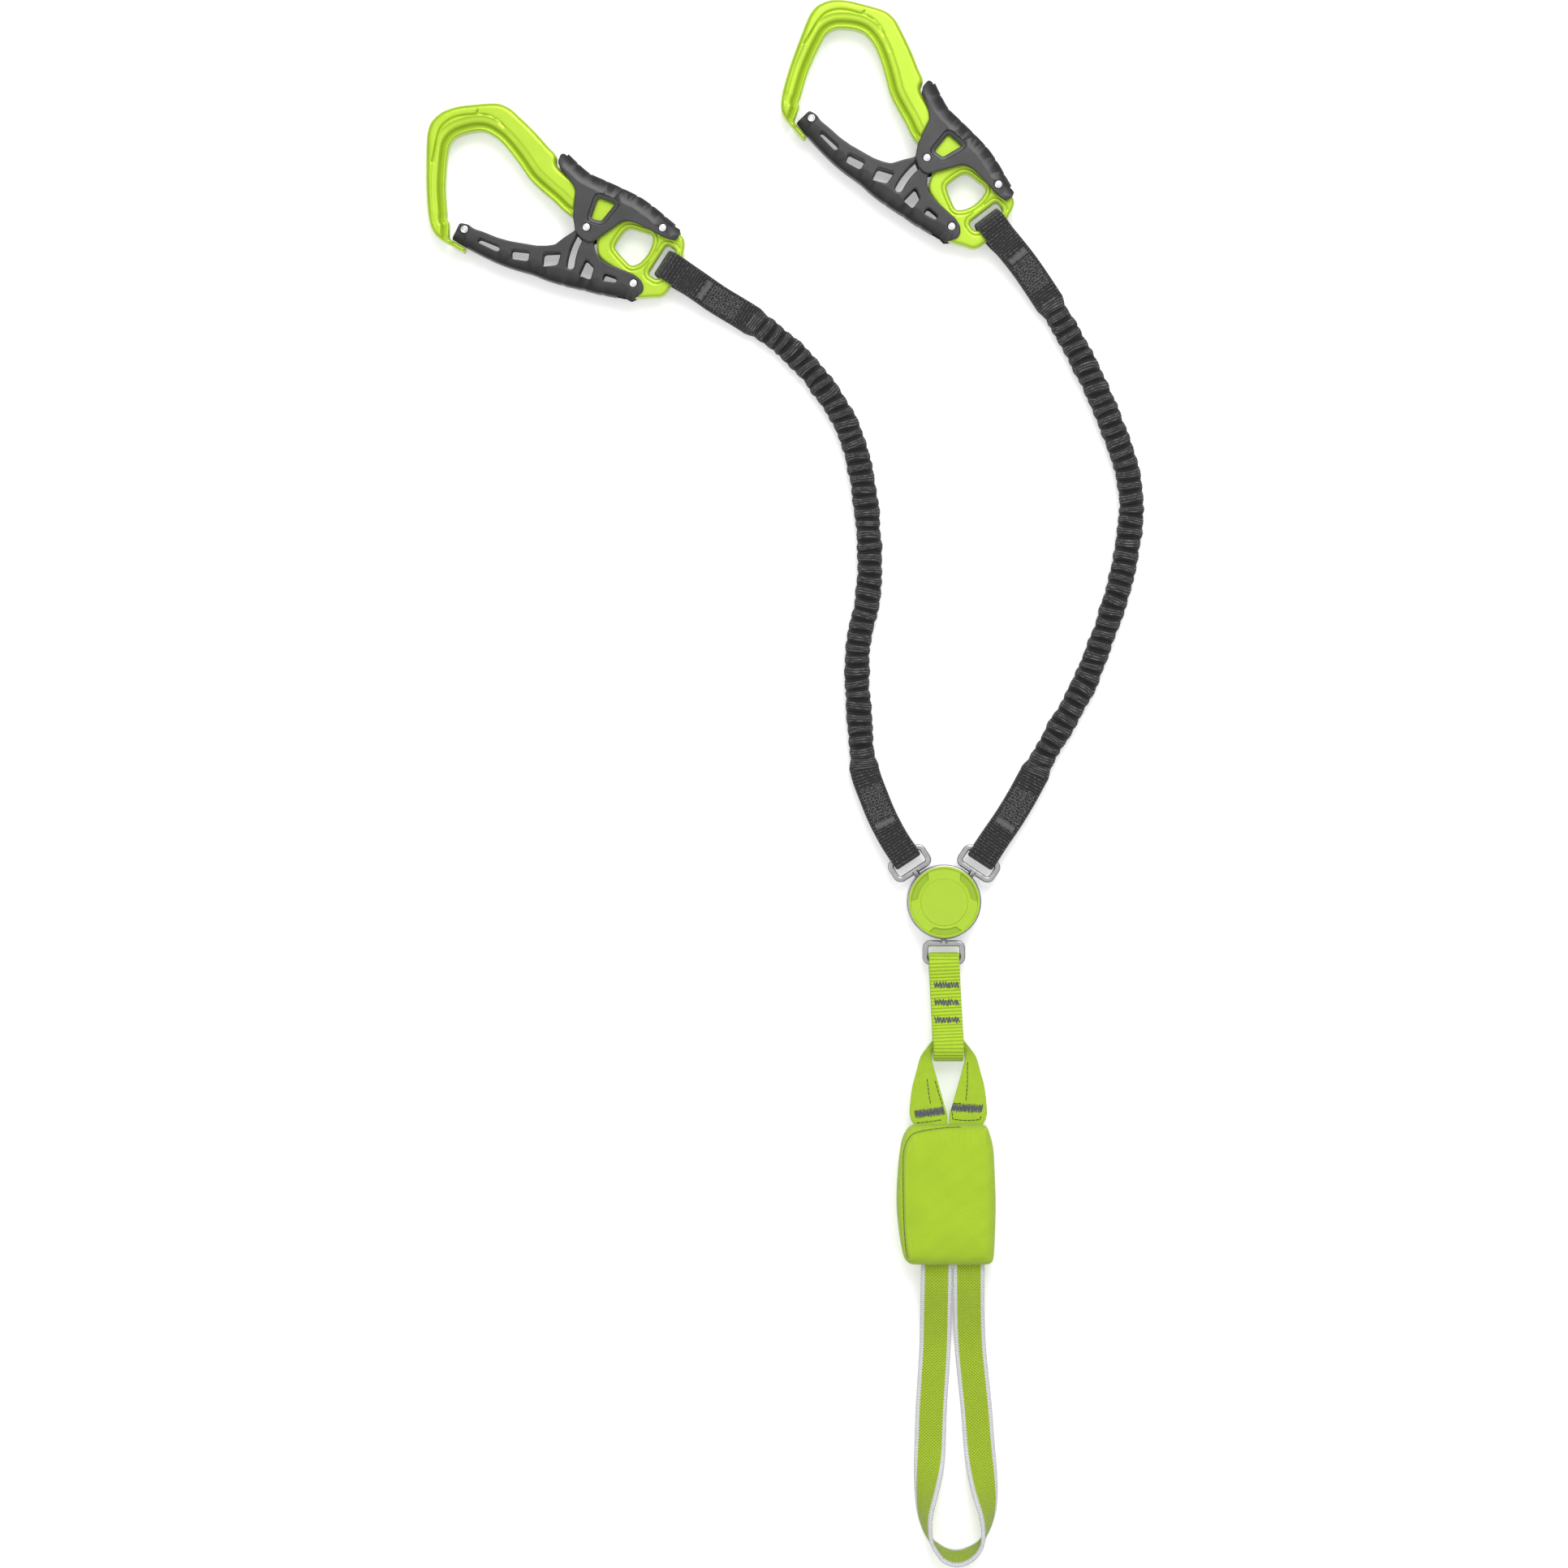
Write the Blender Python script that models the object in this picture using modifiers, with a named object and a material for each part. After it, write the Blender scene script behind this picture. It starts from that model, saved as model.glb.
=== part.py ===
"""Via ferrata lanyard: two palm-lever carabiners on elastic arms, a three-way swivel, a short
sling, a tear-webbing absorber in its pouch, and a tie-in loop. It lies flat on z = 0, with the
swivel's centre over the origin, the arms towards +Y and the tie-in loop towards -Y.
"""

import math

import bmesh
import bpy
import numpy as np
from mathutils import Matrix, Vector

# General clearances, in metres
GAP = 0.0003  # between pieces that touch
WELD = 0.000002
OVERRUN = 0.004  # how far a cutter runs past what it cuts

# Swivel
SWIVEL_RADIUS = 0.01835
SWIVEL_THICKNESS = 0.014
COVER_THICKNESS = 0.0017
COVER_RADIUS = 0.0181
COVER_RIM_WIDTH = 0.0019
COVER_FLOOR_DEPTH = 0.0007
COVER_BOSS_RADIUS = 0.0118
COVER_BOSS_HEIGHT = 0.0004
SHELL_EDGE = 0.0008
HUB_RIVET_RADIUS = 0.003
HUB_RIVET_HEAD_RADIUS = 0.005
HUB_RIVET_HEAD_HEIGHT = 0.0016
HUB_RIVET_END = 0.002  # left under the blind hole

# Steel links, each a window with a stem that turns in the swivel
LINK_WIDTH = 0.021
LINK_DEPTH = 0.012
LINK_BAR = 0.0027
LINK_EDGE = 0.0007
LINK_CORNER = 0.0032
LINK_DISTANCE = 0.02515  # swivel centre to the middle of a link, along its stem
LINK_OFFSET = 0.0038  # how far an arm's stem passes from the swivel's centre
STEM_RADIUS = 0.0017
STEM_HEAD_RADIUS = 0.0029
STEM_HEAD_LENGTH = 0.002
STEM_HEAD_DISTANCE = 0.0125  # swivel centre to the inner end of a stem's head
ARM_LINK_ANGLES = {"left": math.radians(123.2), "right": math.radians(56.2)}
LOWER_LINK_ANGLE = math.radians(-90)

# Arms: tubular webbing, flat and sewn at both ends, gathered over an elastic core between
ARM_WIDTH = 0.0144
ARM_PLY = 0.0024
SWIVEL_END_REACH = 0.0485  # link bar to where the gathers start
CARABINER_END_REACH = 0.0465
PINCH_REACH = 0.014  # from a bar to where the two plies lie together
SLOPE_START_SHARE = 0.2  # of a strap end's reach, where it starts to slope to the sleeve's height
STATION_BUNCHING = 1.4  # above 1, a strap end has more stations near its bar
SLEEVE_WIDTH = 0.0122
SLEEVE_THICKNESS = 0.009
SLEEVE_VALLEY_SHARE = 0.88
RUCHE_PITCH = 0.0057
CORE_WIDTH = 0.0072
CORE_THICKNESS = 0.0046
TUBE_STEP = 0.009
ARM_REACH = 0.333  # swivel link to carabiner slot, straight
LEFT_ROUTE_SHARES = [
    (0, 0), (-0.015, 0.023), (-0.032, 0.055), (-0.046, 0.089), (-0.058, 0.123), (-0.063, 0.159),
    (-0.067, 0.213), (-0.070, 0.267), (-0.067, 0.321), (-0.055, 0.374), (-0.051, 0.428),
    (-0.053, 0.482), (-0.059, 0.536), (-0.069, 0.589), (-0.086, 0.639), (-0.113, 0.684),
    (-0.146, 0.726), (-0.186, 0.764), (-0.230, 0.795), (-0.277, 0.823), (-0.308, 0.844),
    (-0.325, 0.855), (-0.342, 0.866),
]
RIGHT_ROUTE_SHARES = [
    (0, 0), (0.015, 0.023), (0.037, 0.055), (0.056, 0.086), (0.073, 0.117), (0.099, 0.165),
    (0.126, 0.211), (0.151, 0.259), (0.171, 0.310), (0.189, 0.360), (0.204, 0.412),
    (0.214, 0.465), (0.219, 0.519), (0.212, 0.573), (0.195, 0.624), (0.175, 0.674),
    (0.152, 0.723), (0.127, 0.770), (0.099, 0.817), (0.079, 0.847), (0.058, 0.876),
    (0.035, 0.904), (0.024, 0.916), (0.014, 0.929),
]

# Carabiners: the frame lies in its own XY plane, bow towards +Y, webbing slot towards -Y
CARABINER_LENGTH = 0.1425
CARABINER_TURNS = {"left": math.radians(57.5), "right": math.radians(37.5)}
BOW_THICKNESS = 0.011
BOW_EDGE = 0.0010
PLATE_THICKNESS = 0.0076
PLATE_EDGE = 0.0016
SLOT_BAR_WIDTH = 0.007
SLOT_PLAY = 0.0030  # beside and above the strap in its slot
SLOT_CORNER = 0.0018
STRAP_CENTRE_SHARE = 0.0144
CHEEK = 0.0017
WEB = 0.0020
PIN_RADIUS = 0.0016
HEAD_RADIUS = 0.00195
HEAD_HEIGHT = 0.0006
SPRING_RADIUS = 0.0018
SPRING_WIRE = 0.0006
SPRING_TURNS = 5
SPRING_POCKET = 0.005
LEVER_PRESS = math.radians(5)
GATE_PER_LEVER = -4.0  # how far the gate turns for each turn of the lever
SLOT_EXTRA = 1.45  # how much longer the gate's slot is than its pin's travel
LEVER_PIVOT_SHARES = (0.112, -0.354)
GATE_PIVOT_SHARES = (-0.102, -0.370)
CROSS_PIN_SHARES = (-0.027, -0.131)
TIP_PIN_SHARES = (-0.258, 0.221)
SPRING_SHARES = (0.092, -0.007)
BOW_SHARES = [
    (-0.325, 0.180), (-0.328, 0.232), (-0.329, 0.281), (-0.325, 0.302), (-0.311, 0.326),
    (-0.281, 0.356), (-0.211, 0.408), (-0.140, 0.454), (-0.073, 0.495), (-0.042, 0.511),
    (-0.009, 0.519), (0.019, 0.515), (0.049, 0.503), (0.086, 0.473), (0.122, 0.430),
    (0.159, 0.381), (0.175, 0.351), (0.180, 0.314), (0.174, 0.274), (0.159, 0.201),
    (0.140, 0.133), (0.128, 0.091), (0.102, 0.072), (0.093, 0.035), (0.091, -0.032),
    (-0.021, -0.076), (-0.018, -0.031), (-0.009, 0.012), (-0.003, 0.055), (0.004, 0.098),
    (0.013, 0.133), (0.034, 0.182), (0.055, 0.238), (0.067, 0.281), (0.070, 0.311),
    (0.067, 0.342), (0.055, 0.366), (0.034, 0.390), (0.004, 0.414), (-0.018, 0.422),
    (-0.042, 0.421), (-0.073, 0.408), (-0.121, 0.384), (-0.177, 0.351), (-0.244, 0.302),
    (-0.260, 0.293), (-0.265, 0.280), (-0.305, 0.255), (-0.310, 0.247), (-0.310, 0.181),
]
PLATE_SHARES = [
    (0.007, -0.007), (0.083, 0.018), (0.086, -0.028), (0.092, -0.056), (0.100, -0.140),
    (0.114, -0.232), (0.122, -0.295), (0.129, -0.351), (0.131, -0.393), (0.128, -0.421),
    (0.121, -0.436), (0.104, -0.448), (0.079, -0.459), (0.056, -0.473), (0.032, -0.4825),
    (-0.033, -0.4825), (-0.073, -0.481), (-0.090, -0.472), (-0.109, -0.444), (-0.138, -0.404),
    (-0.142, -0.375), (-0.131, -0.342), (-0.105, -0.317), (-0.095, -0.281), (-0.091, -0.235),
    (-0.081, -0.211), (-0.058, -0.192), (-0.029, -0.174), (-0.011, -0.154), (-0.006, -0.131),
    (-0.008, -0.105), (-0.018, -0.082), (-0.013, -0.056),
]
FRAME_FOOT_SHARE = -0.4825
WINDOW_SHARES = [
    (-0.033, -0.253), (-0.024, -0.246), (0.006, -0.244), (0.040, -0.248), (0.055, -0.260),
    (0.065, -0.293), (0.074, -0.330), (0.067, -0.342), (0.043, -0.352), (0.006, -0.356),
    (-0.030, -0.348), (-0.049, -0.335), (-0.053, -0.324), (-0.042, -0.278),
]
LEVER_GRIP_SHARES = [
    (0.147, 0.081), (0.160, 0.075), (0.149, 0.024), (0.140, -0.037), (0.149, -0.104),
    (0.159, -0.178), (0.164, -0.232), (0.161, -0.293), (0.153, -0.354), (0.147, -0.403),
]
LEVER_INNER_SHARES = [
    (0.126, -0.417), (0.101, -0.415), (0.092, -0.397), (0.086, -0.354), (0.083, -0.305),
    (0.076, -0.262), (0.065, -0.232), (0.049, -0.220), (-0.055, -0.178), (-0.067, -0.165),
    (-0.068, -0.135), (-0.058, -0.104), (-0.036, -0.086), (-0.024, -0.074), (0.019, -0.052),
    (0.061, -0.031), (0.076, -0.006), (0.092, 0.036), (0.101, 0.061), (0.110, 0.073),
]
LEVER_HOLE_SHARES = [(0.008, -0.128), (0.083, -0.110), (0.097, -0.171), (0.019, -0.162)]
LEVER_WEB_SHARES = (-0.386, 0.060)  # foot and head of the web that joins the lever's cheeks
GATE_GRIP_SHARES = [
    (-0.307, 0.241), (-0.305, 0.177), (-0.299, 0.109), (-0.290, 0.048), (-0.277, -0.006),
    (-0.262, -0.055), (-0.250, -0.116), (-0.232, -0.178), (-0.213, -0.232), (-0.195, -0.287),
    (-0.171, -0.348), (-0.159, -0.391),
]
GATE_INNER_SHARES = [
    (-0.140, -0.404), (-0.109, -0.413), (-0.091, -0.406), (-0.077, -0.385), (-0.074, -0.354),
    (-0.082, -0.312), (-0.091, -0.262), (-0.091, -0.226), (-0.079, -0.201), (-0.061, -0.180),
    (-0.032, -0.168), (-0.006, -0.157), (0.006, -0.137), (0.002, -0.114), (-0.021, -0.103),
    (-0.058, -0.101), (-0.098, -0.083), (-0.134, -0.070), (-0.152, -0.049), (-0.171, -0.019),
    (-0.189, 0.024), (-0.207, 0.067), (-0.220, 0.109), (-0.229, 0.159), (-0.238, 0.195),
    (-0.236, 0.220), (-0.247, 0.247),
]
GATE_WEB_SHARES = (-0.345, 0.300)
GATE_HOLE_SHARES = [
    [(-0.271, 0.164), (-0.255, 0.164), (-0.241, 0.090), (-0.254, 0.079), (-0.262, 0.088)],
    [(-0.256, 0.030), (-0.229, 0.048), (-0.201, -0.009), (-0.232, -0.023)],
    [(-0.222, -0.074), (-0.180, -0.053), (-0.145, -0.102), (-0.189, -0.116)],
    [(-0.180, -0.196), (-0.119, -0.187), (-0.128, -0.226), (-0.171, -0.239)],
    [(-0.152, -0.275), (-0.126, -0.267), (-0.116, -0.311), (-0.131, -0.320)],
]

# Connector sling: one webbing wound twice round the lower link and the absorber's eye
SLING_WIDTH = 0.0150
SLING_PLY = 0.00195
SLING_SPAN = 0.0407  # between its two folds' centres
SLING_LEAN = 0.0021  # sideways, from its upper fold to its lower one
SLING_PINCH_REACH = 0.012
EYE_BAR_WIDTH = 0.0060
EYE_BAR_THICKNESS = 0.0050
EYE_SIDE_PLAY = 0.0004
EYE_LEG_WIDTH = 0.0168
EYE_LEG_THICKNESS = 0.0022
EYE_LEG_PLAY = 0.0008
EYE_MOUTH_SHIFT = 0.0010  # sideways, from the pouch's middle
EYE_SPREAD_SHARE = 0.5  # of the way to the pouch, where the bunched webbing lies flat again
EYE_SHOULDER_SHARES = [  # past the sling's edge and down: inner edge, then outer edge
    (-0.018, 0.077, -0.018, -0.077), (-0.003, 0.082, 0.036, -0.010), (0.000, 0.095, 0.090, 0.060),
    (0.001, 0.130, 0.137, 0.125), (0.002, 0.200, 0.168, 0.200),
]
EYE_LEG_SHARES = [  # down from the fold's centre, inner edge and outer edge from the middle
    (0.285, 0.183, 0.394), (0.370, 0.160, 0.417), (0.500, 0.122, 0.452), (0.630, 0.085, 0.473),
    (0.760, 0.049, 0.486), (0.870, 0.0155, 0.490), (0.950, 0.0104, 0.470),
]

# Absorber
POUCH_LENGTH = 0.0688
POUCH_THICKNESS = 0.024
POUCH_WALL = 0.0010
POUCH_EDGE = 0.006
POUCH_TOP_DISTANCE = 0.0388  # eye fold's centre to the pouch's top
POUCH_SHIFT = -0.0011  # sideways, from the eye's centre
POUCH_SHARES = [
    (-0.259, -0.012), (-0.310, -0.086), (-0.334, -0.209), (-0.352, -0.413), (-0.355, -0.587),
    (-0.337, -0.776), (-0.308, -0.936), (-0.281, -0.984), (-0.240, -1.000), (0.298, -1.000),
    (0.331, -0.983), (0.340, -0.936), (0.349, -0.733), (0.352, -0.558), (0.346, -0.369),
    (0.337, -0.180), (0.317, -0.086), (0.288, -0.015), (0.247, 0.000), (-0.218, 0.000),
]
PACK_PLIES = 7
PACK_PLY = 0.0024
PACK_PLY_GAP = 0.0005
PACK_WIDTH = 0.030
PACK_INSET = 0.009  # from the pouch's top and bottom

# Tie-in loop: flat beside the pouch, rolled onto its edge at the far bend
LOOP_WIDTH = 0.0154
LOOP_PLY = 0.0020
LOOP_MOUTH_PLAY_SHARE = 0.04
LOOP_LENGTH = 0.149
LOOP_SHIFT = 0.0032  # sideways, from the pouch's middle
LOOP_SETTLE = 0.045  # from the pouch to where the legs lie on the surface
LOOP_BEND_ROLL = math.radians(110)
LOOP_ROUTE_SHARES = [  # across, along, and roll as a share of the bend's
    (-0.053, 0.050, 0), (-0.053, 0, 0), (-0.0545, -0.134, 0), (-0.056, -0.282, 0),
    (-0.068, -0.480, 0), (-0.073, -0.614, 0.03), (-0.077, -0.681, 0.20), (-0.084, -0.748, 0.38),
    (-0.090, -0.815, 0.56), (-0.089, -0.849, 0.64), (-0.083, -0.883, 0.71),
    (-0.0725, -0.916, 0.79), (-0.048, -0.946, 0.89), (-0.0215, -0.968, 0.97),
    (0.0154, -0.9765, 1), (0.052, -0.966, 0.97), (0.083, -0.943, 0.88), (0.101, -0.916, 0.79),
    (0.110, -0.883, 0.69), (0.114, -0.849, 0.59), (0.114, -0.815, 0.49), (0.106, -0.748, 0.28),
    (0.098, -0.681, 0.12), (0.091, -0.614, 0.02), (0.0805, -0.480, 0), (0.061, -0.282, 0),
    (0.0545, -0.134, 0), (0.053, 0, 0), (0.053, 0.050, 0),
]

# Worked out from the sizes above
SWIVEL_MID = SWIVEL_THICKNESS / 2
GATE_HALF_INNER = PLATE_THICKNESS / 2 + GAP
GATE_HALF = GATE_HALF_INNER + CHEEK
LEVER_HALF_INNER = GATE_HALF + GAP
LEVER_HALF = LEVER_HALF_INNER + CHEEK
CARABINER_MID = LEVER_HALF + GAP + HEAD_HEIGHT
SLEEVE_MID = SLEEVE_THICKNESS / 2


def corner_reach(half_width, half_height, edge):
    """How far the corners of a bar with chamfered edges lie from its middle."""
    return max(math.hypot(half_width, half_height - edge), math.hypot(half_width - edge, half_height))


LINK_EYE = corner_reach(LINK_BAR / 2, LINK_BAR / 2, LINK_EDGE) + GAP
SLOT_EYE = corner_reach(SLOT_BAR_WIDTH / 2, PLATE_THICKNESS / 2, PLATE_EDGE) + GAP
EYE_FOLD = math.hypot(EYE_BAR_WIDTH, EYE_BAR_THICKNESS) / 2 * math.cos(math.pi / 8) + GAP
SLING_STEP = SLING_PLY + GAP
EYE_MID = EYE_FOLD + SLING_STEP + SLING_PLY + GAP
LINK_BAR_DISTANCE = LINK_DISTANCE + (LINK_DEPTH - LINK_BAR) / 2

PARTS = bpy.data.collections.new("via_ferrata_lanyard")
CUTTERS = bpy.data.collections.new("cutters")


def clear_scene():
    for obj in list(bpy.data.objects):
        bpy.data.objects.remove(obj)
    for collection in (PARTS, CUTTERS):
        bpy.context.scene.collection.children.link(collection)


def material(name, colour, roughness, metallic):
    made = bpy.data.materials.get(name) or bpy.data.materials.new(name)
    made.use_nodes = True
    shader = made.node_tree.nodes["Principled BSDF"]
    shader.inputs["Base Color"].default_value = (*colour, 1)
    shader.inputs["Roughness"].default_value = roughness
    shader.inputs["Metallic"].default_value = metallic
    return made


def green_aluminium():
    return material("green_aluminium", (0.44, 0.68, 0.03), 0.3, 0.8)


def green_plastic():
    return material("green_plastic", (0.42, 0.62, 0.03), 0.45, 0)


def black_plastic():
    return material("black_plastic", (0.03, 0.03, 0.032), 0.4, 0)


def steel():
    return material("steel", (0.6, 0.6, 0.62), 0.25, 1)


def black_webbing():
    return material("black_webbing", (0.04, 0.04, 0.04), 0.9, 0)


def green_webbing():
    return material("green_webbing", (0.4, 0.6, 0.04), 0.85, 0)


def green_fabric():
    return material("green_fabric", (0.36, 0.55, 0.04), 0.9, 0)


def undyed_webbing():
    return material("undyed_webbing", (0.8, 0.8, 0.76), 0.9, 0)


def rubber():
    return material("rubber", (0.5, 0.48, 0.42), 0.8, 0)


def empty(name, location, turn=0.0, parent=None):
    made = bpy.data.objects.new(name, None)
    made.location = location
    made.rotation_euler = (0, 0, turn)
    made.parent = parent
    made.empty_display_size = SWIVEL_RADIUS
    PARTS.objects.link(made)
    return made


def add(name, mesh, origin=(0, 0, 0), parent=None, look=None, smooth=False):
    """A new object whose mesh, given in its parent's frame, keeps its place round its origin."""
    mesh.transform(Matrix.Translation(-Vector(origin)))
    obj = bpy.data.objects.new(name, mesh)
    obj.location = origin
    obj.parent = parent
    if look:
        mesh.materials.clear()
        mesh.materials.append(look)
        PARTS.objects.link(obj)
    else:
        obj.hide_render = True
        obj.display_type = "WIRE"
        CUTTERS.objects.link(obj)
    if smooth:
        mesh.shade_smooth()
        mesh.set_sharp_from_angle(angle=math.radians(40))
    return obj


def mesh_of_curve(curve):
    """The curve as a welded mesh. Its caps are loose until they are welded to its sides."""
    obj = bpy.data.objects.new("outline", curve)
    CUTTERS.objects.link(obj)
    graph = bpy.context.evaluated_depsgraph_get()
    mesh = bpy.data.meshes.new_from_object(obj.evaluated_get(graph))
    bpy.data.objects.remove(obj)
    bm = bmesh.new()
    bm.from_mesh(mesh)
    bmesh.ops.remove_doubles(bm, verts=bm.verts, dist=WELD)
    bmesh.ops.recalc_face_normals(bm, faces=bm.faces)
    bm.to_mesh(mesh)
    bm.free()
    return mesh


def slab(loops, low, high, edge=0.0, steps=0):
    """A flat plate between two heights, chamfered, with every loop after the first a hole."""
    curve = bpy.data.curves.new("outline", "CURVE")
    curve.dimensions = "2D"
    curve.fill_mode = "BOTH"
    curve.extrude = (high - low) / 2 - edge
    curve.bevel_depth = edge
    curve.bevel_resolution = steps
    curve.offset = -edge
    for loop in loops:
        spline = curve.splines.new("POLY")
        spline.points.add(len(loop) - 1)
        for point, (x, y) in zip(spline.points, loop):
            point.co = (x, y, 0, 1)
        spline.use_cyclic_u = True
    mesh = mesh_of_curve(curve)
    mesh.transform(Matrix.Translation((0, 0, (high + low) / 2)))
    return mesh


def tube(points, width, height, sides, radii=None):
    """A tube of oval section along points, its width level, with caps."""
    section = bpy.data.curves.new("section", "CURVE")
    spline = section.splines.new("POLY")
    spline.points.add(sides - 1)
    for i, point in enumerate(spline.points):
        angle = 2 * math.pi * (i + 0.5) / sides
        point.co = (width / 2 * math.cos(angle), height / 2 * math.sin(angle), 0, 1)
    spline.use_cyclic_u = True
    outline = bpy.data.objects.new("section", section)
    CUTTERS.objects.link(outline)
    curve = bpy.data.curves.new("tube", "CURVE")
    curve.dimensions = "3D"
    curve.twist_mode = "Z_UP"
    curve.bevel_mode = "OBJECT"
    curve.bevel_object = outline
    curve.use_fill_caps = True
    spline = curve.splines.new("POLY")
    spline.points.add(len(points) - 1)
    for i, (point, place) in enumerate(zip(spline.points, points)):
        point.co = (*place, 1)
        point.radius = radii[i] if radii else 1
    mesh = mesh_of_curve(curve)
    bpy.data.objects.remove(outline)
    return mesh


def wire(points, thickness):
    """A round wire along points."""
    curve = bpy.data.curves.new("wire", "CURVE")
    curve.dimensions = "3D"
    curve.bevel_depth = thickness / 2
    curve.bevel_resolution = 1
    curve.use_fill_caps = True
    spline = curve.splines.new("POLY")
    spline.points.add(len(points) - 1)
    for point, place in zip(spline.points, points):
        point.co = (*place, 1)
    return mesh_of_curve(curve)


def turned(profile, steps=32):
    """A solid turned about Z from (radius, height) points, from the top down, ends on the axis."""
    line = bpy.data.meshes.new("profile")
    count = len(profile)
    points = [(radius, 0, height) for radius, height in profile]
    line.from_pydata(points, [(i, i + 1) for i in range(count - 1)], [])
    obj = bpy.data.objects.new("profile", line)
    CUTTERS.objects.link(obj)
    screw = obj.modifiers.new("turn", "SCREW")
    screw.steps = screw.render_steps = steps
    screw.use_merge_vertices = True
    screw.merge_threshold = WELD
    graph = bpy.context.evaluated_depsgraph_get()
    mesh = bpy.data.meshes.new_from_object(obj.evaluated_get(graph))
    bpy.data.objects.remove(obj)
    return mesh


def box(low, high):
    bm = bmesh.new()
    bmesh.ops.create_cube(bm, size=1)
    size = Vector(high) - Vector(low)
    middle = (Vector(high) + Vector(low)) / 2
    place = Matrix.Translation(middle) @ Matrix.Diagonal((*size, 1))
    bmesh.ops.transform(bm, matrix=place, verts=bm.verts)
    mesh = bpy.data.meshes.new("box")
    bm.to_mesh(mesh)
    bm.free()
    return mesh


def boolean(obj, other, operation="DIFFERENCE"):
    modifier = obj.modifiers.new(operation.lower(), "BOOLEAN")
    modifier.operation = operation
    modifier.object = other
    modifier.solver = "EXACT"


def circle(centre, radius, sides=12):
    turns = [2 * math.pi * (i + 0.5) / sides for i in range(sides)]
    return [(centre[0] + radius * math.cos(a), centre[1] + radius * math.sin(a)) for a in turns]


def smooth(points, steps=2, closed=True, corner=math.radians(48)):
    """A curve through the points, which stays sharp where they turn by more than corner."""
    points = np.array(points, float)
    count = len(points)
    runs = count if closed else count - 1
    made = []
    for i in range(runs):
        a, b = points[i], points[(i + 1) % count]
        step = b - a

        def slope(at, before, after):
            if before is None or after is None:
                return step
            one, two = at - before, after - at
            turn = abs(math.atan2(one[0] * two[1] - one[1] * two[0], one @ two))
            if turn > corner:
                return step
            way = one / np.linalg.norm(one) + two / np.linalg.norm(two)
            return way / np.linalg.norm(way) * min(np.linalg.norm(one), np.linalg.norm(two))

        before = points[i - 1] if closed or i else None
        after = points[(i + 2) % count] if closed or i + 2 < count else None
        start, end = slope(a, before, b), slope(b, a, after)
        for k in range(steps):
            t = k / steps
            made.append(
                (2 * t**3 - 3 * t**2 + 1) * a
                + (t**3 - 2 * t**2 + t) * start
                + (3 * t**2 - 2 * t**3) * b
                + (t**3 - t**2) * end
            )
    if not closed:
        made.append(points[-1])
    return np.array(made)


def scaled(shares, size):
    return np.array(shares, float) * size


def eased(t):
    t = min(max(t, 0), 1)
    return t * t * (3 - 2 * t)


def blend(a, b, t):
    return a + (b - a) * eased(t)


class Route:
    """A smooth path in plan, read by the distance along it and straight past its ends."""

    def __init__(self, points, steps=8):
        self.points = smooth(points, steps=steps, closed=False)
        runs = np.linalg.norm(np.diff(self.points, axis=0), axis=1)
        self.along = np.concatenate([[0], np.cumsum(runs)])
        self.length = float(self.along[-1])

    def reverse(self):
        return Route(self.points[::-1], steps=1)

    def way(self, s):
        i = int(np.clip(np.searchsorted(self.along, s), 1, len(self.along) - 1))
        ways = []
        for j in (i - 1, i, i + 1):
            j = min(max(j, 1), len(self.along) - 1)
            step = self.points[j] - self.points[j - 1]
            ways.append(step / np.linalg.norm(step))
        way = sum(ways)
        return way / np.linalg.norm(way)

    def at(self, s):
        if s < 0:
            return self.points[0] + self.way(0) * s
        if s > self.length:
            return self.points[-1] + self.way(self.length) * (s - self.length)
        return np.array([np.interp(s, self.along, self.points[:, k]) for k in (0, 1)])


def ribbon(name, stations, width, ply, origin, parent, look):
    """Webbing: a strip through (middle, width direction) stations, thickened by its ply."""
    bm = bmesh.new()
    bmesh.ops.create_grid(bm, x_segments=1, y_segments=len(stations) - 1, size=1)
    rows = sorted(bm.verts, key=lambda v: (round(v.co.y * len(stations)), v.co.x))
    for i, (middle, across) in enumerate(stations):
        for side, vert in zip((-1, 1), rows[2 * i : 2 * i + 2]):
            vert.co = Vector(middle) + Vector(across) * (side * width / 2)
    mesh = bpy.data.meshes.new(name)
    bm.to_mesh(mesh)
    bm.free()
    obj = add(name, mesh, origin, parent, look)
    thick = obj.modifiers.new("ply", "SOLIDIFY")
    thick.thickness = ply
    thick.offset = 0
    thick.use_even_offset = True
    return obj


def loft(name, sections, origin, parent, look):
    """A closed skin through rings of points that all have the same count."""
    bm = bmesh.new()
    rings = [[bm.verts.new(point) for point in section] for section in sections]
    for ring, after in zip(rings, rings[1:]):
        for i in range(len(ring)):
            j = (i + 1) % len(ring)
            bm.faces.new((ring[i], ring[j], after[j], after[i]))
    bm.faces.new(rings[0][::-1])
    bm.faces.new(rings[-1])
    bmesh.ops.recalc_face_normals(bm, faces=bm.faces)
    mesh = bpy.data.meshes.new(name)
    bm.to_mesh(mesh)
    bm.free()
    return add(name, mesh, origin, parent, look, smooth=True)


def least_gap(points, thickness, skip):
    """The least clear distance between stretches of one tube that are skip points apart."""
    points = np.array(points, float)
    apart = np.linalg.norm(points[:, None] - points[None], axis=2)
    near = np.abs(np.subtract.outer(np.arange(len(points)), np.arange(len(points)))) < skip
    return float(np.where(near, np.inf, apart).min() - thickness)


def link_frame(name, angle, offset):
    """An empty whose +X is a link's stem, pointing away from the swivel, at the stem's height."""
    side = Vector((-math.sin(angle), math.cos(angle), 0)) * offset
    return empty(name, side + Vector((0, 0, SWIVEL_MID)), angle)


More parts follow.
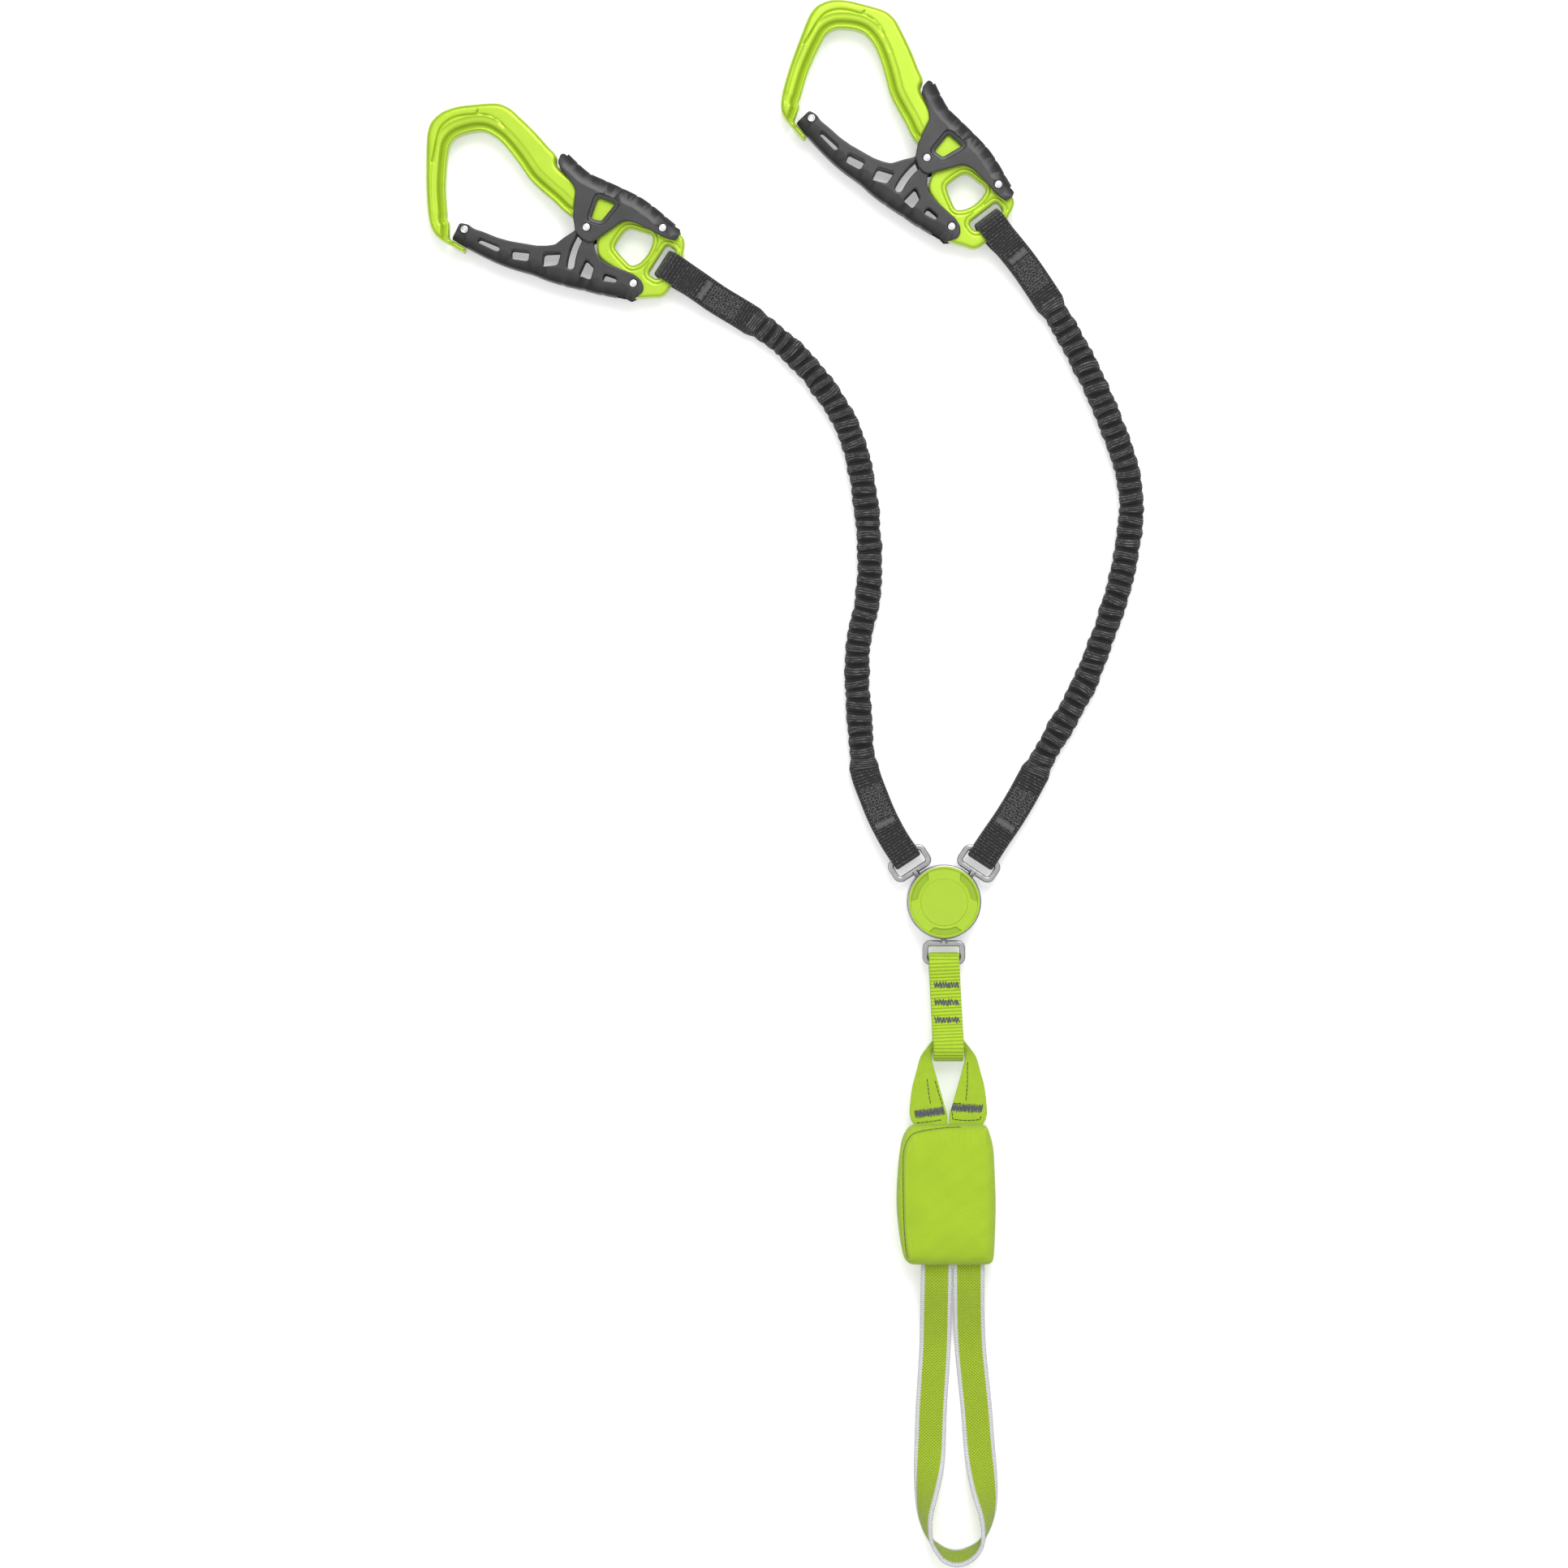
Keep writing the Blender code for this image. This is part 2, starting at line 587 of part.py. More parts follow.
def rounded_rectangle(half_x, half_y, corner, steps=3):
    points = []
    for quarter, (sx, sy) in enumerate(((1, 1), (-1, 1), (-1, -1), (1, -1))):
        for k in range(steps + 1):
            angle = math.pi / 2 * (quarter + k / steps)
            points.append(
                (
                    sx * (half_x - corner) + corner * math.cos(angle),
                    sy * (half_y - corner) + corner * math.sin(angle),
                )
            )
    return points


def steel_link(name, frame):
    """A window of steel bar with a stem, whose head the swivel holds."""
    half_x, half_y = LINK_DEPTH / 2, LINK_WIDTH / 2
    outer = rounded_rectangle(half_x, half_y, LINK_CORNER)
    inner = rounded_rectangle(half_x - LINK_BAR, half_y - LINK_BAR, LINK_CORNER - LINK_BAR)
    ring = slab([outer, inner], -LINK_BAR / 2, LINK_BAR / 2, LINK_EDGE)
    ring.transform(Matrix.Translation((LINK_DISTANCE, 0, 0)))
    obj = add(name, ring, (0, 0, 0), frame, steel())
    stem_end = LINK_DISTANCE - half_x + LINK_BAR / 2
    head_end = STEM_HEAD_DISTANCE + STEM_HEAD_LENGTH
    stem = turned(
        [
            (0, stem_end),
            (STEM_RADIUS, stem_end),
            (STEM_RADIUS, head_end),
            (STEM_HEAD_RADIUS, head_end),
            (STEM_HEAD_RADIUS, STEM_HEAD_DISTANCE),
            (0, STEM_HEAD_DISTANCE),
        ],
        steps=16,
    )
    stem.transform(Matrix.Rotation(math.pi / 2, 4, "Y"))
    boolean(obj, add(name + "_stem", stem, (0, 0, 0), frame), "UNION")
    return obj


def stem_socket(name, frame):
    """What the swivel's shells leave clear round a stem and its head."""
    socket = turned(
        [
            (0, SWIVEL_RADIUS + OVERRUN),
            (STEM_RADIUS + GAP, SWIVEL_RADIUS + OVERRUN),
            (STEM_RADIUS + GAP, STEM_HEAD_DISTANCE + STEM_HEAD_LENGTH + GAP),
            (STEM_HEAD_RADIUS + GAP, STEM_HEAD_DISTANCE + STEM_HEAD_LENGTH + GAP),
            (STEM_HEAD_RADIUS + GAP, STEM_HEAD_DISTANCE - GAP),
            (0, STEM_HEAD_DISTANCE - GAP),
        ],
        steps=16,
    )
    socket.transform(Matrix.Rotation(math.pi / 2, 4, "Y"))
    return add(name, socket, (0, 0, 0), frame)


def swivel(frames):
    """Two steel shells round the links' heads, their rivet, and the green cover."""
    top = SWIVEL_THICKNESS - COVER_THICKNESS - GAP
    sockets = [stem_socket(f"{frame.name}_socket", frame) for frame in frames]
    hole = turned(
        [
            (0, top + OVERRUN),
            (HUB_RIVET_HEAD_RADIUS + GAP, top + OVERRUN),
            (HUB_RIVET_HEAD_RADIUS + GAP, top - HUB_RIVET_HEAD_HEIGHT - GAP),
            (HUB_RIVET_RADIUS + GAP, top - HUB_RIVET_HEAD_HEIGHT - GAP),
            (HUB_RIVET_RADIUS + GAP, HUB_RIVET_END),
            (0, HUB_RIVET_END),
        ]
    )
    hole = add("hub_rivet_hole", hole)
    for name, low, high, edges in (
        ("swivel_back_shell", 0, SWIVEL_MID - GAP / 2, (SHELL_EDGE, 0)),
        ("swivel_front_shell", SWIVEL_MID + GAP / 2, top, (0, SHELL_EDGE)),
    ):
        shell = turned(
            [
                (0, high),
                (SWIVEL_RADIUS - edges[1], high),
                (SWIVEL_RADIUS, high - edges[1]),
                (SWIVEL_RADIUS, low + edges[0]),
                (SWIVEL_RADIUS - edges[0], low),
                (0, low),
            ],
            steps=32,
        )
        obj = add(name, shell, look=steel(), smooth=True)
        for cutter in (*sockets, hole):
            boolean(obj, cutter)
    rivet = turned(
        [
            (0, top - GAP),
            (HUB_RIVET_HEAD_RADIUS, top - GAP),
            (HUB_RIVET_HEAD_RADIUS, top - HUB_RIVET_HEAD_HEIGHT),
            (HUB_RIVET_RADIUS, top - HUB_RIVET_HEAD_HEIGHT),
            (HUB_RIVET_RADIUS, HUB_RIVET_END + GAP),
            (0, HUB_RIVET_END + GAP),
        ],
        steps=20,
    )
    add("swivel_rivet", rivet, look=steel(), smooth=True)
    floor = SWIVEL_THICKNESS - COVER_FLOOR_DEPTH
    rim = COVER_RADIUS - COVER_RIM_WIDTH
    cover = turned(
        [
            (0, floor + COVER_BOSS_HEIGHT),
            (COVER_BOSS_RADIUS, floor + COVER_BOSS_HEIGHT),
            (COVER_BOSS_RADIUS + COVER_BOSS_HEIGHT, floor),
            (rim - COVER_FLOOR_DEPTH, floor),
            (rim, SWIVEL_THICKNESS),
            (COVER_RADIUS - COVER_FLOOR_DEPTH, SWIVEL_THICKNESS),
            (COVER_RADIUS, floor),
            (COVER_RADIUS, SWIVEL_THICKNESS - COVER_THICKNESS),
            (0, SWIVEL_THICKNESS - COVER_THICKNESS),
        ],
        steps=32,
    )
    add("swivel_cover", cover, look=green_plastic(), smooth=True)


def strap_end(name, route, bar_height, far_height, eye, reach, parent):
    """The flat end of an arm: out from the gathers, round a bar, and back on itself."""
    start_half = eye + ARM_PLY / 2
    end_half = (ARM_PLY + GAP) / 2
    steps = 12

    def station(s, side):
        share = s / reach
        middle = blend(bar_height, far_height, (share - SLOPE_START_SHARE) / (1 - SLOPE_START_SHARE))
        half = blend(start_half, end_half, s / PINCH_REACH)
        x, y = route.at(s)
        way = route.way(s)
        return (x, y, middle + side * half), (-way[1], way[0], 0)

    spread = [reach * (i / steps) ** STATION_BUNCHING for i in range(steps + 1)]
    stations = [station(s, -1) for s in reversed(spread)]
    way = route.way(0)
    for k in range(1, 8):
        angle = math.pi * k / 8
        s = -start_half * math.sin(angle)
        height = bar_height - start_half * math.cos(angle)
        stations.append(((*route.at(s), height), (-way[1], way[0], 0)))
    stations += [station(s, 1) for s in spread]
    origin = (*route.at(0), bar_height)
    return ribbon(name, stations, ARM_WIDTH, ARM_PLY, origin, parent, black_webbing())


def sleeve(side, route, parent):
    """The gathered run of an arm, hollow for its elastic core, with the core inside it."""
    start = SWIVEL_END_REACH + GAP
    end = route.length - CARABINER_END_REACH - GAP
    ruches = round((end - start) / RUCHE_PITCH)
    radii = [(1, SLEEVE_VALLEY_SHARE)[i % 2] for i in range(2 * ruches + 1)]
    points = [
        (*route.at(start + (end - start) * i / (2 * ruches)), SLEEVE_MID) for i in range(2 * ruches + 1)
    ]
    print(f"sleeve_{side}: least gap {least_gap(points, SLEEVE_WIDTH, 12) * 1000:.1f} mm")
    outer = tube(points, SLEEVE_WIDTH, SLEEVE_THICKNESS, 8, radii)
    origin = points[0]
    obj = add(f"arm_sleeve_{side}", outer, origin, parent, black_webbing())
    count = round((end - start) / TUBE_STEP)
    spread = [(i / count) for i in range(count + 1)]
    past = [start - OVERRUN, *(start + (end - start) * t for t in spread[1:-1]), end + OVERRUN]
    bore = tube(
        [(*route.at(s), SLEEVE_MID) for s in past],
        CORE_WIDTH + 2 * GAP,
        CORE_THICKNESS + 2 * GAP,
        8,
    )
    boolean(obj, add(f"arm_bore_{side}", bore, origin, parent))
    inside = [start, *(start + (end - start) * t for t in spread[1:-1]), end]
    core = tube([(*route.at(s), SLEEVE_MID) for s in inside], CORE_WIDTH, CORE_THICKNESS, 8)
    add(f"elastic_core_{side}", core, origin, parent, rubber())


def arm(side, shares):
    """One arm from its link's bar to its carabiner's slot. It gives the far end's place."""
    angle = ARM_LINK_ANGLES[side]
    offset = LINK_OFFSET if side == "left" else -LINK_OFFSET
    away = Vector((math.cos(angle), math.sin(angle), 0))
    across = Vector((-math.sin(angle), math.cos(angle), 0))
    bar = away * LINK_BAR_DISTANCE + across * offset
    route = Route(scaled(shares, ARM_REACH) + np.array(bar.xy))
    strap_end(
        f"arm_swivel_end_{side}", route, SWIVEL_MID, SLEEVE_MID, LINK_EYE, SWIVEL_END_REACH, None
    )
    strap_end(
        f"arm_carabiner_end_{side}",
        route.reverse(),
        CARABINER_MID,
        SLEEVE_MID,
        SLOT_EYE,
        CARABINER_END_REACH,
        None,
    )
    sleeve(side, route, None)
    return route.points[-1]


def inset(points, distance):
    """Points moved to the right of their way by a distance."""
    points = np.array(points, float)
    way = np.gradient(points, axis=0)
    way /= np.linalg.norm(way, axis=1)[:, None]
    return points + np.stack([way[:, 1], -way[:, 0]], axis=1) * distance


def carabiner_frame(side, parent):
    """A bow and a thinner plate, joined, with the window, the webbing slot and the pin holes."""
    size = CARABINER_LENGTH
    bow_half, plate_half = BOW_THICKNESS / 2, PLATE_THICKNESS / 2
    bar_edge = FRAME_FOOT_SHARE * size + SLOT_BAR_WIDTH
    slot_half = ARM_WIDTH / 2 + SLOT_PLAY / 2
    slot_top = bar_edge + GAP + ARM_PLY + SLOT_PLAY
    slot = [
        (x + STRAP_CENTRE_SHARE * size, y + (bar_edge + slot_top) / 2)
        for x, y in rounded_rectangle(slot_half, (slot_top - bar_edge) / 2, SLOT_CORNER, 3)
    ]
    plate = slab(
        [scaled(PLATE_SHARES, size), scaled(WINDOW_SHARES, size), slot],
        -plate_half,
        plate_half,
        PLATE_EDGE,
    )
    bow = slab([smooth(scaled(BOW_SHARES, size))], -bow_half, bow_half, BOW_EDGE)
    obj = add(f"carabiner_frame_{side}", bow, (0, 0, 0), parent, green_aluminium(), smooth=True)
    boolean(obj, add(f"carabiner_plate_{side}", plate, (0, 0, 0), parent), "UNION")
    for name, shares in (("lever", LEVER_PIVOT_SHARES), ("gate", GATE_PIVOT_SHARES)):
        hole = slab(
            [circle(scaled(shares, size), PIN_RADIUS + GAP)],
            -plate_half - OVERRUN,
            plate_half + OVERRUN,
        )
        boolean(obj, add(f"{name}_hole_{side}", hole, (0, 0, 0), parent))
    mouth = Vector((*scaled(SPRING_SHARES, size), 0))
    pocket = turned(
        [
            (0, OVERRUN),
            (SPRING_RADIUS + GAP, OVERRUN),
            (SPRING_RADIUS + GAP, -SPRING_POCKET),
            (0, -SPRING_POCKET),
        ],
        steps=12,
    )
    pocket.transform(Matrix.Translation(mouth) @ Matrix.Rotation(math.pi / 2, 4, "Y"))
    boolean(obj, add(f"spring_pocket_{side}", pocket, (0, 0, 0), parent))


def rotated(point, about, angle):
    cos, sin = math.cos(angle), math.sin(angle)
    x, y = point[0] - about[0], point[1] - about[1]
    return np.array([about[0] + cos * x - sin * y, about[1] + sin * x + cos * y])


def pin_path(steps=6):
    """Where the lever's cross pin runs in the gate, as the lever is pressed and the gate turns."""
    size = CARABINER_LENGTH
    lever_pivot, gate_pivot, pin = (
        scaled(s, size) for s in (LEVER_PIVOT_SHARES, GATE_PIVOT_SHARES, CROSS_PIN_SHARES)
    )
    path = []
    for i in range(steps + 1):
        press = LEVER_PRESS * SLOT_EXTRA * i / steps
        place = rotated(pin, lever_pivot, press)
        path.append(rotated(place, gate_pivot, -GATE_PER_LEVER * press))
    return np.array(path)


def pin_slot():
    """The slot round that path, with round ends."""
    path = pin_path()
    half = PIN_RADIUS + GAP
    outline = list(inset(path, half))
    for ends, start in ((path[-1] - path[-2], 1), (path[0] - path[1], -1)):
        angle = math.atan2(ends[1], ends[0])
        middle = path[-1] if start == 1 else path[0]
        for k in range(1, 5):
            turn = angle - math.pi / 2 + math.pi * k / 5
            outline.append(middle + half * np.array([math.cos(turn), math.sin(turn)]))
        if start == 1:
            outline += list(inset(path, -half)[::-1])
    return outline


def two_cheeks(name, grip, inner, holes, web_ends, inner_half, outer_half, pivot, parent):
    """A lever or gate: two cheeks joined by a web along the grip, which the channel leaves. The
    channel runs out at both ends, or only at the foot where the web reaches past the grip's head."""
    size = CARABINER_LENGTH
    back = smooth(scaled(grip, size), closed=False)
    body = slab([[*back, *scaled(inner, size)], *holes], -outer_half, outer_half)
    obj = add(name, body, (*pivot, 0), parent, black_plastic())
    foot, head = (share * size for share in web_ends)
    side = 1 if np.mean(back[:, 0]) > np.mean(scaled(inner, size)[:, 0]) else -1
    web = [point for point in inset(back, side * WEB) if foot < point[1] < head]
    outside = side * size / 2
    shut = head > back[0][1]
    channel = [
        *([] if shut else [(outside, web[0][1])]),
        *web,
        (outside, web[-1][1]),
        (outside, -size),
        (-outside, -size),
        (-outside, size),
        (web[0][0] if shut else outside, size),
    ]
    cutter = slab([channel], -inner_half, inner_half)
    boolean(obj, add(name + "_channel", cutter, (*pivot, 0), parent))
    return obj


def rivet(name, place, half, parent, look):
    """A pin with a head at both ends, which holds two cheeks."""
    profile = [
        (0, half + GAP + HEAD_HEIGHT),
        (HEAD_RADIUS, half + GAP + HEAD_HEIGHT),
        (HEAD_RADIUS, half + GAP),
        (PIN_RADIUS, half + GAP),
        (PIN_RADIUS, -half - GAP),
        (HEAD_RADIUS, -half - GAP),
        (HEAD_RADIUS, -half - GAP - HEAD_HEIGHT),
        (0, -half - GAP - HEAD_HEIGHT),
    ]
    mesh = turned(profile, steps=12)
    mesh.transform(Matrix.Translation((*place, 0)))
    return add(name, mesh, (*place, 0), parent, look, smooth=True)


def lever_spring(side, parent):
    """The coil between the frame's pocket and the lever's web."""
    start = scaled(SPRING_SHARES, CARABINER_LENGTH) - np.array([SPRING_POCKET - GAP, 0])
    grip = inset(smooth(scaled(LEVER_GRIP_SHARES, CARABINER_LENGTH), closed=False), WEB)
    order = np.argsort(grip[:, 1])
    end_x = np.interp(start[1], grip[order, 1], grip[order, 0]) - GAP - SPRING_WIRE
    radius = SPRING_RADIUS - SPRING_WIRE / 2
    count = 8 * SPRING_TURNS
    points = []
    for i in range(count + 1):
        angle = 2 * math.pi * i / 8
        x = start[0] + SPRING_WIRE / 2 + (end_x - start[0]) * i / count
        points.append((x, start[1] + radius * math.cos(angle), radius * math.sin(angle)))
    print(f"lever_spring_{side}: least gap {least_gap(points, SPRING_WIRE, 6) * 1000:.2f} mm")
    add(f"lever_spring_{side}", wire(points, SPRING_WIRE), (*start, 0), parent, steel())


def carabiner(side, slot_place):
    """A carabiner hung by its slot bar, with its gate, lever, pins and spring."""
    size = CARABINER_LENGTH
    turn = CARABINER_TURNS[side]
    bar = np.array([STRAP_CENTRE_SHARE * size, FRAME_FOOT_SHARE * size + SLOT_BAR_WIDTH / 2])
    corner = np.array(slot_place) - rotated(bar, (0, 0), turn)
    frame = empty(f"carabiner_{side}", (*corner, CARABINER_MID), turn)
    lever_pivot, gate_pivot, cross_pin, tip_pin = (
        scaled(shares, size)
        for shares in (LEVER_PIVOT_SHARES, GATE_PIVOT_SHARES, CROSS_PIN_SHARES, TIP_PIN_SHARES)
    )
    carabiner_frame(side, frame)
    hole = PIN_RADIUS + GAP
    two_cheeks(
        f"gate_{side}",
        GATE_GRIP_SHARES,
        GATE_INNER_SHARES,
        [
            *(smooth(scaled(shares, size), corner=math.pi) for shares in GATE_HOLE_SHARES),
            circle(gate_pivot, hole),
            circle(tip_pin, hole),
            pin_slot(),
        ],
        GATE_WEB_SHARES,
        GATE_HALF_INNER,
        GATE_HALF,
        gate_pivot,
        frame,
    )
    two_cheeks(
        f"lever_{side}",
        LEVER_GRIP_SHARES,
        LEVER_INNER_SHARES,
        [
            smooth(scaled(LEVER_HOLE_SHARES, size), corner=math.pi),
            circle(lever_pivot, hole),
            circle(cross_pin, hole),
        ],
        LEVER_WEB_SHARES,
        LEVER_HALF_INNER,
        LEVER_HALF,
        lever_pivot,
        frame,
    )
    rivet(f"gate_rivet_{side}", gate_pivot, GATE_HALF, frame, steel())
    rivet(f"gate_tip_pin_{side}", tip_pin, GATE_HALF, frame, steel())
    rivet(f"lever_rivet_{side}", lever_pivot, LEVER_HALF, frame, steel())
    rivet(f"lever_cross_pin_{side}", cross_pin, LEVER_HALF, frame, steel())
    lever_spring(side, frame)


def sling(top, parent):
    """The connector: two turns of one webbing between the lower link and the absorber's eye."""
    inner = LINK_EYE + SLING_PLY / 2
    lower = EYE_FOLD + SLING_PLY / 2
    sewn = (SLING_PLY + GAP) / 2
    stations = []

    def put(distance, height, share):
        x = top[0] + SLING_LEAN * min(max(distance / SLING_SPAN, 0), 1)
        middle = top[2] + (EYE_MID - top[2]) * share
        stations.append(((x, top[1] - distance, middle + height), (1, 0, 0)))

    def straight(side, turn, downwards):
        steps = 12
        for i in range(1, steps):
            t = i / steps if downwards else 1 - i / steps
            distance = SLING_SPAN * t
            spread = turn * SLING_STEP
            near_top = blend(inner, sewn, distance / SLING_PINCH_REACH)
            near_foot = blend(lower, sewn, (SLING_SPAN - distance) / SLING_PINCH_REACH)
            put(distance, side * (max(near_top, near_foot) + spread), t)

    def fold(radius, turn, growth, at_top):
        steps = 8
        for k in range(steps + 1):
            angle = math.pi * k / steps
            r = radius + (turn + growth * k / steps) * SLING_STEP
            sign = -1 if at_top else 1
            side = -1 if at_top else 1
            put(
                (0 if at_top else SLING_SPAN) + sign * r * math.sin(angle),
                side * r * math.cos(angle),
                0 if at_top else 1,
            )

    for turn in (0, 1):
        straight(1, turn, True)
        fold(lower, turn, 0, at_top=False)
        straight(-1, turn, False)
        if turn == 0:
            fold(inner, 0, 1, at_top=True)
    return ribbon("connector_sling", stations, SLING_WIDTH, SLING_PLY, top, parent, green_webbing())


def oval(middle, across, up, width, thickness):
    """Eight points of a rounded section."""
    points = []
    for i in range(8):
        angle = 2 * math.pi * (i + 0.5) / 8
        x = math.copysign(abs(math.cos(angle)) ** 0.5, math.cos(angle)) * width / 2
        y = math.copysign(abs(math.sin(angle)) ** 0.5, math.sin(angle)) * thickness / 2
        points.append(Vector(middle) + Vector(across) * x + Vector(up) * y)
    return points


def absorber_eye(eye, pouch_top, pouch_middle, parent):
    """The absorber's upper loop: bunched through the sling's fold, wide where it enters the pouch."""
    reach = POUCH_TOP_DISTANCE
    edge = SLING_WIDTH / 2 + EYE_SIDE_PLAY
    half_play = EYE_LEG_PLAY / 2
    rows = [
        (edge + a * reach, b * reach, edge + c * reach, d * reach)
        for a, b, c, d in EYE_SHOULDER_SHARES
    ]
    rows += [(a * reach, drop * reach, b * reach, drop * reach) for drop, a, b in EYE_LEG_SHARES]
    for drop in (reach, reach + PACK_INSET - GAP):
        rows.append((half_play, drop, half_play + EYE_LEG_WIDTH, drop))
    half = []
    for inner_x, inner_drop, outer_x, outer_drop in rows:
        drop = (inner_drop + outer_drop) / 2
        share = eased(drop / reach / EYE_SPREAD_SHARE)
        shift = (pouch_middle + EYE_MOUTH_SHIFT - eye[0]) * eased(drop / reach)
        inner = Vector((inner_x, -inner_drop, 0))
        outer = Vector((outer_x, -outer_drop, 0))
        middle = (inner + outer) / 2
        z = eye[2] + (POUCH_THICKNESS / 2 - eye[2]) * share
        thickness = EYE_BAR_THICKNESS + (EYE_LEG_THICKNESS - EYE_BAR_THICKNESS) * share
        half.append((middle, inner - outer, shift, z, thickness))
    sections = []
    for side, rows in ((-1, half[::-1]), (1, half)):
        for middle, span, shift, z, thickness in rows:
            place = (eye[0] + side * middle.x + shift, eye[1] + middle.y, z)
            across = Vector((side * span.x, span.y, 0)).normalized()
            sections.append(oval(place, across, (0, 0, 1), span.length, thickness))
    return loft("absorber_eye", sections, tuple(eye), parent, green_webbing())


def pillow(outline, middle, low, high, edge, name, origin, parent, look=None):
    """A flat-topped cushion shape: rings of one outline, drawn in towards its top and bottom."""
    outline, centre = np.array(outline), np.array(middle)
    reach = min(np.linalg.norm(outline - centre, axis=1))
    turns = 2
    steps = [math.pi / 2 * i / turns for i in range(turns + 1)]
    rings = [(low + edge - edge * math.cos(a), edge - edge * math.sin(a)) for a in steps]
    rings += [(high + low - z, drawn) for z, drawn in reversed(rings)]
    sections = []
    for z, drawn in rings:
        ring = centre + (outline - centre) * (1 - drawn / reach)
        sections.append([(*point, z) for point in ring])
    return loft(name, sections, origin, parent, look)


def pouch(pouch_top, middle, parent, eye):
    """The absorber's case, open at both ends for the webbing that leaves it."""
    outline = smooth(scaled(POUCH_SHARES, POUCH_LENGTH)) + np.array([middle, pouch_top])
    centre = (middle, pouch_top - POUCH_LENGTH / 2)
    origin = tuple(eye)
    heights = (0, POUCH_THICKNESS)
    case = (outline, centre, *heights, POUCH_EDGE, "absorber_pouch", origin, parent)
    obj = pillow(*case, green_fabric())
    heights = (POUCH_WALL, POUCH_THICKNESS - POUCH_WALL)
    hollow = inset_outline(outline, POUCH_WALL)
    cavity = (hollow, centre, *heights, POUCH_EDGE - POUCH_WALL, "pouch_cavity", origin, parent)
    boolean(obj, pillow(*cavity))
    half_height = POUCH_THICKNESS / 2
    foot = pouch_top - POUCH_LENGTH
    loop_half = LOOP_WIDTH + GAP + LOOP_WIDTH * LOOP_MOUTH_PLAY_SHARE
    for name, centre_x, half, ply, low, high in (
        (
            "eye_mouth",
            middle + EYE_MOUTH_SHIFT,
            EYE_LEG_WIDTH + EYE_LEG_PLAY / 2 + 2 * GAP,
            EYE_LEG_THICKNESS,
            pouch_top - 2 * POUCH_WALL,
            pouch_top + OVERRUN,
        ),
        (
            "loop_mouth",
            middle + LOOP_SHIFT,
            loop_half,
            LOOP_PLY,
            foot - OVERRUN,
            foot + 2 * POUCH_WALL,
        ),
    ):
        rise = ply / 2 + 2 * GAP
        ends = ((-1, low), (1, high))
        corners = [(centre_x + side * half, y, half_height + side * rise) for side, y in ends]
        boolean(obj, add(name, box(*corners), origin, parent))


def inset_outline(points, distance):
    """A closed clockwise or counter-clockwise outline moved inwards by a distance."""
    points = np.array(points, float)
    way = np.roll(points, -1, axis=0) - np.roll(points, 1, axis=0)
    way /= np.linalg.norm(way, axis=1)[:, None]
    area = np.sum(points[:, 0] * np.roll(points[:, 1], -1) - points[:, 1] * np.roll(points[:, 0], -1))
    side = 1 if area > 0 else -1
    return points + side * distance * np.stack([-way[:, 1], way[:, 0]], axis=1)


def tear_pack(pouch_top, middle, parent, eye):
    """The folded tear webbing: plies laid back and forth inside the pouch."""
    step = PACK_PLY + PACK_PLY_GAP
    bend = step / 2
    high = pouch_top - PACK_INSET - bend - PACK_PLY / 2
    low = pouch_top - POUCH_LENGTH + PACK_INSET + bend + PACK_PLY / 2
    start = POUCH_WALL + GAP + PACK_PLY / 2
    x = middle
    stations = []
    for ply in range(PACK_PLIES):
        z = start + ply * step
        ends = (low, high) if ply % 2 == 0 else (high, low)
        stations.append(((x, ends[0], z), (1, 0, 0)))
        stations.append(((x, ends[1], z), (1, 0, 0)))
        if ply == PACK_PLIES - 1:
            break
        way = 1 if ends[1] > ends[0] else -1
        for k in range(1, 4):
            angle = math.pi * k / 4
            y = ends[1] + way * bend * math.sin(angle)
            stations.append(((x, y, z + bend - bend * math.cos(angle)), (1, 0, 0)))
    return ribbon(
        "tear_webbing_pack", stations, PACK_WIDTH, PACK_PLY, tuple(eye), parent, undyed_webbing()
    )


def tie_in_loop(pouch_top, middle, parent, eye):
    """The harness loop: two flat legs that roll onto their edge round the far bend."""
    shares = np.array(LOOP_ROUTE_SHARES, float)
    foot = pouch_top - POUCH_LENGTH
    plan = shares[:, :2] * LOOP_LENGTH + np.array([middle + LOOP_SHIFT, foot])
    plan[0, 1] = plan[-1, 1] = foot + PACK_INSET - GAP
    route = np.column_stack([plan, shares[:, 2] * LOOP_LENGTH])
    dense = smooth(route, steps=2, closed=False)
    way = np.gradient(dense[:, :2], axis=0)
    way /= np.linalg.norm(way, axis=1)[:, None]
    stations = []
    for (x, y, roll), (wx, wy) in zip(dense, way):
        roll = roll / LOOP_LENGTH * LOOP_BEND_ROLL
        across = Vector((-wy, wx, 0)) * math.cos(roll) + Vector((0, 0, 1)) * math.sin(roll)
        rest = abs(math.sin(roll)) * LOOP_WIDTH / 2 + abs(math.cos(roll)) * LOOP_PLY / 2 + GAP
        share = eased((foot - y) / LOOP_SETTLE)
        z = POUCH_THICKNESS / 2 + (rest - POUCH_THICKNESS / 2) * share
        stations.append(((x, y, z), across))
    return ribbon("tie_in_loop", stations, LOOP_WIDTH, LOOP_PLY, tuple(eye), parent, green_webbing())


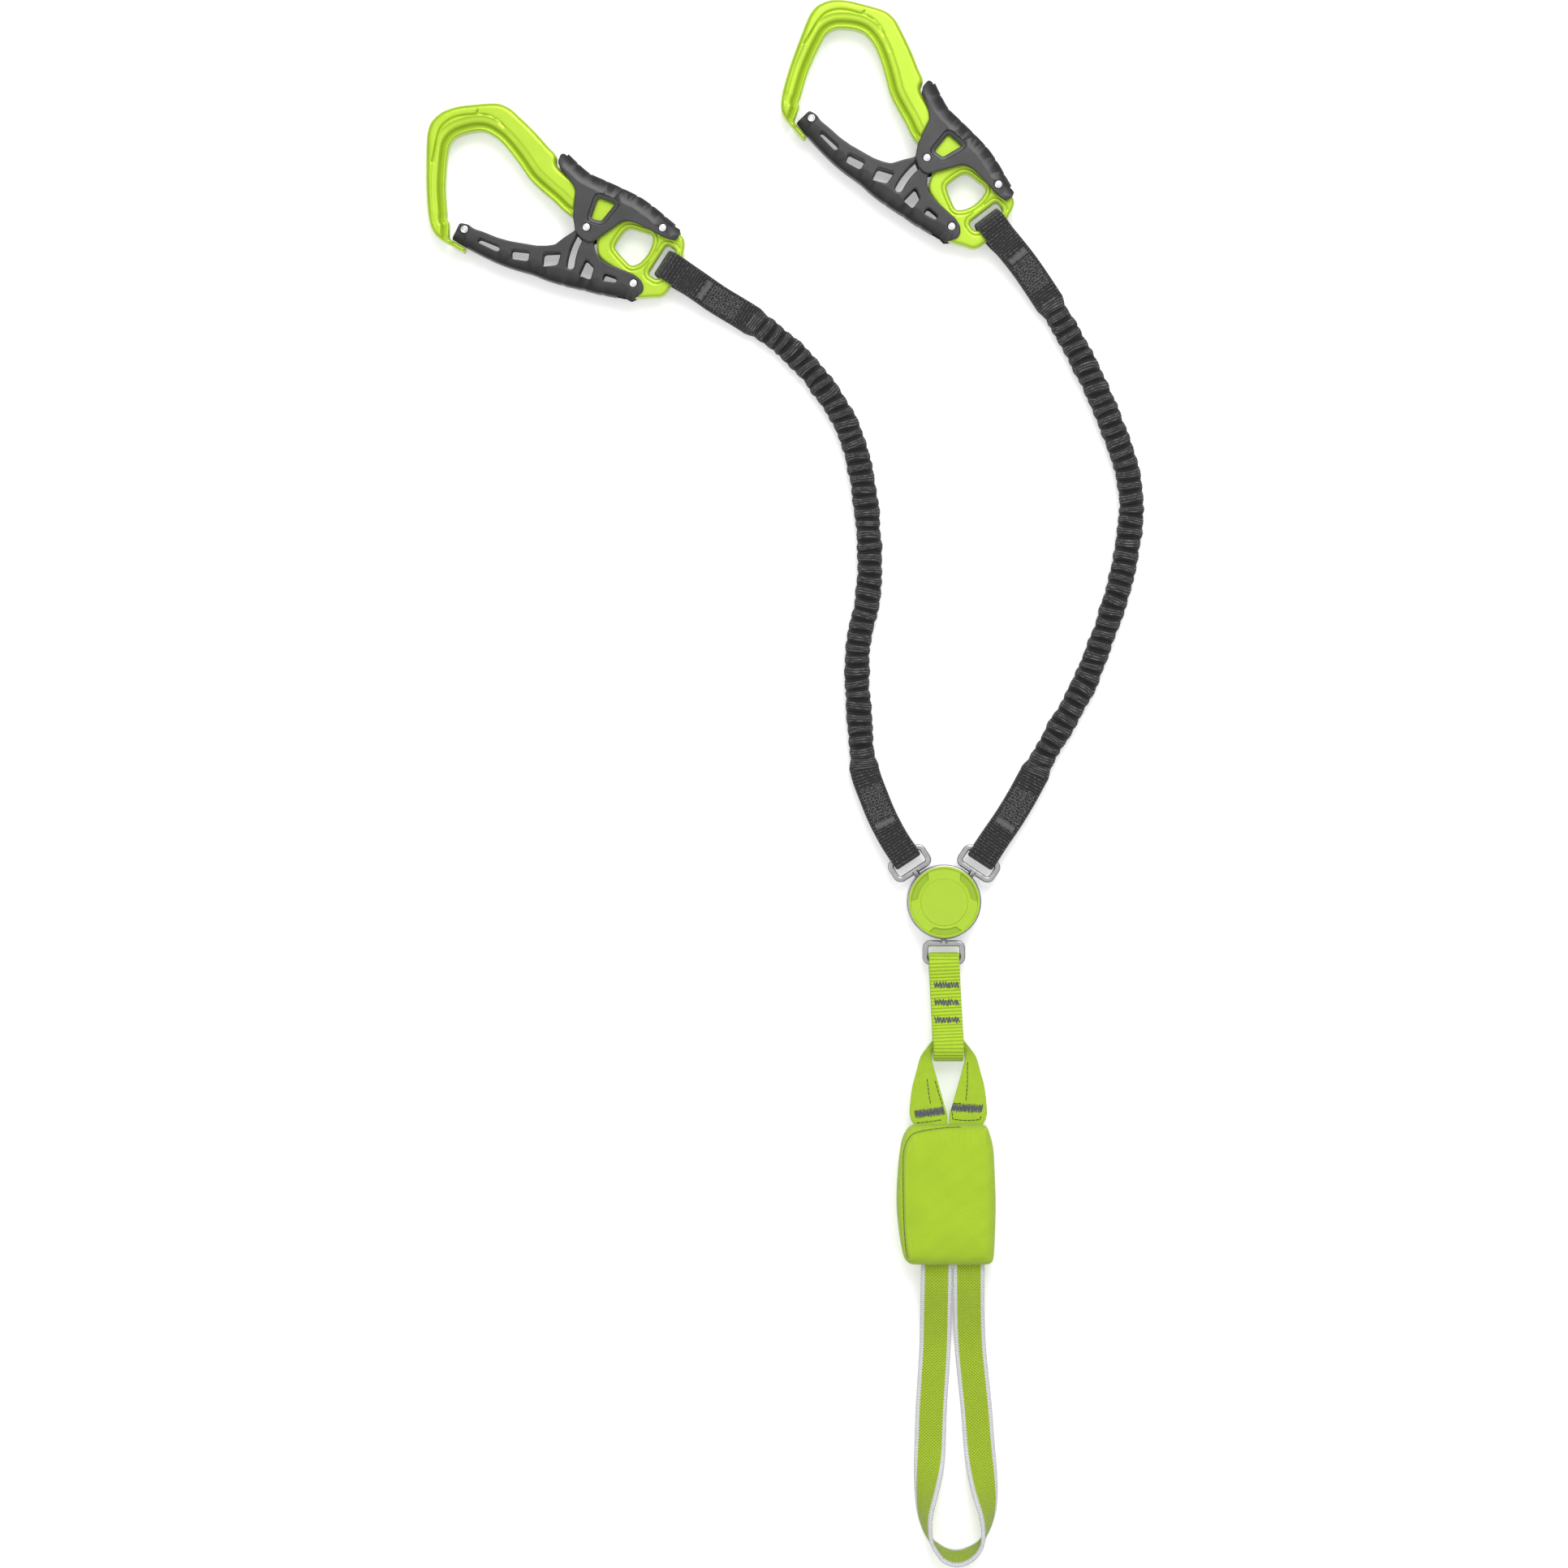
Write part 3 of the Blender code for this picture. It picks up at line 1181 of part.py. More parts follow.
def main():
    clear_scene()
    frames = {}
    for side, angle in ARM_LINK_ANGLES.items():
        offset = LINK_OFFSET if side == "left" else -LINK_OFFSET
        frames[side] = link_frame(f"link_{side}_axis", angle, offset)
    frames["lower"] = link_frame("link_lower_axis", LOWER_LINK_ANGLE, 0)
    for side, frame in frames.items():
        steel_link(f"link_{side}", frame)
    swivel(list(frames.values()))
    for side, shares in (("left", LEFT_ROUTE_SHARES), ("right", RIGHT_ROUTE_SHARES)):
        carabiner(side, arm(side, shares))
    top = Vector((0, -LINK_BAR_DISTANCE, SWIVEL_MID))
    eye = Vector((SLING_LEAN, top.y - SLING_SPAN, EYE_MID))
    pouch_top = eye.y - POUCH_TOP_DISTANCE
    middle = eye.x + POUCH_SHIFT
    sling(top, None)
    absorber_eye(eye, pouch_top, middle, None)
    pouch(pouch_top, middle, None, eye)
    tear_pack(pouch_top, middle, None, eye)
    tie_in_loop(pouch_top, middle, None, eye)


main()
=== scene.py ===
"""The looks of a via ferrata lanyard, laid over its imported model, in the form of a Blender add-on.

Lengths are in metres, +Z is up, and the swivel's centre is over the origin. Each operator makes one
piece or a group of like pieces. Surfaces are worked out as whole numpy arrays: a section carried
along a path, a profile turned about an axis, or a plate whose height follows the distance from its
edges.
"""

import math

import bpy
import numpy as np
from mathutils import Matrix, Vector
from mathutils.bvhtree import BVHTree
from mathutils.geometry import delaunay_2d_cdt


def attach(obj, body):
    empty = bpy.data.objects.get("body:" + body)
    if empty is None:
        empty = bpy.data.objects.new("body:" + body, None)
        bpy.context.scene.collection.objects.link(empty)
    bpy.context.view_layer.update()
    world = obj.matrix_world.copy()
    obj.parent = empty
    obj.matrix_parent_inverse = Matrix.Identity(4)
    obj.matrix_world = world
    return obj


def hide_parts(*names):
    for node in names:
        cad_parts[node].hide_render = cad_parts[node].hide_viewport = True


bl_info = {
    "name": "Via ferrata lanyard",
    "version": (1, 0, 0),
    "blender": (4, 5, 0),
    "location": "3D View > Sidebar > Lanyard",
    "description": "Builds the webbing, the pouch and the metalwork of a via ferrata lanyard",
    "category": "Object",
}

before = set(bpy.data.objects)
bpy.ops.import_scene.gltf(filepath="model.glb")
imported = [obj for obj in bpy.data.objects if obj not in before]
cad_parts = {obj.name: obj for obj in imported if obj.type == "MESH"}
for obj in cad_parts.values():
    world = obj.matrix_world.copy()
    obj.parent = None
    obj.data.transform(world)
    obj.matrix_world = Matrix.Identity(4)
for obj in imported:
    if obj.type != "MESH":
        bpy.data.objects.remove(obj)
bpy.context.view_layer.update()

# The sizes that the part's own source gives
GAP = 0.0003
SWIVEL_RADIUS = 0.01835
SWIVEL_THICKNESS = 0.014
SWIVEL_MID = SWIVEL_THICKNESS / 2
COVER_THICKNESS = 0.0017
COVER_RADIUS = 0.0181
LINK_WIDTH = 0.021
LINK_DEPTH = 0.012
LINK_BAR = 0.0027
LINK_EDGE = 0.0007
LINK_CORNER = 0.0032
LINK_DISTANCE = 0.02515
LINK_OFFSET = 0.0038
STEM_RADIUS = 0.0017
STEM_HEAD_RADIUS = 0.0029
STEM_HEAD_LENGTH = 0.002
STEM_HEAD_DISTANCE = 0.0125
LINK_ANGLES = {"left": math.radians(123.2), "right": math.radians(56.2), "lower": math.radians(-90)}
LINK_OFFSETS = {"left": LINK_OFFSET, "right": -LINK_OFFSET, "lower": 0.0}
LINK_BAR_DISTANCE = LINK_DISTANCE + (LINK_DEPTH - LINK_BAR) / 2
ARM_WIDTH = 0.0144
ARM_PLY = 0.0024
SWIVEL_END_REACH = 0.0485
CARABINER_END_REACH = 0.0465
PINCH_REACH = 0.014
SLOPE_START_SHARE = 0.2
SLEEVE_WIDTH = 0.0122
SLEEVE_THICKNESS = 0.009
SLEEVE_MID = SLEEVE_THICKNESS / 2
SLEEVE_LAP = 0.0012
CORE_WIDTH = 0.0072
CORE_THICKNESS = 0.0046
ARM_REACH = 0.333
ARM_ROUTE_SHARES = {
    "left": [
        (0, 0), (-0.015, 0.023), (-0.032, 0.055), (-0.046, 0.089), (-0.058, 0.123),
        (-0.063, 0.159), (-0.067, 0.213), (-0.070, 0.267), (-0.067, 0.321), (-0.055, 0.374),
        (-0.051, 0.428), (-0.053, 0.482), (-0.059, 0.536), (-0.069, 0.589), (-0.086, 0.639),
        (-0.113, 0.684), (-0.146, 0.726), (-0.186, 0.764), (-0.230, 0.795), (-0.277, 0.823),
        (-0.308, 0.844), (-0.325, 0.855), (-0.342, 0.866),
    ],
    "right": [
        (0, 0), (0.015, 0.023), (0.037, 0.055), (0.056, 0.086), (0.073, 0.117), (0.099, 0.165),
        (0.126, 0.211), (0.151, 0.259), (0.171, 0.310), (0.189, 0.360), (0.204, 0.412),
        (0.214, 0.465), (0.219, 0.519), (0.212, 0.573), (0.195, 0.624), (0.175, 0.674),
        (0.152, 0.723), (0.127, 0.770), (0.099, 0.817), (0.079, 0.847), (0.058, 0.876),
        (0.035, 0.904), (0.024, 0.916), (0.014, 0.929),
    ],
}
CARABINER_LENGTH = 0.1425
CARABINER_TURNS = {"left": math.radians(57.5), "right": math.radians(37.5)}
BOW_HALF = 0.0055
PLATE_HALF = 0.0038
PLATE_EDGE = 0.0016
SLOT_BAR_WIDTH = 0.007
SLOT_PLAY = 0.0030
SLOT_CORNER = 0.0018
STRAP_CENTRE_SHARE = 0.0144
FRAME_FOOT_SHARE = -0.4825
CHEEK = 0.0017
WEB = 0.0020
PIN_RADIUS = 0.0016
HEAD_RADIUS = 0.00195
HEAD_HEIGHT = 0.0006
LEVER_PRESS = math.radians(5)
GATE_PER_LEVER = -4.0
SLOT_EXTRA = 1.45
LEVER_PIVOT_SHARES = (0.112, -0.354)
GATE_PIVOT_SHARES = (-0.102, -0.370)
CROSS_PIN_SHARES = (-0.027, -0.131)
TIP_PIN_SHARES = (-0.258, 0.221)
SPRING_SHARES = (0.092, -0.007)
SPRING_RADIUS = 0.0018
SPRING_WIRE = 0.0005
SPRING_POCKET = 0.005
SPRING_RUN = 0.00903
SPRING_TURNS = 5.5
BOW_SHARES = [
    (-0.325, 0.180), (-0.328, 0.232), (-0.329, 0.281), (-0.325, 0.302), (-0.311, 0.326),
    (-0.281, 0.356), (-0.211, 0.408), (-0.140, 0.454), (-0.073, 0.495), (-0.042, 0.511),
    (-0.009, 0.519), (0.019, 0.515), (0.049, 0.503), (0.086, 0.473), (0.122, 0.430),
    (0.159, 0.381), (0.175, 0.351), (0.180, 0.314), (0.174, 0.274), (0.159, 0.201),
    (0.140, 0.133), (0.128, 0.091), (0.102, 0.072), (0.093, 0.035), (0.091, -0.032),
    (-0.021, -0.076), (-0.018, -0.031), (-0.009, 0.012), (-0.003, 0.055), (0.004, 0.098),
    (0.013, 0.133), (0.034, 0.182), (0.055, 0.238), (0.067, 0.281), (0.070, 0.311),
    (0.067, 0.342), (0.055, 0.366), (0.034, 0.390), (0.004, 0.414), (-0.018, 0.422),
    (-0.042, 0.421), (-0.073, 0.408), (-0.121, 0.384), (-0.177, 0.351), (-0.244, 0.302),
    (-0.260, 0.293), (-0.265, 0.280), (-0.305, 0.255), (-0.310, 0.247), (-0.310, 0.181),
]
BOW_INNER = slice(25, 48)  # the points of that outline that run along the basket
PLATE_SHARES = [
    (0.007, -0.007), (0.083, 0.018), (0.086, -0.028), (0.092, -0.056), (0.100, -0.140),
    (0.114, -0.232), (0.122, -0.295), (0.129, -0.351), (0.131, -0.393), (0.128, -0.421),
    (0.121, -0.436), (0.104, -0.448), (0.079, -0.459), (0.056, -0.473), (0.032, -0.4825),
    (-0.033, -0.4825), (-0.073, -0.481), (-0.090, -0.472), (-0.109, -0.444), (-0.138, -0.404),
    (-0.142, -0.375), (-0.131, -0.342), (-0.105, -0.317), (-0.095, -0.281), (-0.091, -0.235),
    (-0.081, -0.211), (-0.058, -0.192), (-0.029, -0.174), (-0.011, -0.154), (-0.006, -0.131),
    (-0.008, -0.105), (-0.018, -0.082), (-0.013, -0.056),
]
WINDOW_SHARES = [
    (-0.033, -0.253), (-0.024, -0.246), (0.006, -0.244), (0.040, -0.248), (0.055, -0.260),
    (0.065, -0.293), (0.074, -0.330), (0.067, -0.342), (0.043, -0.352), (0.006, -0.356),
    (-0.030, -0.348), (-0.049, -0.335), (-0.053, -0.324), (-0.042, -0.278),
]
LEVER_GRIP_SHARES = [
    (0.147, 0.081), (0.160, 0.075), (0.149, 0.024), (0.140, -0.037), (0.149, -0.104),
    (0.159, -0.178), (0.164, -0.232), (0.161, -0.293), (0.153, -0.354), (0.147, -0.403),
]
LEVER_INNER_SHARES = [
    (0.126, -0.417), (0.101, -0.415), (0.092, -0.397), (0.086, -0.354), (0.083, -0.305),
    (0.076, -0.262), (0.065, -0.232), (0.049, -0.220), (-0.055, -0.178), (-0.067, -0.165),
    (-0.068, -0.135), (-0.058, -0.104), (-0.036, -0.086), (-0.024, -0.074), (0.019, -0.052),
    (0.061, -0.031), (0.076, -0.006), (0.092, 0.036), (0.101, 0.061), (0.110, 0.073),
]
LEVER_HOLE_SHARES = [(0.008, -0.128), (0.083, -0.110), (0.097, -0.171), (0.019, -0.162)]
LEVER_WEB_SHARES = (-0.386, 0.060)
LEVER_GAP_SHARES = (0.012, -0.043, -0.102, -0.162, -0.222, -0.281, -0.338)
GATE_GRIP_SHARES = [
    (-0.307, 0.241), (-0.305, 0.177), (-0.299, 0.109), (-0.290, 0.048), (-0.277, -0.006),
    (-0.262, -0.055), (-0.250, -0.116), (-0.232, -0.178), (-0.213, -0.232), (-0.195, -0.287),
    (-0.171, -0.348), (-0.159, -0.391),
]
GATE_INNER_SHARES = [
    (-0.140, -0.404), (-0.109, -0.413), (-0.091, -0.406), (-0.077, -0.385), (-0.074, -0.354),
    (-0.082, -0.312), (-0.091, -0.262), (-0.091, -0.226), (-0.079, -0.201), (-0.061, -0.180),
    (-0.032, -0.168), (-0.006, -0.157), (0.006, -0.137), (0.002, -0.114), (-0.021, -0.103),
    (-0.058, -0.101), (-0.098, -0.083), (-0.134, -0.070), (-0.152, -0.049), (-0.171, -0.019),
    (-0.189, 0.024), (-0.207, 0.067), (-0.220, 0.109), (-0.229, 0.159), (-0.238, 0.195),
    (-0.236, 0.220), (-0.247, 0.247),
]
GATE_WEB_SHARES = (-0.345, 0.300)
GATE_HOLE_SHARES = [
    [(-0.271, 0.164), (-0.255, 0.164), (-0.241, 0.090), (-0.254, 0.079), (-0.262, 0.088)],
    [(-0.256, 0.030), (-0.229, 0.048), (-0.201, -0.009), (-0.232, -0.023)],
    [(-0.222, -0.074), (-0.180, -0.053), (-0.145, -0.102), (-0.189, -0.116)],
    [(-0.180, -0.196), (-0.119, -0.187), (-0.128, -0.226), (-0.171, -0.239)],
    [(-0.152, -0.275), (-0.126, -0.267), (-0.116, -0.311), (-0.131, -0.320)],
]
SLING_WIDTH = 0.0150
SLING_PLY = 0.00195
SLING_SPAN = 0.0407
SLING_LEAN = 0.0021
SLING_PINCH_REACH = 0.012
EYE_BAR_WIDTH = 0.0060
EYE_BAR_THICKNESS = 0.0050
EYE_SIDE_PLAY = 0.0004
EYE_LEG_WIDTH = 0.0168
EYE_LEG_THICKNESS = 0.0022
EYE_LEG_PLAY = 0.0008
EYE_MOUTH_SHIFT = 0.0010
EYE_SPREAD_SHARE = 0.5
EYE_SHOULDER_SHARES = [
    (-0.018, 0.077, -0.018, -0.077), (-0.003, 0.082, 0.036, -0.010), (0.000, 0.095, 0.090, 0.060),
    (0.001, 0.130, 0.137, 0.125), (0.002, 0.200, 0.168, 0.200),
]
EYE_LEG_SHARES = [
    (0.285, 0.183, 0.394), (0.370, 0.160, 0.417), (0.500, 0.122, 0.452), (0.630, 0.085, 0.473),
    (0.760, 0.049, 0.486), (0.870, 0.0155, 0.490), (0.950, 0.0104, 0.470),
]
POUCH_LENGTH = 0.0688
POUCH_THICKNESS = 0.024
POUCH_TOP_DISTANCE = 0.0388
POUCH_SHIFT = -0.0011
POUCH_WALL = 0.0010
POUCH_SHARES = [
    (-0.259, -0.012), (-0.310, -0.086), (-0.334, -0.209), (-0.352, -0.413), (-0.355, -0.587),
    (-0.337, -0.776), (-0.308, -0.936), (-0.281, -0.984), (-0.240, -1.000), (0.298, -1.000),
    (0.331, -0.983), (0.340, -0.936), (0.349, -0.733), (0.352, -0.558), (0.346, -0.369),
    (0.337, -0.180), (0.317, -0.086), (0.288, -0.015), (0.247, 0.000), (-0.218, 0.000),
]
PACK_PLIES = 7
PACK_PLY = 0.0024
PACK_PLY_GAP = 0.0005
PACK_WIDTH = 0.030
PACK_INSET = 0.009
LOOP_WIDTH = 0.0154
LOOP_PLY = 0.0020
LOOP_LENGTH = 0.149
LOOP_SHIFT = 0.0032
LOOP_SETTLE = 0.045
LOOP_BEND_ROLL = math.radians(110)
LOOP_ROUTE_SHARES = [
    (-0.053, 0.050, 0), (-0.053, 0, 0), (-0.0545, -0.134, 0), (-0.056, -0.282, 0),
    (-0.068, -0.480, 0), (-0.073, -0.614, 0.03), (-0.077, -0.681, 0.20), (-0.084, -0.748, 0.38),
    (-0.090, -0.815, 0.56), (-0.089, -0.849, 0.64), (-0.083, -0.883, 0.71),
    (-0.0725, -0.916, 0.79), (-0.048, -0.946, 0.89), (-0.0215, -0.968, 0.97),
    (0.0154, -0.9765, 1), (0.052, -0.966, 0.97), (0.083, -0.943, 0.88), (0.101, -0.916, 0.79),
    (0.110, -0.883, 0.69), (0.114, -0.849, 0.59), (0.114, -0.815, 0.49), (0.106, -0.748, 0.28),
    (0.098, -0.681, 0.12), (0.091, -0.614, 0.02), (0.0805, -0.480, 0), (0.061, -0.282, 0),
    (0.0545, -0.134, 0), (0.053, 0, 0), (0.053, 0.050, 0),
]

# Worked out from the sizes above
GATE_HALF_INNER = PLATE_HALF + GAP
GATE_HALF = GATE_HALF_INNER + CHEEK
LEVER_HALF_INNER = GATE_HALF + GAP
LEVER_HALF = LEVER_HALF_INNER + CHEEK
CARABINER_MID = LEVER_HALF + GAP + HEAD_HEIGHT


def corner_reach(half_width, half_height, edge):
    """How far the corners of a bar with chamfered edges lie from its middle."""
    return max(math.hypot(half_width, half_height - edge), math.hypot(half_width - edge, half_height))


LINK_EYE = corner_reach(LINK_BAR / 2, LINK_BAR / 2, LINK_EDGE) + GAP
SLOT_EYE = corner_reach(SLOT_BAR_WIDTH / 2, PLATE_HALF, PLATE_EDGE) + GAP
EYE_FOLD = math.hypot(EYE_BAR_WIDTH, EYE_BAR_THICKNESS) / 2 * math.cos(math.pi / 8) + GAP
SLING_STEP = SLING_PLY + GAP
EYE_MID = EYE_FOLD + SLING_STEP + SLING_PLY + GAP
SLING_TOP = np.array([0.0, -LINK_BAR_DISTANCE, SWIVEL_MID])
EYE_PLACE = np.array([SLING_LEAN, SLING_TOP[1] - SLING_SPAN, EYE_MID])
POUCH_TOP = EYE_PLACE[1] - POUCH_TOP_DISTANCE
POUCH_FOOT = POUCH_TOP - POUCH_LENGTH
POUCH_MIDDLE = EYE_PLACE[0] + POUCH_SHIFT

# Sizes that only the scene has
SHARP_ANGLE = math.radians(50)  # faces that meet at more than this show an edge
SPRING_INNER = 0.00085  # the radii of the coil's halves
SPRING_OUTER = 0.0014
SHELL_LEAST = 0.0002  # the least wall of a gate or lever over its channel
SHELL_REACH = 0.0007
GATE_HOLE_FILLET = 0.0013
LEVER_HOLE_FILLET = 0.0012
GATE_NOTCH_SHARES = (-0.165, -0.235, -0.300, -0.360)
GATE_NOTCH = (0.0005, 0.0009)  # a notch's depth and half its width
LEVER_NOTCH = (0.0008, 0.00055)
POUCH_VOXEL = 0.0022  # the pouch's filling: the size of its faces, the pressure, and the most swell
POUCH_PRESSURE = 4.0
POUCH_SWELL = 0.0016
POUCH_PUCKER_PITCH = 0.0032
# How the bow's face falls towards the basket: how far, from what distance, and over what reach
BOW_FALLS = ((0.00024, 0.0067, 0.0004), (0.0019, 0.0020, 0.0026), (-0.0007, 0.0011, 0.0009))
BOW_GROOVE_WIDTH = 0.00030
TOP_GROOVE_DEPTH = 0.00060
SPINE_GROOVE_DEPTH = 0.00045
PLATE_GROOVE_DEPTH = 0.00030
PLATE_GROOVE_WIDTH = 0.00028
# The distances beside a line at which a plate gets closer points
BESIDE_GROOVE = np.array([-0.0008, -0.0004, -0.0002, 0.0, 0.0002, 0.0004, 0.0008])
BESIDE_BASKET = np.array([
    0.0015, 0.0021, 0.0027, 0.0033, 0.0039, 0.0046, 0.0055, 0.0067, 0.0069, 0.0071, 0.0076,
])
BESIDE_HOLE = np.array([0.0020, 0.0022, 0.0024, 0.0026, 0.0028])
BESIDE_LEVER_HOLE = np.array([0.0012, 0.0017, 0.0019, 0.0021, 0.0023, 0.0026])
BESIDE_GRIP = np.array([
    0.0006, 0.0012, 0.0018, 0.0025, 0.0032, 0.0040, 0.0048, 0.0051, 0.0054, 0.0057, 0.0060, 0.0063,
])

# Sewing: the step of a laid path, a tack's pitch and unevenness, how far a thread stands over its
# cloth, and a stitch's length and space
STRAP_STITCH_STEP = 0.0007
STRAP_THREAD = 0.00030
STRAP_THREAD_LIFT = 0.00002
TACK_STEP = 0.0006
SLING_TACK_PITCH = 0.0013
SLING_TACK_SLACK = 0.3
SLING_THREAD_LIFT = 0.0001
EYE_TACK_PITCH = 0.0008
EYE_TACK_SLACK = 0.25
EYE_TACK_LIFT = 0.00012
EYE_STITCH = (0.0016, 0.0005)
EYE_SEAM_LIFT = 0.00008
POUCH_STITCH = (0.0024, 0.0003)
POUCH_SEAM_LIFT = 0.00004

# Seeds of the random draws
GATHER_SEED = 11
STITCH_SEED = 31
EYE_TACK_SEED = 40

UP = np.array([0.0, 0.0, 1.0])
LEVEL = np.array([[1.0, 0.0, 0.0]])

# Where the camera stands, and what it sees across at the floor
CAMERA_PLACE = (-0.0788, 0.0580)
CAMERA_WIDTH = 0.7755
CAMERA_LENS = 100.0
CAMERA_SENSOR = 36.0

# The stage: the floor, the sky's strength from one height to another, and each lamp's place, size
# and power
FLOOR_REACH = 6.0
FLOOR_HEIGHT = -0.0002
SKY_RISE = (0.20, 0.95, 0.10, 1.05)
LAMPS = (("key", (0.25, 1.45, 1.9), 1.3, 26.0), ("fill", (-1.4, -0.2, 1.8), 1.6, 4.0))
LAMP_TARGET = (-0.07, 0.06, 0)

# Seams and tacks read off the photograph, in metres in plan
SLING_TACKS = [(0.0010, -0.0408), (0.0012, -0.0494), (0.0014, -0.0580)]
SLING_TACK_SIZE = (0.0120, 0.0030)
TACK_REACH = (0.0168, 0.0204)
FIELD_END = 0.0375
EYE_TACKS = [((-0.0145, -0.1045), (0.0000, -0.1024)), ((0.0032, -0.1010), (0.0188, -0.1016))]
EYE_TACK_HEIGHT = 0.0038
EYE_SEAMS = [
    [(-0.0085, -0.0870), (-0.0075, -0.0950), (-0.0065, -0.1010)],
    [(-0.0045, -0.0880), (-0.0022, -0.0960), (-0.0004, -0.1010)],
    [(-0.0136, -0.1087), (-0.0060, -0.1078), (-0.0010, -0.1070)],
    [(0.0115, -0.0790), (0.0113, -0.0900), (0.0105, -0.0985)],
    [(0.0062, -0.0900), (0.0042, -0.0965), (0.0036, -0.1000)],
    [(0.0045, -0.0990), (0.0105, -0.0990)],
    [(0.0038, -0.1035), (0.0042, -0.1068), (0.0110, -0.1074), (0.0176, -0.1070), (0.0186, -0.1035)],
]
POUCH_SEAM = [
    (-0.0180, -0.1745), (-0.0190, -0.1700), (-0.0198, -0.1600), (-0.0203, -0.1450),
    (-0.0204, -0.1300), (-0.0200, -0.1220), (-0.0184, -0.1170), (-0.0158, -0.1138),
    (-0.0120, -0.1124), (-0.0060, -0.1114), (0.0010, -0.1106), (0.0090, -0.1102),
]

# Colours beside the panel's: painted edge highlights, and the darkest and lightest of a pattern
EDGE_HIGHLIGHT_GREEN = (0.80, 0.95, 0.35)
EDGE_HIGHLIGHT_GREY = (0.16, 0.16, 0.165)
BRIGHT_STEEL = ((0.62, 0.62, 0.63), (0.86, 0.86, 0.87))
UNDYED_YARN = ((0.62, 0.62, 0.57), (0.84, 0.84, 0.80))
RUBBER_STRANDS = ((0.34, 0.32, 0.27), (0.54, 0.52, 0.46))


def length_property(name, description, default):
    return bpy.props.FloatProperty(name=name, description=description, default=default, unit="LENGTH")


def colour_property(name, description, default):
    return bpy.props.FloatVectorProperty(
        name=name, description=description, default=default, subtype="COLOR", size=3, min=0, max=1
    )


class LanyardSizes(bpy.types.PropertyGroup):
    """Sizes of the fine detail on the lanyard."""

    ruche_pitch: length_property("Ruche pitch", "From one gather of an arm to the next", 0.0057)
    ruche_depth: length_property("Ruche depth", "How far the gathers draw in", 0.0019)
    thread: length_property("Thread", "Thickness of the sewing thread", 0.00042)
    black_rib: length_property("Black rib", "Pitch of the ribs across the black webbing", 0.0015)
    green_rib: length_property("Green rib", "Pitch of the ribs across the green sling", 0.0017)
    loop_cell: length_property("Loop cell", "Length of one cell of the tie-in loop's weave", 0.0015)
    cloth_cell: length_property("Cloth cell", "Pitch of the pouch cloth's weave", 0.00085)
    white_edge: length_property("White edge", "Width of the tie-in loop's white selvedges", 0.0019)


class LanyardColours(bpy.types.PropertyGroup):
    """Colours of the lanyard's finishes, linear."""

    anodised_green: colour_property("Anodised green", "Carabiner frames", (0.43, 0.64, 0.026))
    cover_green: colour_property("Cover green", "Swivel cover", (0.43, 0.65, 0.020))
    webbing_green: colour_property("Webbing green", "Sling and absorber eye", (0.52, 0.78, 0.026))
    loop_green: colour_property("Loop green", "Tie-in loop", (0.44, 0.63, 0.020))
    pouch_green: colour_property("Pouch green", "Pouch cloth", (0.50, 0.74, 0.022))
    selvedge_white: colour_property("Selvedge white", "Edges of the tie-in loop", (0.82, 0.82, 0.85))
    webbing_black: colour_property("Webbing black", "Arms", (0.016, 0.016, 0.017))
    tracer_grey: colour_property("Tracer grey", "Light threads in the arms", (0.30, 0.30, 0.305))
    plastic_black: colour_property("Gate black", "Gates and levers", (0.018, 0.018, 0.0195))
    steel_grey: colour_property("Steel grey", "Links, swivel and springs", (0.38, 0.38, 0.39))
    thread_light: colour_property("Thread light", "Sewing on the black webbing", (0.15, 0.15, 0.155))
    thread_grey: colour_property("Thread grey", "Tacks on the green webbing", (0.10, 0.10, 0.13))
    thread_dark: colour_property("Thread dark", "Seams on the green webbing", (0.035, 0.045, 0.02))
    floor_white: colour_property("Floor", "Floor under the lanyard", (0.90, 0.90, 0.90))


def sizes():
    return bpy.context.scene.lanyard_sizes


def colours():
    return bpy.context.scene.lanyard_colours


# Finishes


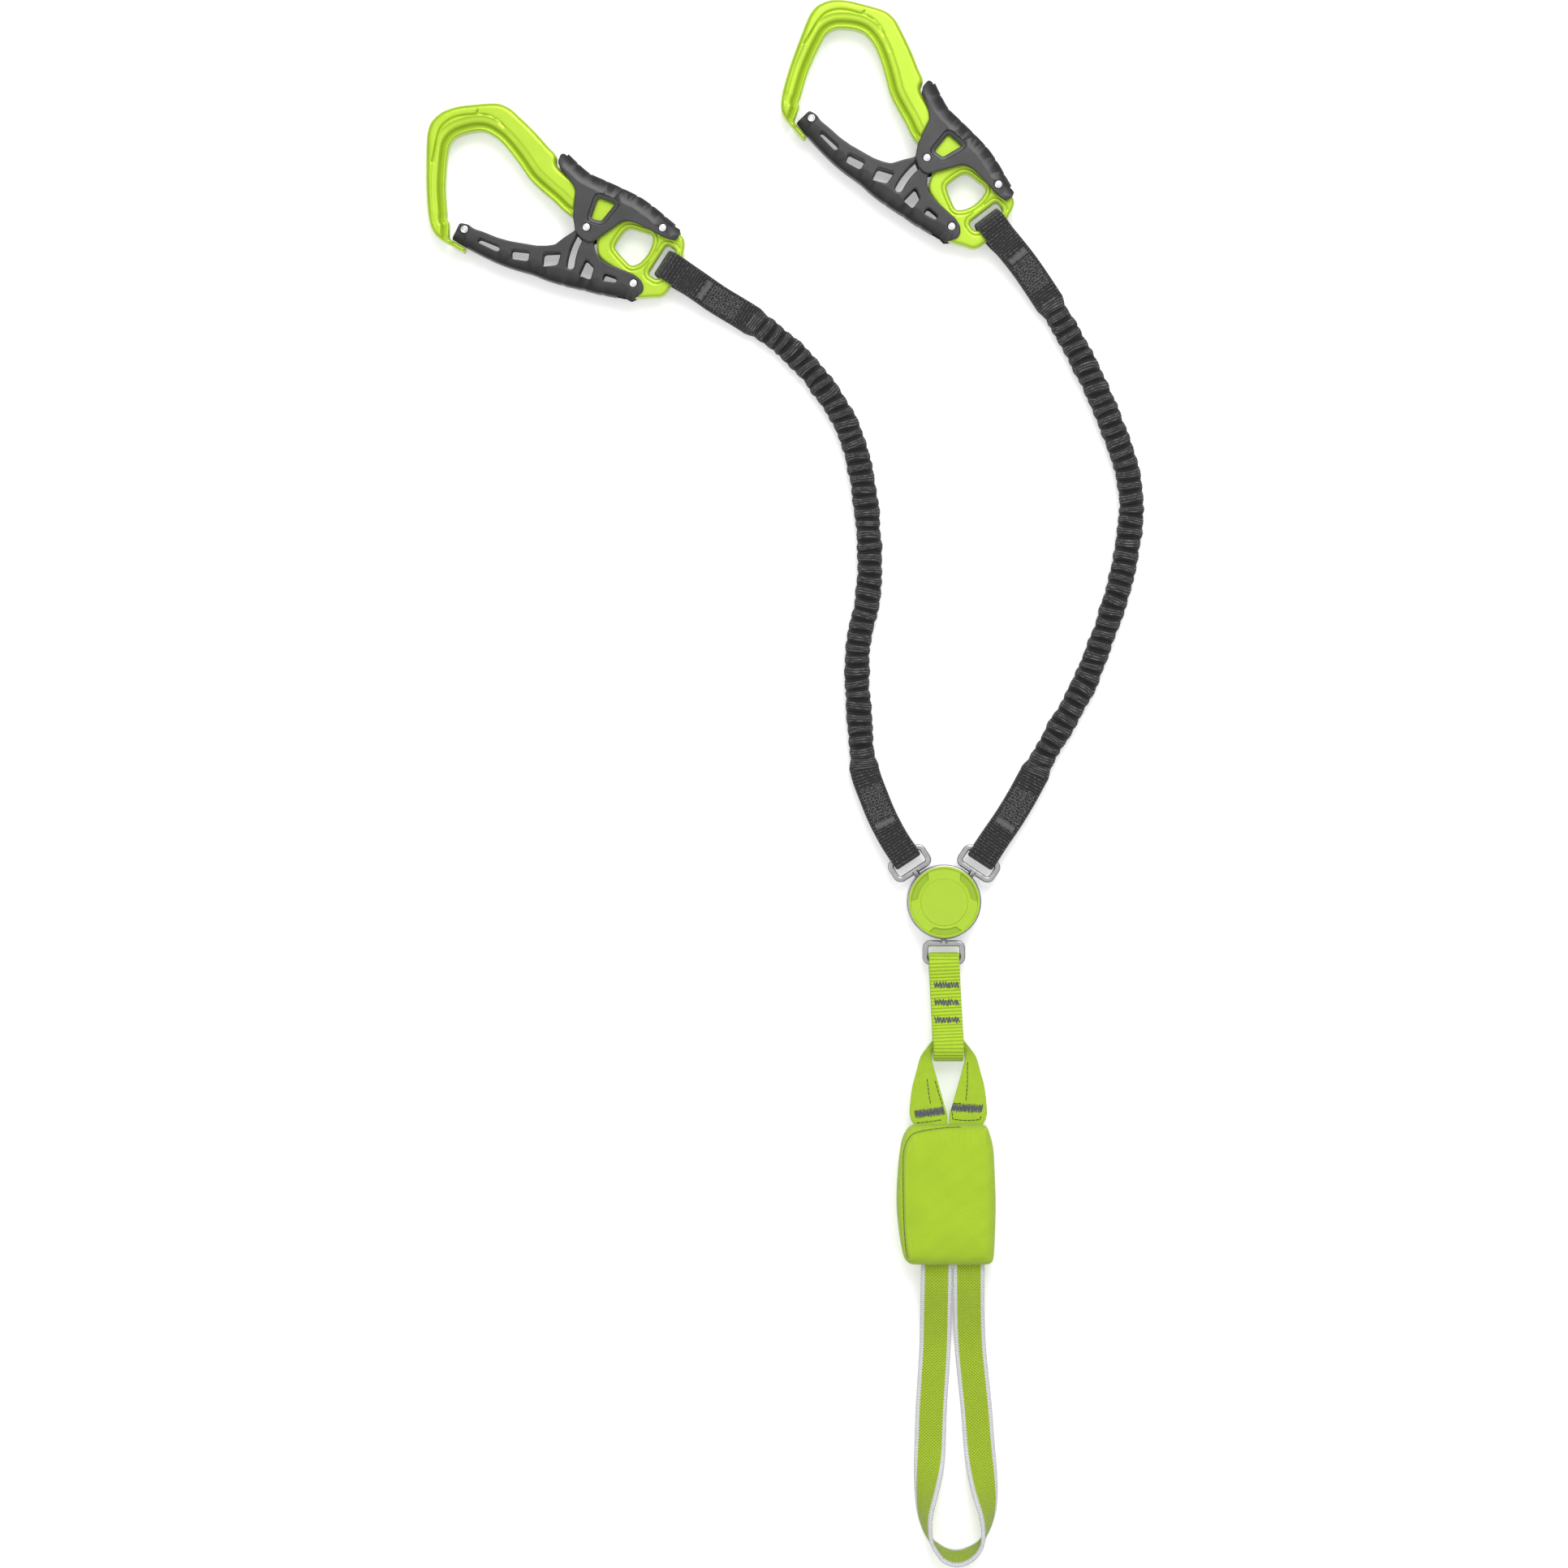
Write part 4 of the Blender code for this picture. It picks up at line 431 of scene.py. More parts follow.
class Finish:
    """A material's node tree, with short ways to write the maths of a pattern."""

    def __init__(self, name):
        self.material = bpy.data.materials.new(f"finish_{name}")
        self.material.use_nodes = True
        self.tree = self.material.node_tree
        self.shader = self.tree.nodes["Principled BSDF"]

    def put(self, socket, value):
        if isinstance(value, bpy.types.NodeSocket):
            self.tree.links.new(value, socket)
        else:
            opaque = hasattr(value, "__len__") and len(value) == 3 and len(socket.default_value) == 4
            socket.default_value = (*value, 1) if opaque else value

    def maths(self, operation, a, b=0.0):
        node = self.tree.nodes.new("ShaderNodeMath")
        node.operation = operation
        self.put(node.inputs[0], a)
        self.put(node.inputs[1], b)
        return node.outputs[0]

    def product(self, a, b):
        return self.maths("MULTIPLY", a, b)

    def total(self, a, b):
        return self.maths("ADD", a, b)

    def parts(self, vector):
        node = self.tree.nodes.new("ShaderNodeSeparateXYZ")
        self.tree.links.new(vector, node.inputs[0])
        return node.outputs

    def uv(self):
        """The piece's weave coordinates in metres: along it, and across it from its middle."""
        node = self.tree.nodes.new("ShaderNodeUVMap")
        node.uv_map = "weave"
        return self.parts(node.outputs[0])[:2]

    def attribute(self, name):
        node = self.tree.nodes.new("ShaderNodeAttribute")
        node.attribute_name = name
        return node.outputs["Fac"]

    def object_space(self):
        return self.tree.nodes.new("ShaderNodeTexCoord").outputs["Object"]

    def vector(self, x, y, z=0.0):
        node = self.tree.nodes.new("ShaderNodeCombineXYZ")
        for socket, value in zip(node.inputs, (x, y, z)):
            self.put(socket, value)
        return node.outputs[0]

    def noise(self, vector, pitch, detail=2.0, roughness=0.5):
        node = self.tree.nodes.new("ShaderNodeTexNoise")
        node.inputs["Scale"].default_value = 1 / pitch
        node.inputs["Detail"].default_value = detail
        node.inputs["Roughness"].default_value = roughness
        self.tree.links.new(vector, node.inputs["Vector"])
        return node.outputs["Fac"]

    def arch(self, value, pitch, shift=0.0):
        """Rounded ridges at a pitch: the size of the sine of half a turn for each pitch."""
        turns = self.total(self.maths("DIVIDE", value, pitch), shift)
        return self.maths("ABSOLUTE", self.maths("SINE", self.product(turns, math.pi)))

    def odd(self, value, pitch):
        """0 or 0.5 by turns, from one pitch to the next."""
        step = self.maths("FLOOR", self.maths("DIVIDE", value, pitch))
        return self.product(self.maths("PINGPONG", step, 1.0), 0.5)

    def ramp(self, value, low, high, to_low=0.0, to_high=1.0):
        node = self.tree.nodes.new("ShaderNodeMapRange")
        node.clamp = True
        node.interpolation_type = "SMOOTHSTEP"
        for socket, number in zip(node.inputs[1:5], (low, high, to_low, to_high)):
            self.put(socket, number)
        self.put(node.inputs[0], value)
        return node.outputs[0]

    def mix(self, share, a, b):
        node = self.tree.nodes.new("ShaderNodeMix")
        node.data_type = "RGBA"
        self.put(node.inputs[0], share)
        self.put(node.inputs[6], a)
        self.put(node.inputs[7], b)
        return node.outputs[2]

    def bump(self, height, distance):
        node = self.tree.nodes.new("ShaderNodeBump")
        node.inputs["Distance"].default_value = distance
        self.put(node.inputs["Height"], height)
        self.tree.links.new(node.outputs[0], self.shader.inputs["Normal"])

    def cloth(self, base, roughness=0.8, sheen=0.2):
        return self.set(base_color=base, roughness=roughness, sheen_weight=sheen, sheen_roughness=0.5)

    def set(self, **values):
        for name, value in values.items():
            self.put(self.shader.inputs[name.replace("_", " ").title().replace("Ior", "IOR")], value)
        return self.material


def shaded(rgb, share):
    """A colour made lighter or darker."""
    return tuple(channel * share for channel in rgb)


def anodised_aluminium():
    """Satin anodised metal: a fine grain, slow clouding, and a painted highlight along the edges."""
    finish = Finish("anodised_aluminium")
    green = colours().anodised_green
    place = finish.object_space()
    grain = finish.noise(place, 0.0006, 3)
    cloud = finish.noise(place, 0.02, 2)
    edge = finish.attribute("edge")
    base = finish.mix(finish.ramp(cloud, 0.3, 0.7), shaded(green, 0.92), shaded(green, 1.0))
    # Painted highlight: a lighter green along the edges.
    edge_lit = finish.mix(finish.product(finish.ramp(edge, 0.55, 1.0), 0.35), base, EDGE_HIGHLIGHT_GREEN)
    finish.bump(grain, 0.00004)
    return finish.set(
        base_color=edge_lit, metallic=0.35, roughness=finish.ramp(grain, 0.2, 0.8, 0.30, 0.40)
    )


def cover_plastic():
    """Matt moulded plastic with a fine spark-eroded grain, and painted shade in the hollows."""
    finish = Finish("cover_plastic")
    green = colours().cover_green
    place = finish.object_space()
    grain = finish.noise(place, 0.0003, 2)
    cloud = finish.noise(place, 0.006, 3)
    finish.bump(grain, 0.00005)
    base = finish.mix(cloud, shaded(green, 0.93), green)
    # Painted shade in the hollow crescents.
    base = finish.mix(finish.attribute("hollow"), base, shaded(green, 0.72))
    return finish.set(base_color=base, roughness=finish.ramp(grain, 0.2, 0.8, 0.36, 0.50))


def black_aluminium():
    """Black gate and lever: satin, grained, with a painted highlight on the edges and painted shade on
    the grip.
    """
    finish = Finish("black_satin")
    black = colours().plastic_black
    place = finish.object_space()
    grain = finish.noise(place, 0.00035, 2)
    cloud = finish.noise(place, 0.009, 4)
    edge = finish.attribute("edge")
    base = finish.mix(finish.ramp(cloud, 0.35, 0.7), shaded(black, 0.8), shaded(black, 1.35))
    # Painted highlight: grey in patches along the edges.
    edge_highlight = finish.product(finish.ramp(edge, 0.6, 1.0), finish.ramp(cloud, 0.3, 0.6, 0.15, 0.5))
    # Painted shade along the grip side, where the faces fall away from the light.
    grip = finish.attribute("grip")
    base = finish.mix(grip, base, shaded(black, 0.45))
    edge_lit = finish.mix(edge_highlight, base, EDGE_HIGHLIGHT_GREY)
    finish.bump(grain, 0.000012)
    return finish.set(
        base_color=edge_lit, roughness=finish.ramp(grip, 0.0, 1.0, 0.34, 0.52), specular_ior_level=0.6
    )


def satin_steel():
    """Tumbled steel: soft mottling and a fine grain."""
    finish = Finish("satin_steel")
    steel = colours().steel_grey
    place = finish.object_space()
    mottle = finish.noise(place, 0.0025, 4)
    grain = finish.noise(place, 0.0004, 2)
    base = finish.mix(mottle, shaded(steel, 0.85), shaded(steel, 1.2))
    finish.bump(grain, 0.00002)
    return finish.set(base_color=base, metallic=1.0, roughness=finish.ramp(mottle, 0.2, 0.8, 0.20, 0.30))


def bright_steel():
    """Polished rivet heads."""
    finish = Finish("bright_steel")
    place = finish.object_space()
    mottle = finish.noise(place, 0.0008, 3)
    base = finish.mix(mottle, *BRIGHT_STEEL)
    return finish.set(base_color=base, metallic=1.0, roughness=finish.ramp(mottle, 0.2, 0.8, 0.14, 0.26))


def black_webbing():
    """Black webbing: ribs across it, each of staggered picks, with light threads that come up here
    and there along the ribs."""
    finish = Finish("strap_black")
    black, tracer = colours().webbing_black, colours().tracer_grey
    rib, tracer_share = sizes().black_rib, 0.85
    along, across = finish.uv()
    ribs = finish.arch(along, rib)
    picks = finish.arch(across, rib / 2, finish.odd(along, rib))
    weave = finish.product(ribs, finish.ramp(picks, 0, 1, 0.45, 1.0))
    line = finish.vector(along, finish.maths("DIVIDE", across, 3.0))
    strands = finish.noise(line, rib * 0.30, 2, 0.6)
    crest = finish.ramp(ribs, 0.70, 0.98)
    light = finish.product(crest, finish.ramp(strands, 0.50, 0.66))
    light = finish.product(light, finish.ramp(picks, 0.15, 0.7))
    light = finish.product(light, tracer_share)
    base = finish.mix(weave, shaded(black, 0.45), shaded(black, 1.5))
    base = finish.mix(light, base, tracer)
    fuzz = finish.noise(line, rib * 0.12, 2)
    height = finish.total(weave, finish.product(fuzz, 0.35))
    finish.bump(height, rib * 0.30)
    return finish.cloth(base, 0.82, 0.25)


def gathered_webbing():
    """The gathered webbing: fine ribs round it, light threads on the crests, painted shade in the
    valleys.
    """
    finish = Finish("gathered_webbing")
    black, tracer = colours().webbing_black, colours().tracer_grey
    pitch = sizes().ruche_pitch
    along, across = finish.uv()
    valley = finish.attribute("valley")
    ribs = finish.arch(along, pitch / 5)
    picks = finish.arch(across, pitch / 10, finish.odd(along, pitch / 5))
    weave = finish.product(ribs, finish.ramp(picks, 0, 1, 0.55, 1.0))
    line = finish.vector(along, finish.maths("DIVIDE", across, 7.0))
    strands = finish.noise(line, pitch / 16, 2, 0.6)
    light = finish.product(finish.ramp(ribs, 0.72, 0.96), finish.ramp(strands, 0.46, 0.60))
    light = finish.product(light, finish.ramp(picks, 0.05, 0.5))
    # The light threads fade out in the valleys, under the painted shade.
    light = finish.product(light, finish.ramp(valley, 0.15, 0.5, 0.75, 0.0))
    base = finish.mix(weave, shaded(black, 0.7), shaded(black, 2.6))
    # Painted shade: the valleys between gathers made near black.
    base = finish.mix(finish.ramp(valley, 0.18, 0.6), base, shaded(black, 0.10))
    base = finish.mix(light, base, tracer)
    finish.bump(weave, pitch / 22)
    return finish.cloth(base, 0.82, 0.12)


def green_webbing():
    """The sling's webbing: ribs across it with fine picks."""
    finish = Finish("green_webbing")
    green = colours().webbing_green
    rib = sizes().green_rib
    along, across = finish.uv()
    ribs = finish.arch(along, rib)
    picks = finish.arch(across, rib / 2.6, finish.odd(along, rib))
    weave = finish.product(finish.ramp(ribs, 0, 1, 0.25, 1.0), finish.ramp(picks, 0, 1, 0.65, 1.0))
    cloud = finish.noise(finish.vector(along, across), 0.004, 3)
    fibre = finish.noise(finish.vector(along, across), 0.00022, 2)
    base = finish.mix(finish.ramp(weave, 0.25, 0.75), shaded(green, 0.55), shaded(green, 1.0))
    base = finish.mix(finish.ramp(cloud, 0.35, 0.7, 0.0, 0.14), base, shaded(green, 0.6))
    height = finish.total(weave, finish.product(fibre, 0.2))
    finish.bump(height, rib * 0.20)
    return finish.cloth(base)


def eye_webbing():
    """The absorber eye's webbing: two sets of slanting ridges that cross in small diamonds."""
    finish = Finish("eye_webbing")
    green = colours().webbing_green
    cell = sizes().cloth_cell
    along, across = finish.uv()
    one = finish.arch(finish.total(along, across), cell)
    two = finish.arch(finish.maths("SUBTRACT", along, across), cell)
    weave = finish.product(finish.ramp(one, 0, 1, 0.4, 1.0), finish.ramp(two, 0, 1, 0.4, 1.0))
    cloud = finish.noise(finish.vector(along, across), 0.005, 3)
    base = finish.mix(finish.ramp(weave, 0.2, 0.85), shaded(green, 0.55), shaded(green, 0.96))
    base = finish.mix(finish.ramp(cloud, 0.35, 0.7, 0.0, 0.2), base, shaded(green, 0.6))
    finish.bump(weave, cell * 0.2)
    return finish.cloth(base)


def loop_webbing():
    """The tie-in loop: rows of long cells that show as small dark marks, between white selvedges."""
    finish = Finish("loop_webbing")
    green, white = colours().loop_green, colours().selvedge_white
    cell = sizes().loop_cell
    along, across = finish.uv()
    shift = finish.odd(across, cell * 0.55)
    rows = finish.arch(along, cell, shift)
    columns = finish.arch(across, cell * 0.55)
    weave = finish.product(finish.ramp(rows, 0, 0.8), finish.ramp(columns, 0, 0.8, 0.5, 1.0))
    cloud = finish.noise(finish.vector(along, across), 0.008, 3)
    base = finish.mix(finish.ramp(weave, 0.05, 0.75), shaded(green, 0.42), shaded(green, 1.0))
    base = finish.mix(finish.ramp(cloud, 0.3, 0.75, 0.0, 0.25), base, shaded(green, 0.72))
    ribs = finish.arch(along, cell * 0.5)
    edge_white = finish.mix(finish.ramp(ribs, 0, 0.9), shaded(white, 0.80), white)
    out = finish.maths("ABSOLUTE", across)
    start = LOOP_WIDTH / 2 - sizes().white_edge
    edge = finish.ramp(out, start - 0.00012, start + 0.00012)
    base = finish.mix(edge, base, edge_white)
    height = finish.mix(edge, finish.vector(weave, weave, weave), finish.vector(ribs, ribs, ribs))
    finish.bump(height, cell * 0.16)
    return finish.cloth(base)


def pouch_cloth():
    """Fine diagonal weave over the whole pouch, read from its own object space."""
    finish = Finish("pouch_cloth")
    green = colours().pouch_green
    cell = sizes().cloth_cell
    place = finish.object_space()
    x, y, z = finish.parts(place)
    depth = finish.product(z, 0.8)
    one = finish.arch(finish.total(finish.total(x, y), depth), cell * 0.85)
    two = finish.arch(finish.total(finish.maths("SUBTRACT", x, y), depth), cell * 0.85)
    weave = finish.product(finish.ramp(one, 0, 1, 0.45, 1.0), finish.ramp(two, 0, 1, 0.45, 1.0))
    cloud = finish.noise(place, 0.018, 3)
    fibre = finish.noise(place, 0.0003, 2)
    base = finish.mix(finish.ramp(weave, 0.25, 0.9), shaded(green, 0.62), shaded(green, 1.0))
    base = finish.mix(finish.ramp(cloud, 0.35, 0.7, 0.0, 0.22), base, shaded(green, 0.70))
    height = finish.total(weave, finish.product(fibre, 0.3))
    finish.bump(height, cell * 0.13)
    return finish.cloth(base, 0.85, 0.2)


def thread(name, tone):
    """Twisted sewing thread: slanting plies along it."""
    finish = Finish(name)
    along, across = finish.uv()
    plies = finish.arch(finish.total(along, across), 0.0005)
    base = finish.mix(plies, shaded(tone, 0.55), shaded(tone, 1.3))
    finish.bump(plies, 0.00008)
    return finish.set(base_color=base, roughness=0.6, sheen_weight=0.2)


def undyed_webbing():
    """The tear webbing, as it comes off the loom."""
    finish = Finish("undyed_webbing")
    along, across = finish.uv()
    weave = finish.product(finish.arch(along, 0.0014), finish.arch(across, 0.0009))
    base = finish.mix(weave, *UNDYED_YARN)
    finish.bump(weave, 0.0002)
    return finish.set(base_color=base, roughness=0.85)


def elastic_rubber():
    """A flat bundle of rubber strands."""
    finish = Finish("elastic_rubber")
    strands = finish.arch(finish.uv()[1], 0.0009)
    base = finish.mix(strands, *RUBBER_STRANDS)
    finish.bump(strands, 0.0003)
    return finish.set(base_color=base, roughness=0.7)


def floor_paint():
    """A plain pale floor, with a grain too faint to see from the camera."""
    finish = Finish("floor_paint")
    white = colours().floor_white
    light = finish.tree.nodes.new("ShaderNodeLightPath").outputs
    seen = finish.maths("MAXIMUM", light["Is Camera Ray"], light["Is Glossy Ray"])
    seen = finish.maths("MAXIMUM", seen, light["Is Transmission Ray"])
    grain = finish.noise(finish.object_space(), 0.004, 2)
    base = finish.mix(grain, shaded(white, 0.995), white)
    base = finish.mix(seen, shaded(white, 0.85), base)
    lift = finish.product(seen, 0.34)
    return finish.set(
        base_color=base, roughness=0.9, specular_ior_level=0.0,
        emission_color=(1.0, 1.0, 1.0), emission_strength=lift,
    )


def look(name, make, *values):
    """The material of that name, made the first time it is asked for."""
    return bpy.data.materials.get(f"finish_{name}") or make(*values)


# Shapes


def eased(t):
    """A share from 0 to 1 with a level start and end: 3 t squared less 2 t cubed."""
    t = np.clip(t, 0, 1)
    return t * t * (3 - 2 * t)


def rises(x, start, reach):
    """0 up to the start, then an eased rise to 1 over the reach."""
    return eased((x - start) / reach)


def blend(a, b, t):
    """From a to b as t goes from 0 to 1, eased."""
    return a + (b - a) * eased(t)


def scaled(shares, size):
    return np.array(shares, float) * size


def unit(vectors):
    length = np.linalg.norm(vectors, axis=-1, keepdims=True)
    return vectors / np.where(length > 0, length, 1)


def signed_power(values, power):
    """The power of the size of each value, with the value's own sign."""
    return np.sign(values) * np.abs(values) ** power


def bell(distance, width):
    """A soft ridge: 1 in its middle, and the natural exponent of minus 1 at its width."""
    return np.exp(-((distance / width) ** 2))


def full_turn(steps):
    """Angles at even steps round a circle."""
    return 2 * math.pi * np.arange(steps) / steps


def run_length(points):
    """The distance along a line of points to each of them."""
    return np.concatenate([[0], np.cumsum(np.linalg.norm(np.diff(points, axis=0), axis=1))])


def leftwards(way):
    """The directions in plan a quarter turn to the left of those given."""
    return np.stack([-way[..., 1], way[..., 0]], axis=-1)


def level_across(way):
    """The same directions in space."""
    return np.column_stack([leftwards(way), np.zeros(len(way))])


def paired(along, across):
    """Weave coordinates for a grid, from what runs along it and what runs across it."""
    return np.stack(np.broadcast_arrays(along, across), axis=-1)


def smooth(points, steps=8, closed=False, corner=math.radians(48)):
    """Cubic pieces through the points, whose slope at each point is the mean of the ways in and out
    times the shorter of the two chords, and the chord itself where they turn by more than corner."""
    points = np.asarray(points, float)
    one = points - np.roll(points, 1, axis=0)
    two = np.roll(points, -1, axis=0) - points
    turn = np.abs(np.arctan2(one[:, 0] * two[:, 1] - one[:, 1] * two[:, 0], (one * two)[:, :2].sum(1)))
    reach = np.minimum(np.linalg.norm(one, axis=1), np.linalg.norm(two, axis=1))[:, None]
    slope = unit(unit(one) + unit(two)) * reach
    sharp = turn > corner
    if not closed:
        sharp[0] = sharp[-1] = True
    after = np.roll(points, -1, axis=0)
    start = np.where(sharp[:, None], two, slope)
    end = np.where(np.roll(sharp, -1)[:, None], two, np.roll(slope, -1, axis=0))
    if not closed:
        points, after, start, end = points[:-1], after[:-1], start[:-1], end[:-1]
    t = np.arange(steps)[None, :, None] / steps
    made = (
        (2 * t**3 - 3 * t**2 + 1) * points[:, None]
        + (t**3 - 2 * t**2 + t) * start[:, None]
        + (3 * t**2 - 2 * t**3) * after[:, None]
        + (t**3 - t**2) * end[:, None]
    ).reshape(-1, points.shape[1])
    return made if closed else np.vstack([made, after[-1]])


class Route:
    """A path read by the distance along it, straight past its ends."""

    def __init__(self, points, steps=8):
        made = smooth(points, steps) if steps > 1 else np.asarray(points, float)
        self.length = float(np.linalg.norm(np.diff(made, axis=0), axis=1).sum())
        first, last = unit(made[1] - made[0]), unit(made[-1] - made[-2])
        past = self.length / 4
        self.core = made
        self.points = np.vstack([made[0] - first * past, made, made[-1] + last * past])
        self.along = run_length(self.points) - past
        self.ways = unit(np.gradient(self.points, self.along, axis=0))

    def reverse(self):
        return Route(self.core[::-1], steps=1)

    def read(self, table, s):
        return np.stack([np.interp(s, self.along, table[:, k]) for k in range(table.shape[1])], axis=-1)

    def at(self, s):
        return self.read(self.points, s)

    def way(self, s):
        return unit(self.read(self.ways, s))


def add_mesh(name, points, faces, uv=None):
    """A mesh object from arrays, smooth except where its faces meet at more than the sharp angle."""
    mesh = bpy.data.meshes.new(name)
    mesh.from_pydata(np.asarray(points, float).reshape(-1, 3).tolist(), [], faces)
    if uv is not None:
        layer = mesh.uv_layers.new(name="weave")
        layer.data.foreach_set("uv", np.asarray(uv, np.float32).reshape(-1))
    mesh.shade_smooth()
    mesh.set_sharp_from_angle(angle=SHARP_ANGLE)
    mesh.validate()
    obj = bpy.data.objects.new(name, mesh)
    bpy.context.scene.collection.objects.link(obj)
    return obj


def grid(points, uv, close_u=False, close_v=True, start=0):
    """Faces and their corners' weave coordinates for a grid of points, seen from outside. A grid
    that closes round its columns alone has its two ends filled. uv has one more row or column than
    points where the grid closes on itself."""
    rows, columns = points.shape[:2]
    capped = close_v and not close_u
    i, j = np.meshgrid(
        np.arange(rows if close_u else rows - 1),
        np.arange(columns if close_v else columns - 1),
        indexing="ij",
    )
    i, j = i.ravel(), j.ravel()
    corners = [(i, j), (i + 1, j), (i + 1, j + 1), (i, j + 1)]
    index = np.stack([(a % rows) * columns + b % columns for a, b in corners], axis=1) + start
    coordinates = np.stack([uv[a, b] for a, b in corners], axis=1)
    flat = points.reshape(-1, 3) - points.reshape(-1, 3).mean(0)
    a, b, c, d = (flat[index[:, k] - start] for k in range(4))

    def wedges(one, two, three):
        return np.einsum("ij,ij->i", one, np.cross(two, three)).sum()

    volume = wedges(a, b, c) + wedges(a, c, d)
    if capped:
        for row in (0, -1):
            ring = flat.reshape(rows, columns, 3)[row]
            fan = wedges(ring.mean(0)[None], ring, np.roll(ring, -1, axis=0))
            volume += -fan if row == 0 else fan
    # Rows run along the path and columns anticlockwise round it, so the ends' fans oppose each other.
    turned_out = volume > 0
    if not turned_out:
        index, coordinates = index[:, ::-1], coordinates[:, ::-1]
    faces = index.tolist()
    loops = [coordinates.reshape(-1, 2)]
    if capped:
        for row in (0, rows - 1):
            ring = np.arange(columns) + row * columns + start
            backwards = (row == 0) != turned_out
            ring_uv = uv[row, :columns]
            if backwards:
                ring, ring_uv = ring[::-1], ring_uv[::-1]
            faces.append(ring.tolist())
            loops.append(ring_uv)
    return faces, np.concatenate(loops)


def surface(name, points, uv, **options):
    faces, corners = grid(points, uv, **options)
    return add_mesh(name, points, faces, corners)


def joined(name, parts):
    """One mesh from several (points, uv, options) grids."""
    points, faces, corners, start = [], [], [], 0
    for part_points, part_uv, options in parts:
        part_faces, part_corners = grid(part_points, part_uv, start=start, **options)
        points.append(part_points.reshape(-1, 3))
        faces += part_faces
        corners.append(part_corners)
        start += part_points.shape[0] * part_points.shape[1]
    return add_mesh(name, np.concatenate(points), faces, np.concatenate(corners))


def tape_section(width, ply):
    """A tape's section, as across and up values: two flat faces and two half round edges."""
    flat_steps, round_steps = 14, 5
    edge = ply / 2
    flat = np.linspace(-1, 1, flat_steps + 1) * (width / 2 - edge)
    turn = np.linspace(-math.pi / 2, math.pi / 2, round_steps + 2)[1:-1]
    right = np.stack([width / 2 - edge + edge * np.cos(turn), edge * np.sin(turn)], axis=1)
    low = np.stack([flat, np.full_like(flat, -edge)], axis=1)
    high = np.stack([flat[::-1], np.full_like(flat, edge)], axis=1)
    return np.concatenate([low, right, high, -right])


def swept(centres, across, up, section):
    """A section carried along centres. Point (i, j) is centre i plus the section's across value
    times the across direction plus its up value times the up direction."""
    x, y = section[None, :, :1], section[None, :, 1:]
    points = centres[:, None] + across[:, None] * x + up[:, None] * y
    v = np.concatenate([section[:, 0], section[:1, 0]])
    return points, paired(run_length(centres)[:, None], v[None])


def tape(name, centres, across, section):
    """Webbing along centres, whose faces lie along the across directions."""
    way = unit(np.gradient(centres, axis=0))
    across = unit(across - way * (across * way).sum(1, keepdims=True))
    up = np.cross(way, across)
    points, uv = swept(centres, across, up, section)
    return surface(name, points, uv)


def tubes(name, paths, thickness, sides=6):
    """Round threads along several paths. Each path's frame is its way, and the level direction
    across it."""
    section = circle((0, 0), thickness / 2, sides)
    parts = []
    for path in paths:
        way = unit(np.gradient(path, axis=0))
        across = unit(np.cross(way, UP))
        parts.append((*swept(path, across, np.cross(across, way), section), {}))
    return joined(name, parts)


def turned(profile, steps=64):
    """A profile of (radius, height) points turned about Z."""
    profile = np.asarray(profile, float)
    turn = full_turn(steps)
    radius, height = profile[:, :1], profile[:, 1:]
    points = np.stack(np.broadcast_arrays(radius * np.cos(turn), radius * np.sin(turn), height), axis=-1)
    around = np.arange(steps + 1) / steps * 2 * math.pi * profile[:, 0].max()
    return points, paired(run_length(profile)[:, None], around[None])


def placed(points, matrix):
    """Points turned and moved by a 4 by 4 array."""
    return points @ matrix[:3, :3].T + matrix[:3, 3]


def flat_turn(angle, place=(0, 0, 0)):
    matrix = np.eye(4)
    matrix[:2, :2] = [[math.cos(angle), -math.sin(angle)], [math.sin(angle), math.cos(angle)]]
    matrix[:3, 3] = place
    return matrix


def mesh_points(mesh):
    points = np.empty(len(mesh.vertices) * 3, np.float32)
    mesh.vertices.foreach_get("co", points)
    return points.reshape(-1, 3).astype(float)


def set_points(mesh, points):
    mesh.vertices.foreach_set("co", np.asarray(points, np.float32).ravel())
    mesh.update()


def mark(obj, name, values):
    """Gives each point of a mesh a number that its finish reads."""
    values = np.asarray(values, np.float32).ravel()
    obj.data.attributes.new(name, "FLOAT", "POINT").data.foreach_set("value", values)


def carry(obj, matrix):
    """Moves an object's mesh, leaving the object at the origin."""
    set_points(obj.data, placed(mesh_points(obj.data), matrix))
    return obj


def finish_piece(obj, material, body, slot, *nodes):
    """Gives a piece its material and its body, and hides the nodes that it stands for. Its slot is not
    used.
    """
    obj.data.materials.clear()
    obj.data.materials.append(material)
    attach(obj, body)
    if nodes:
        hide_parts(*nodes)
    return obj


# Plates


def segment_distance(points, loop, closed=True):
    """The distance from each point to the nearest side of a loop."""
    start = loop if closed else loop[:-1]
    end = np.roll(loop, -1, axis=0) if closed else loop[1:]
    side = end - start
    length = np.maximum((side**2).sum(1), 1e-18)
    best = np.full(len(points), np.inf)
    batch = 64
    for first in range(0, len(start), batch):
        a, step, size = (table[first : first + batch] for table in (start, side, length))
        away = points[:, None] - a[None]
        t = np.clip((away * step[None]).sum(2) / size, 0, 1)
        best = np.minimum(best, np.linalg.norm(away - t[..., None] * step[None], axis=2).min(1))
    return best


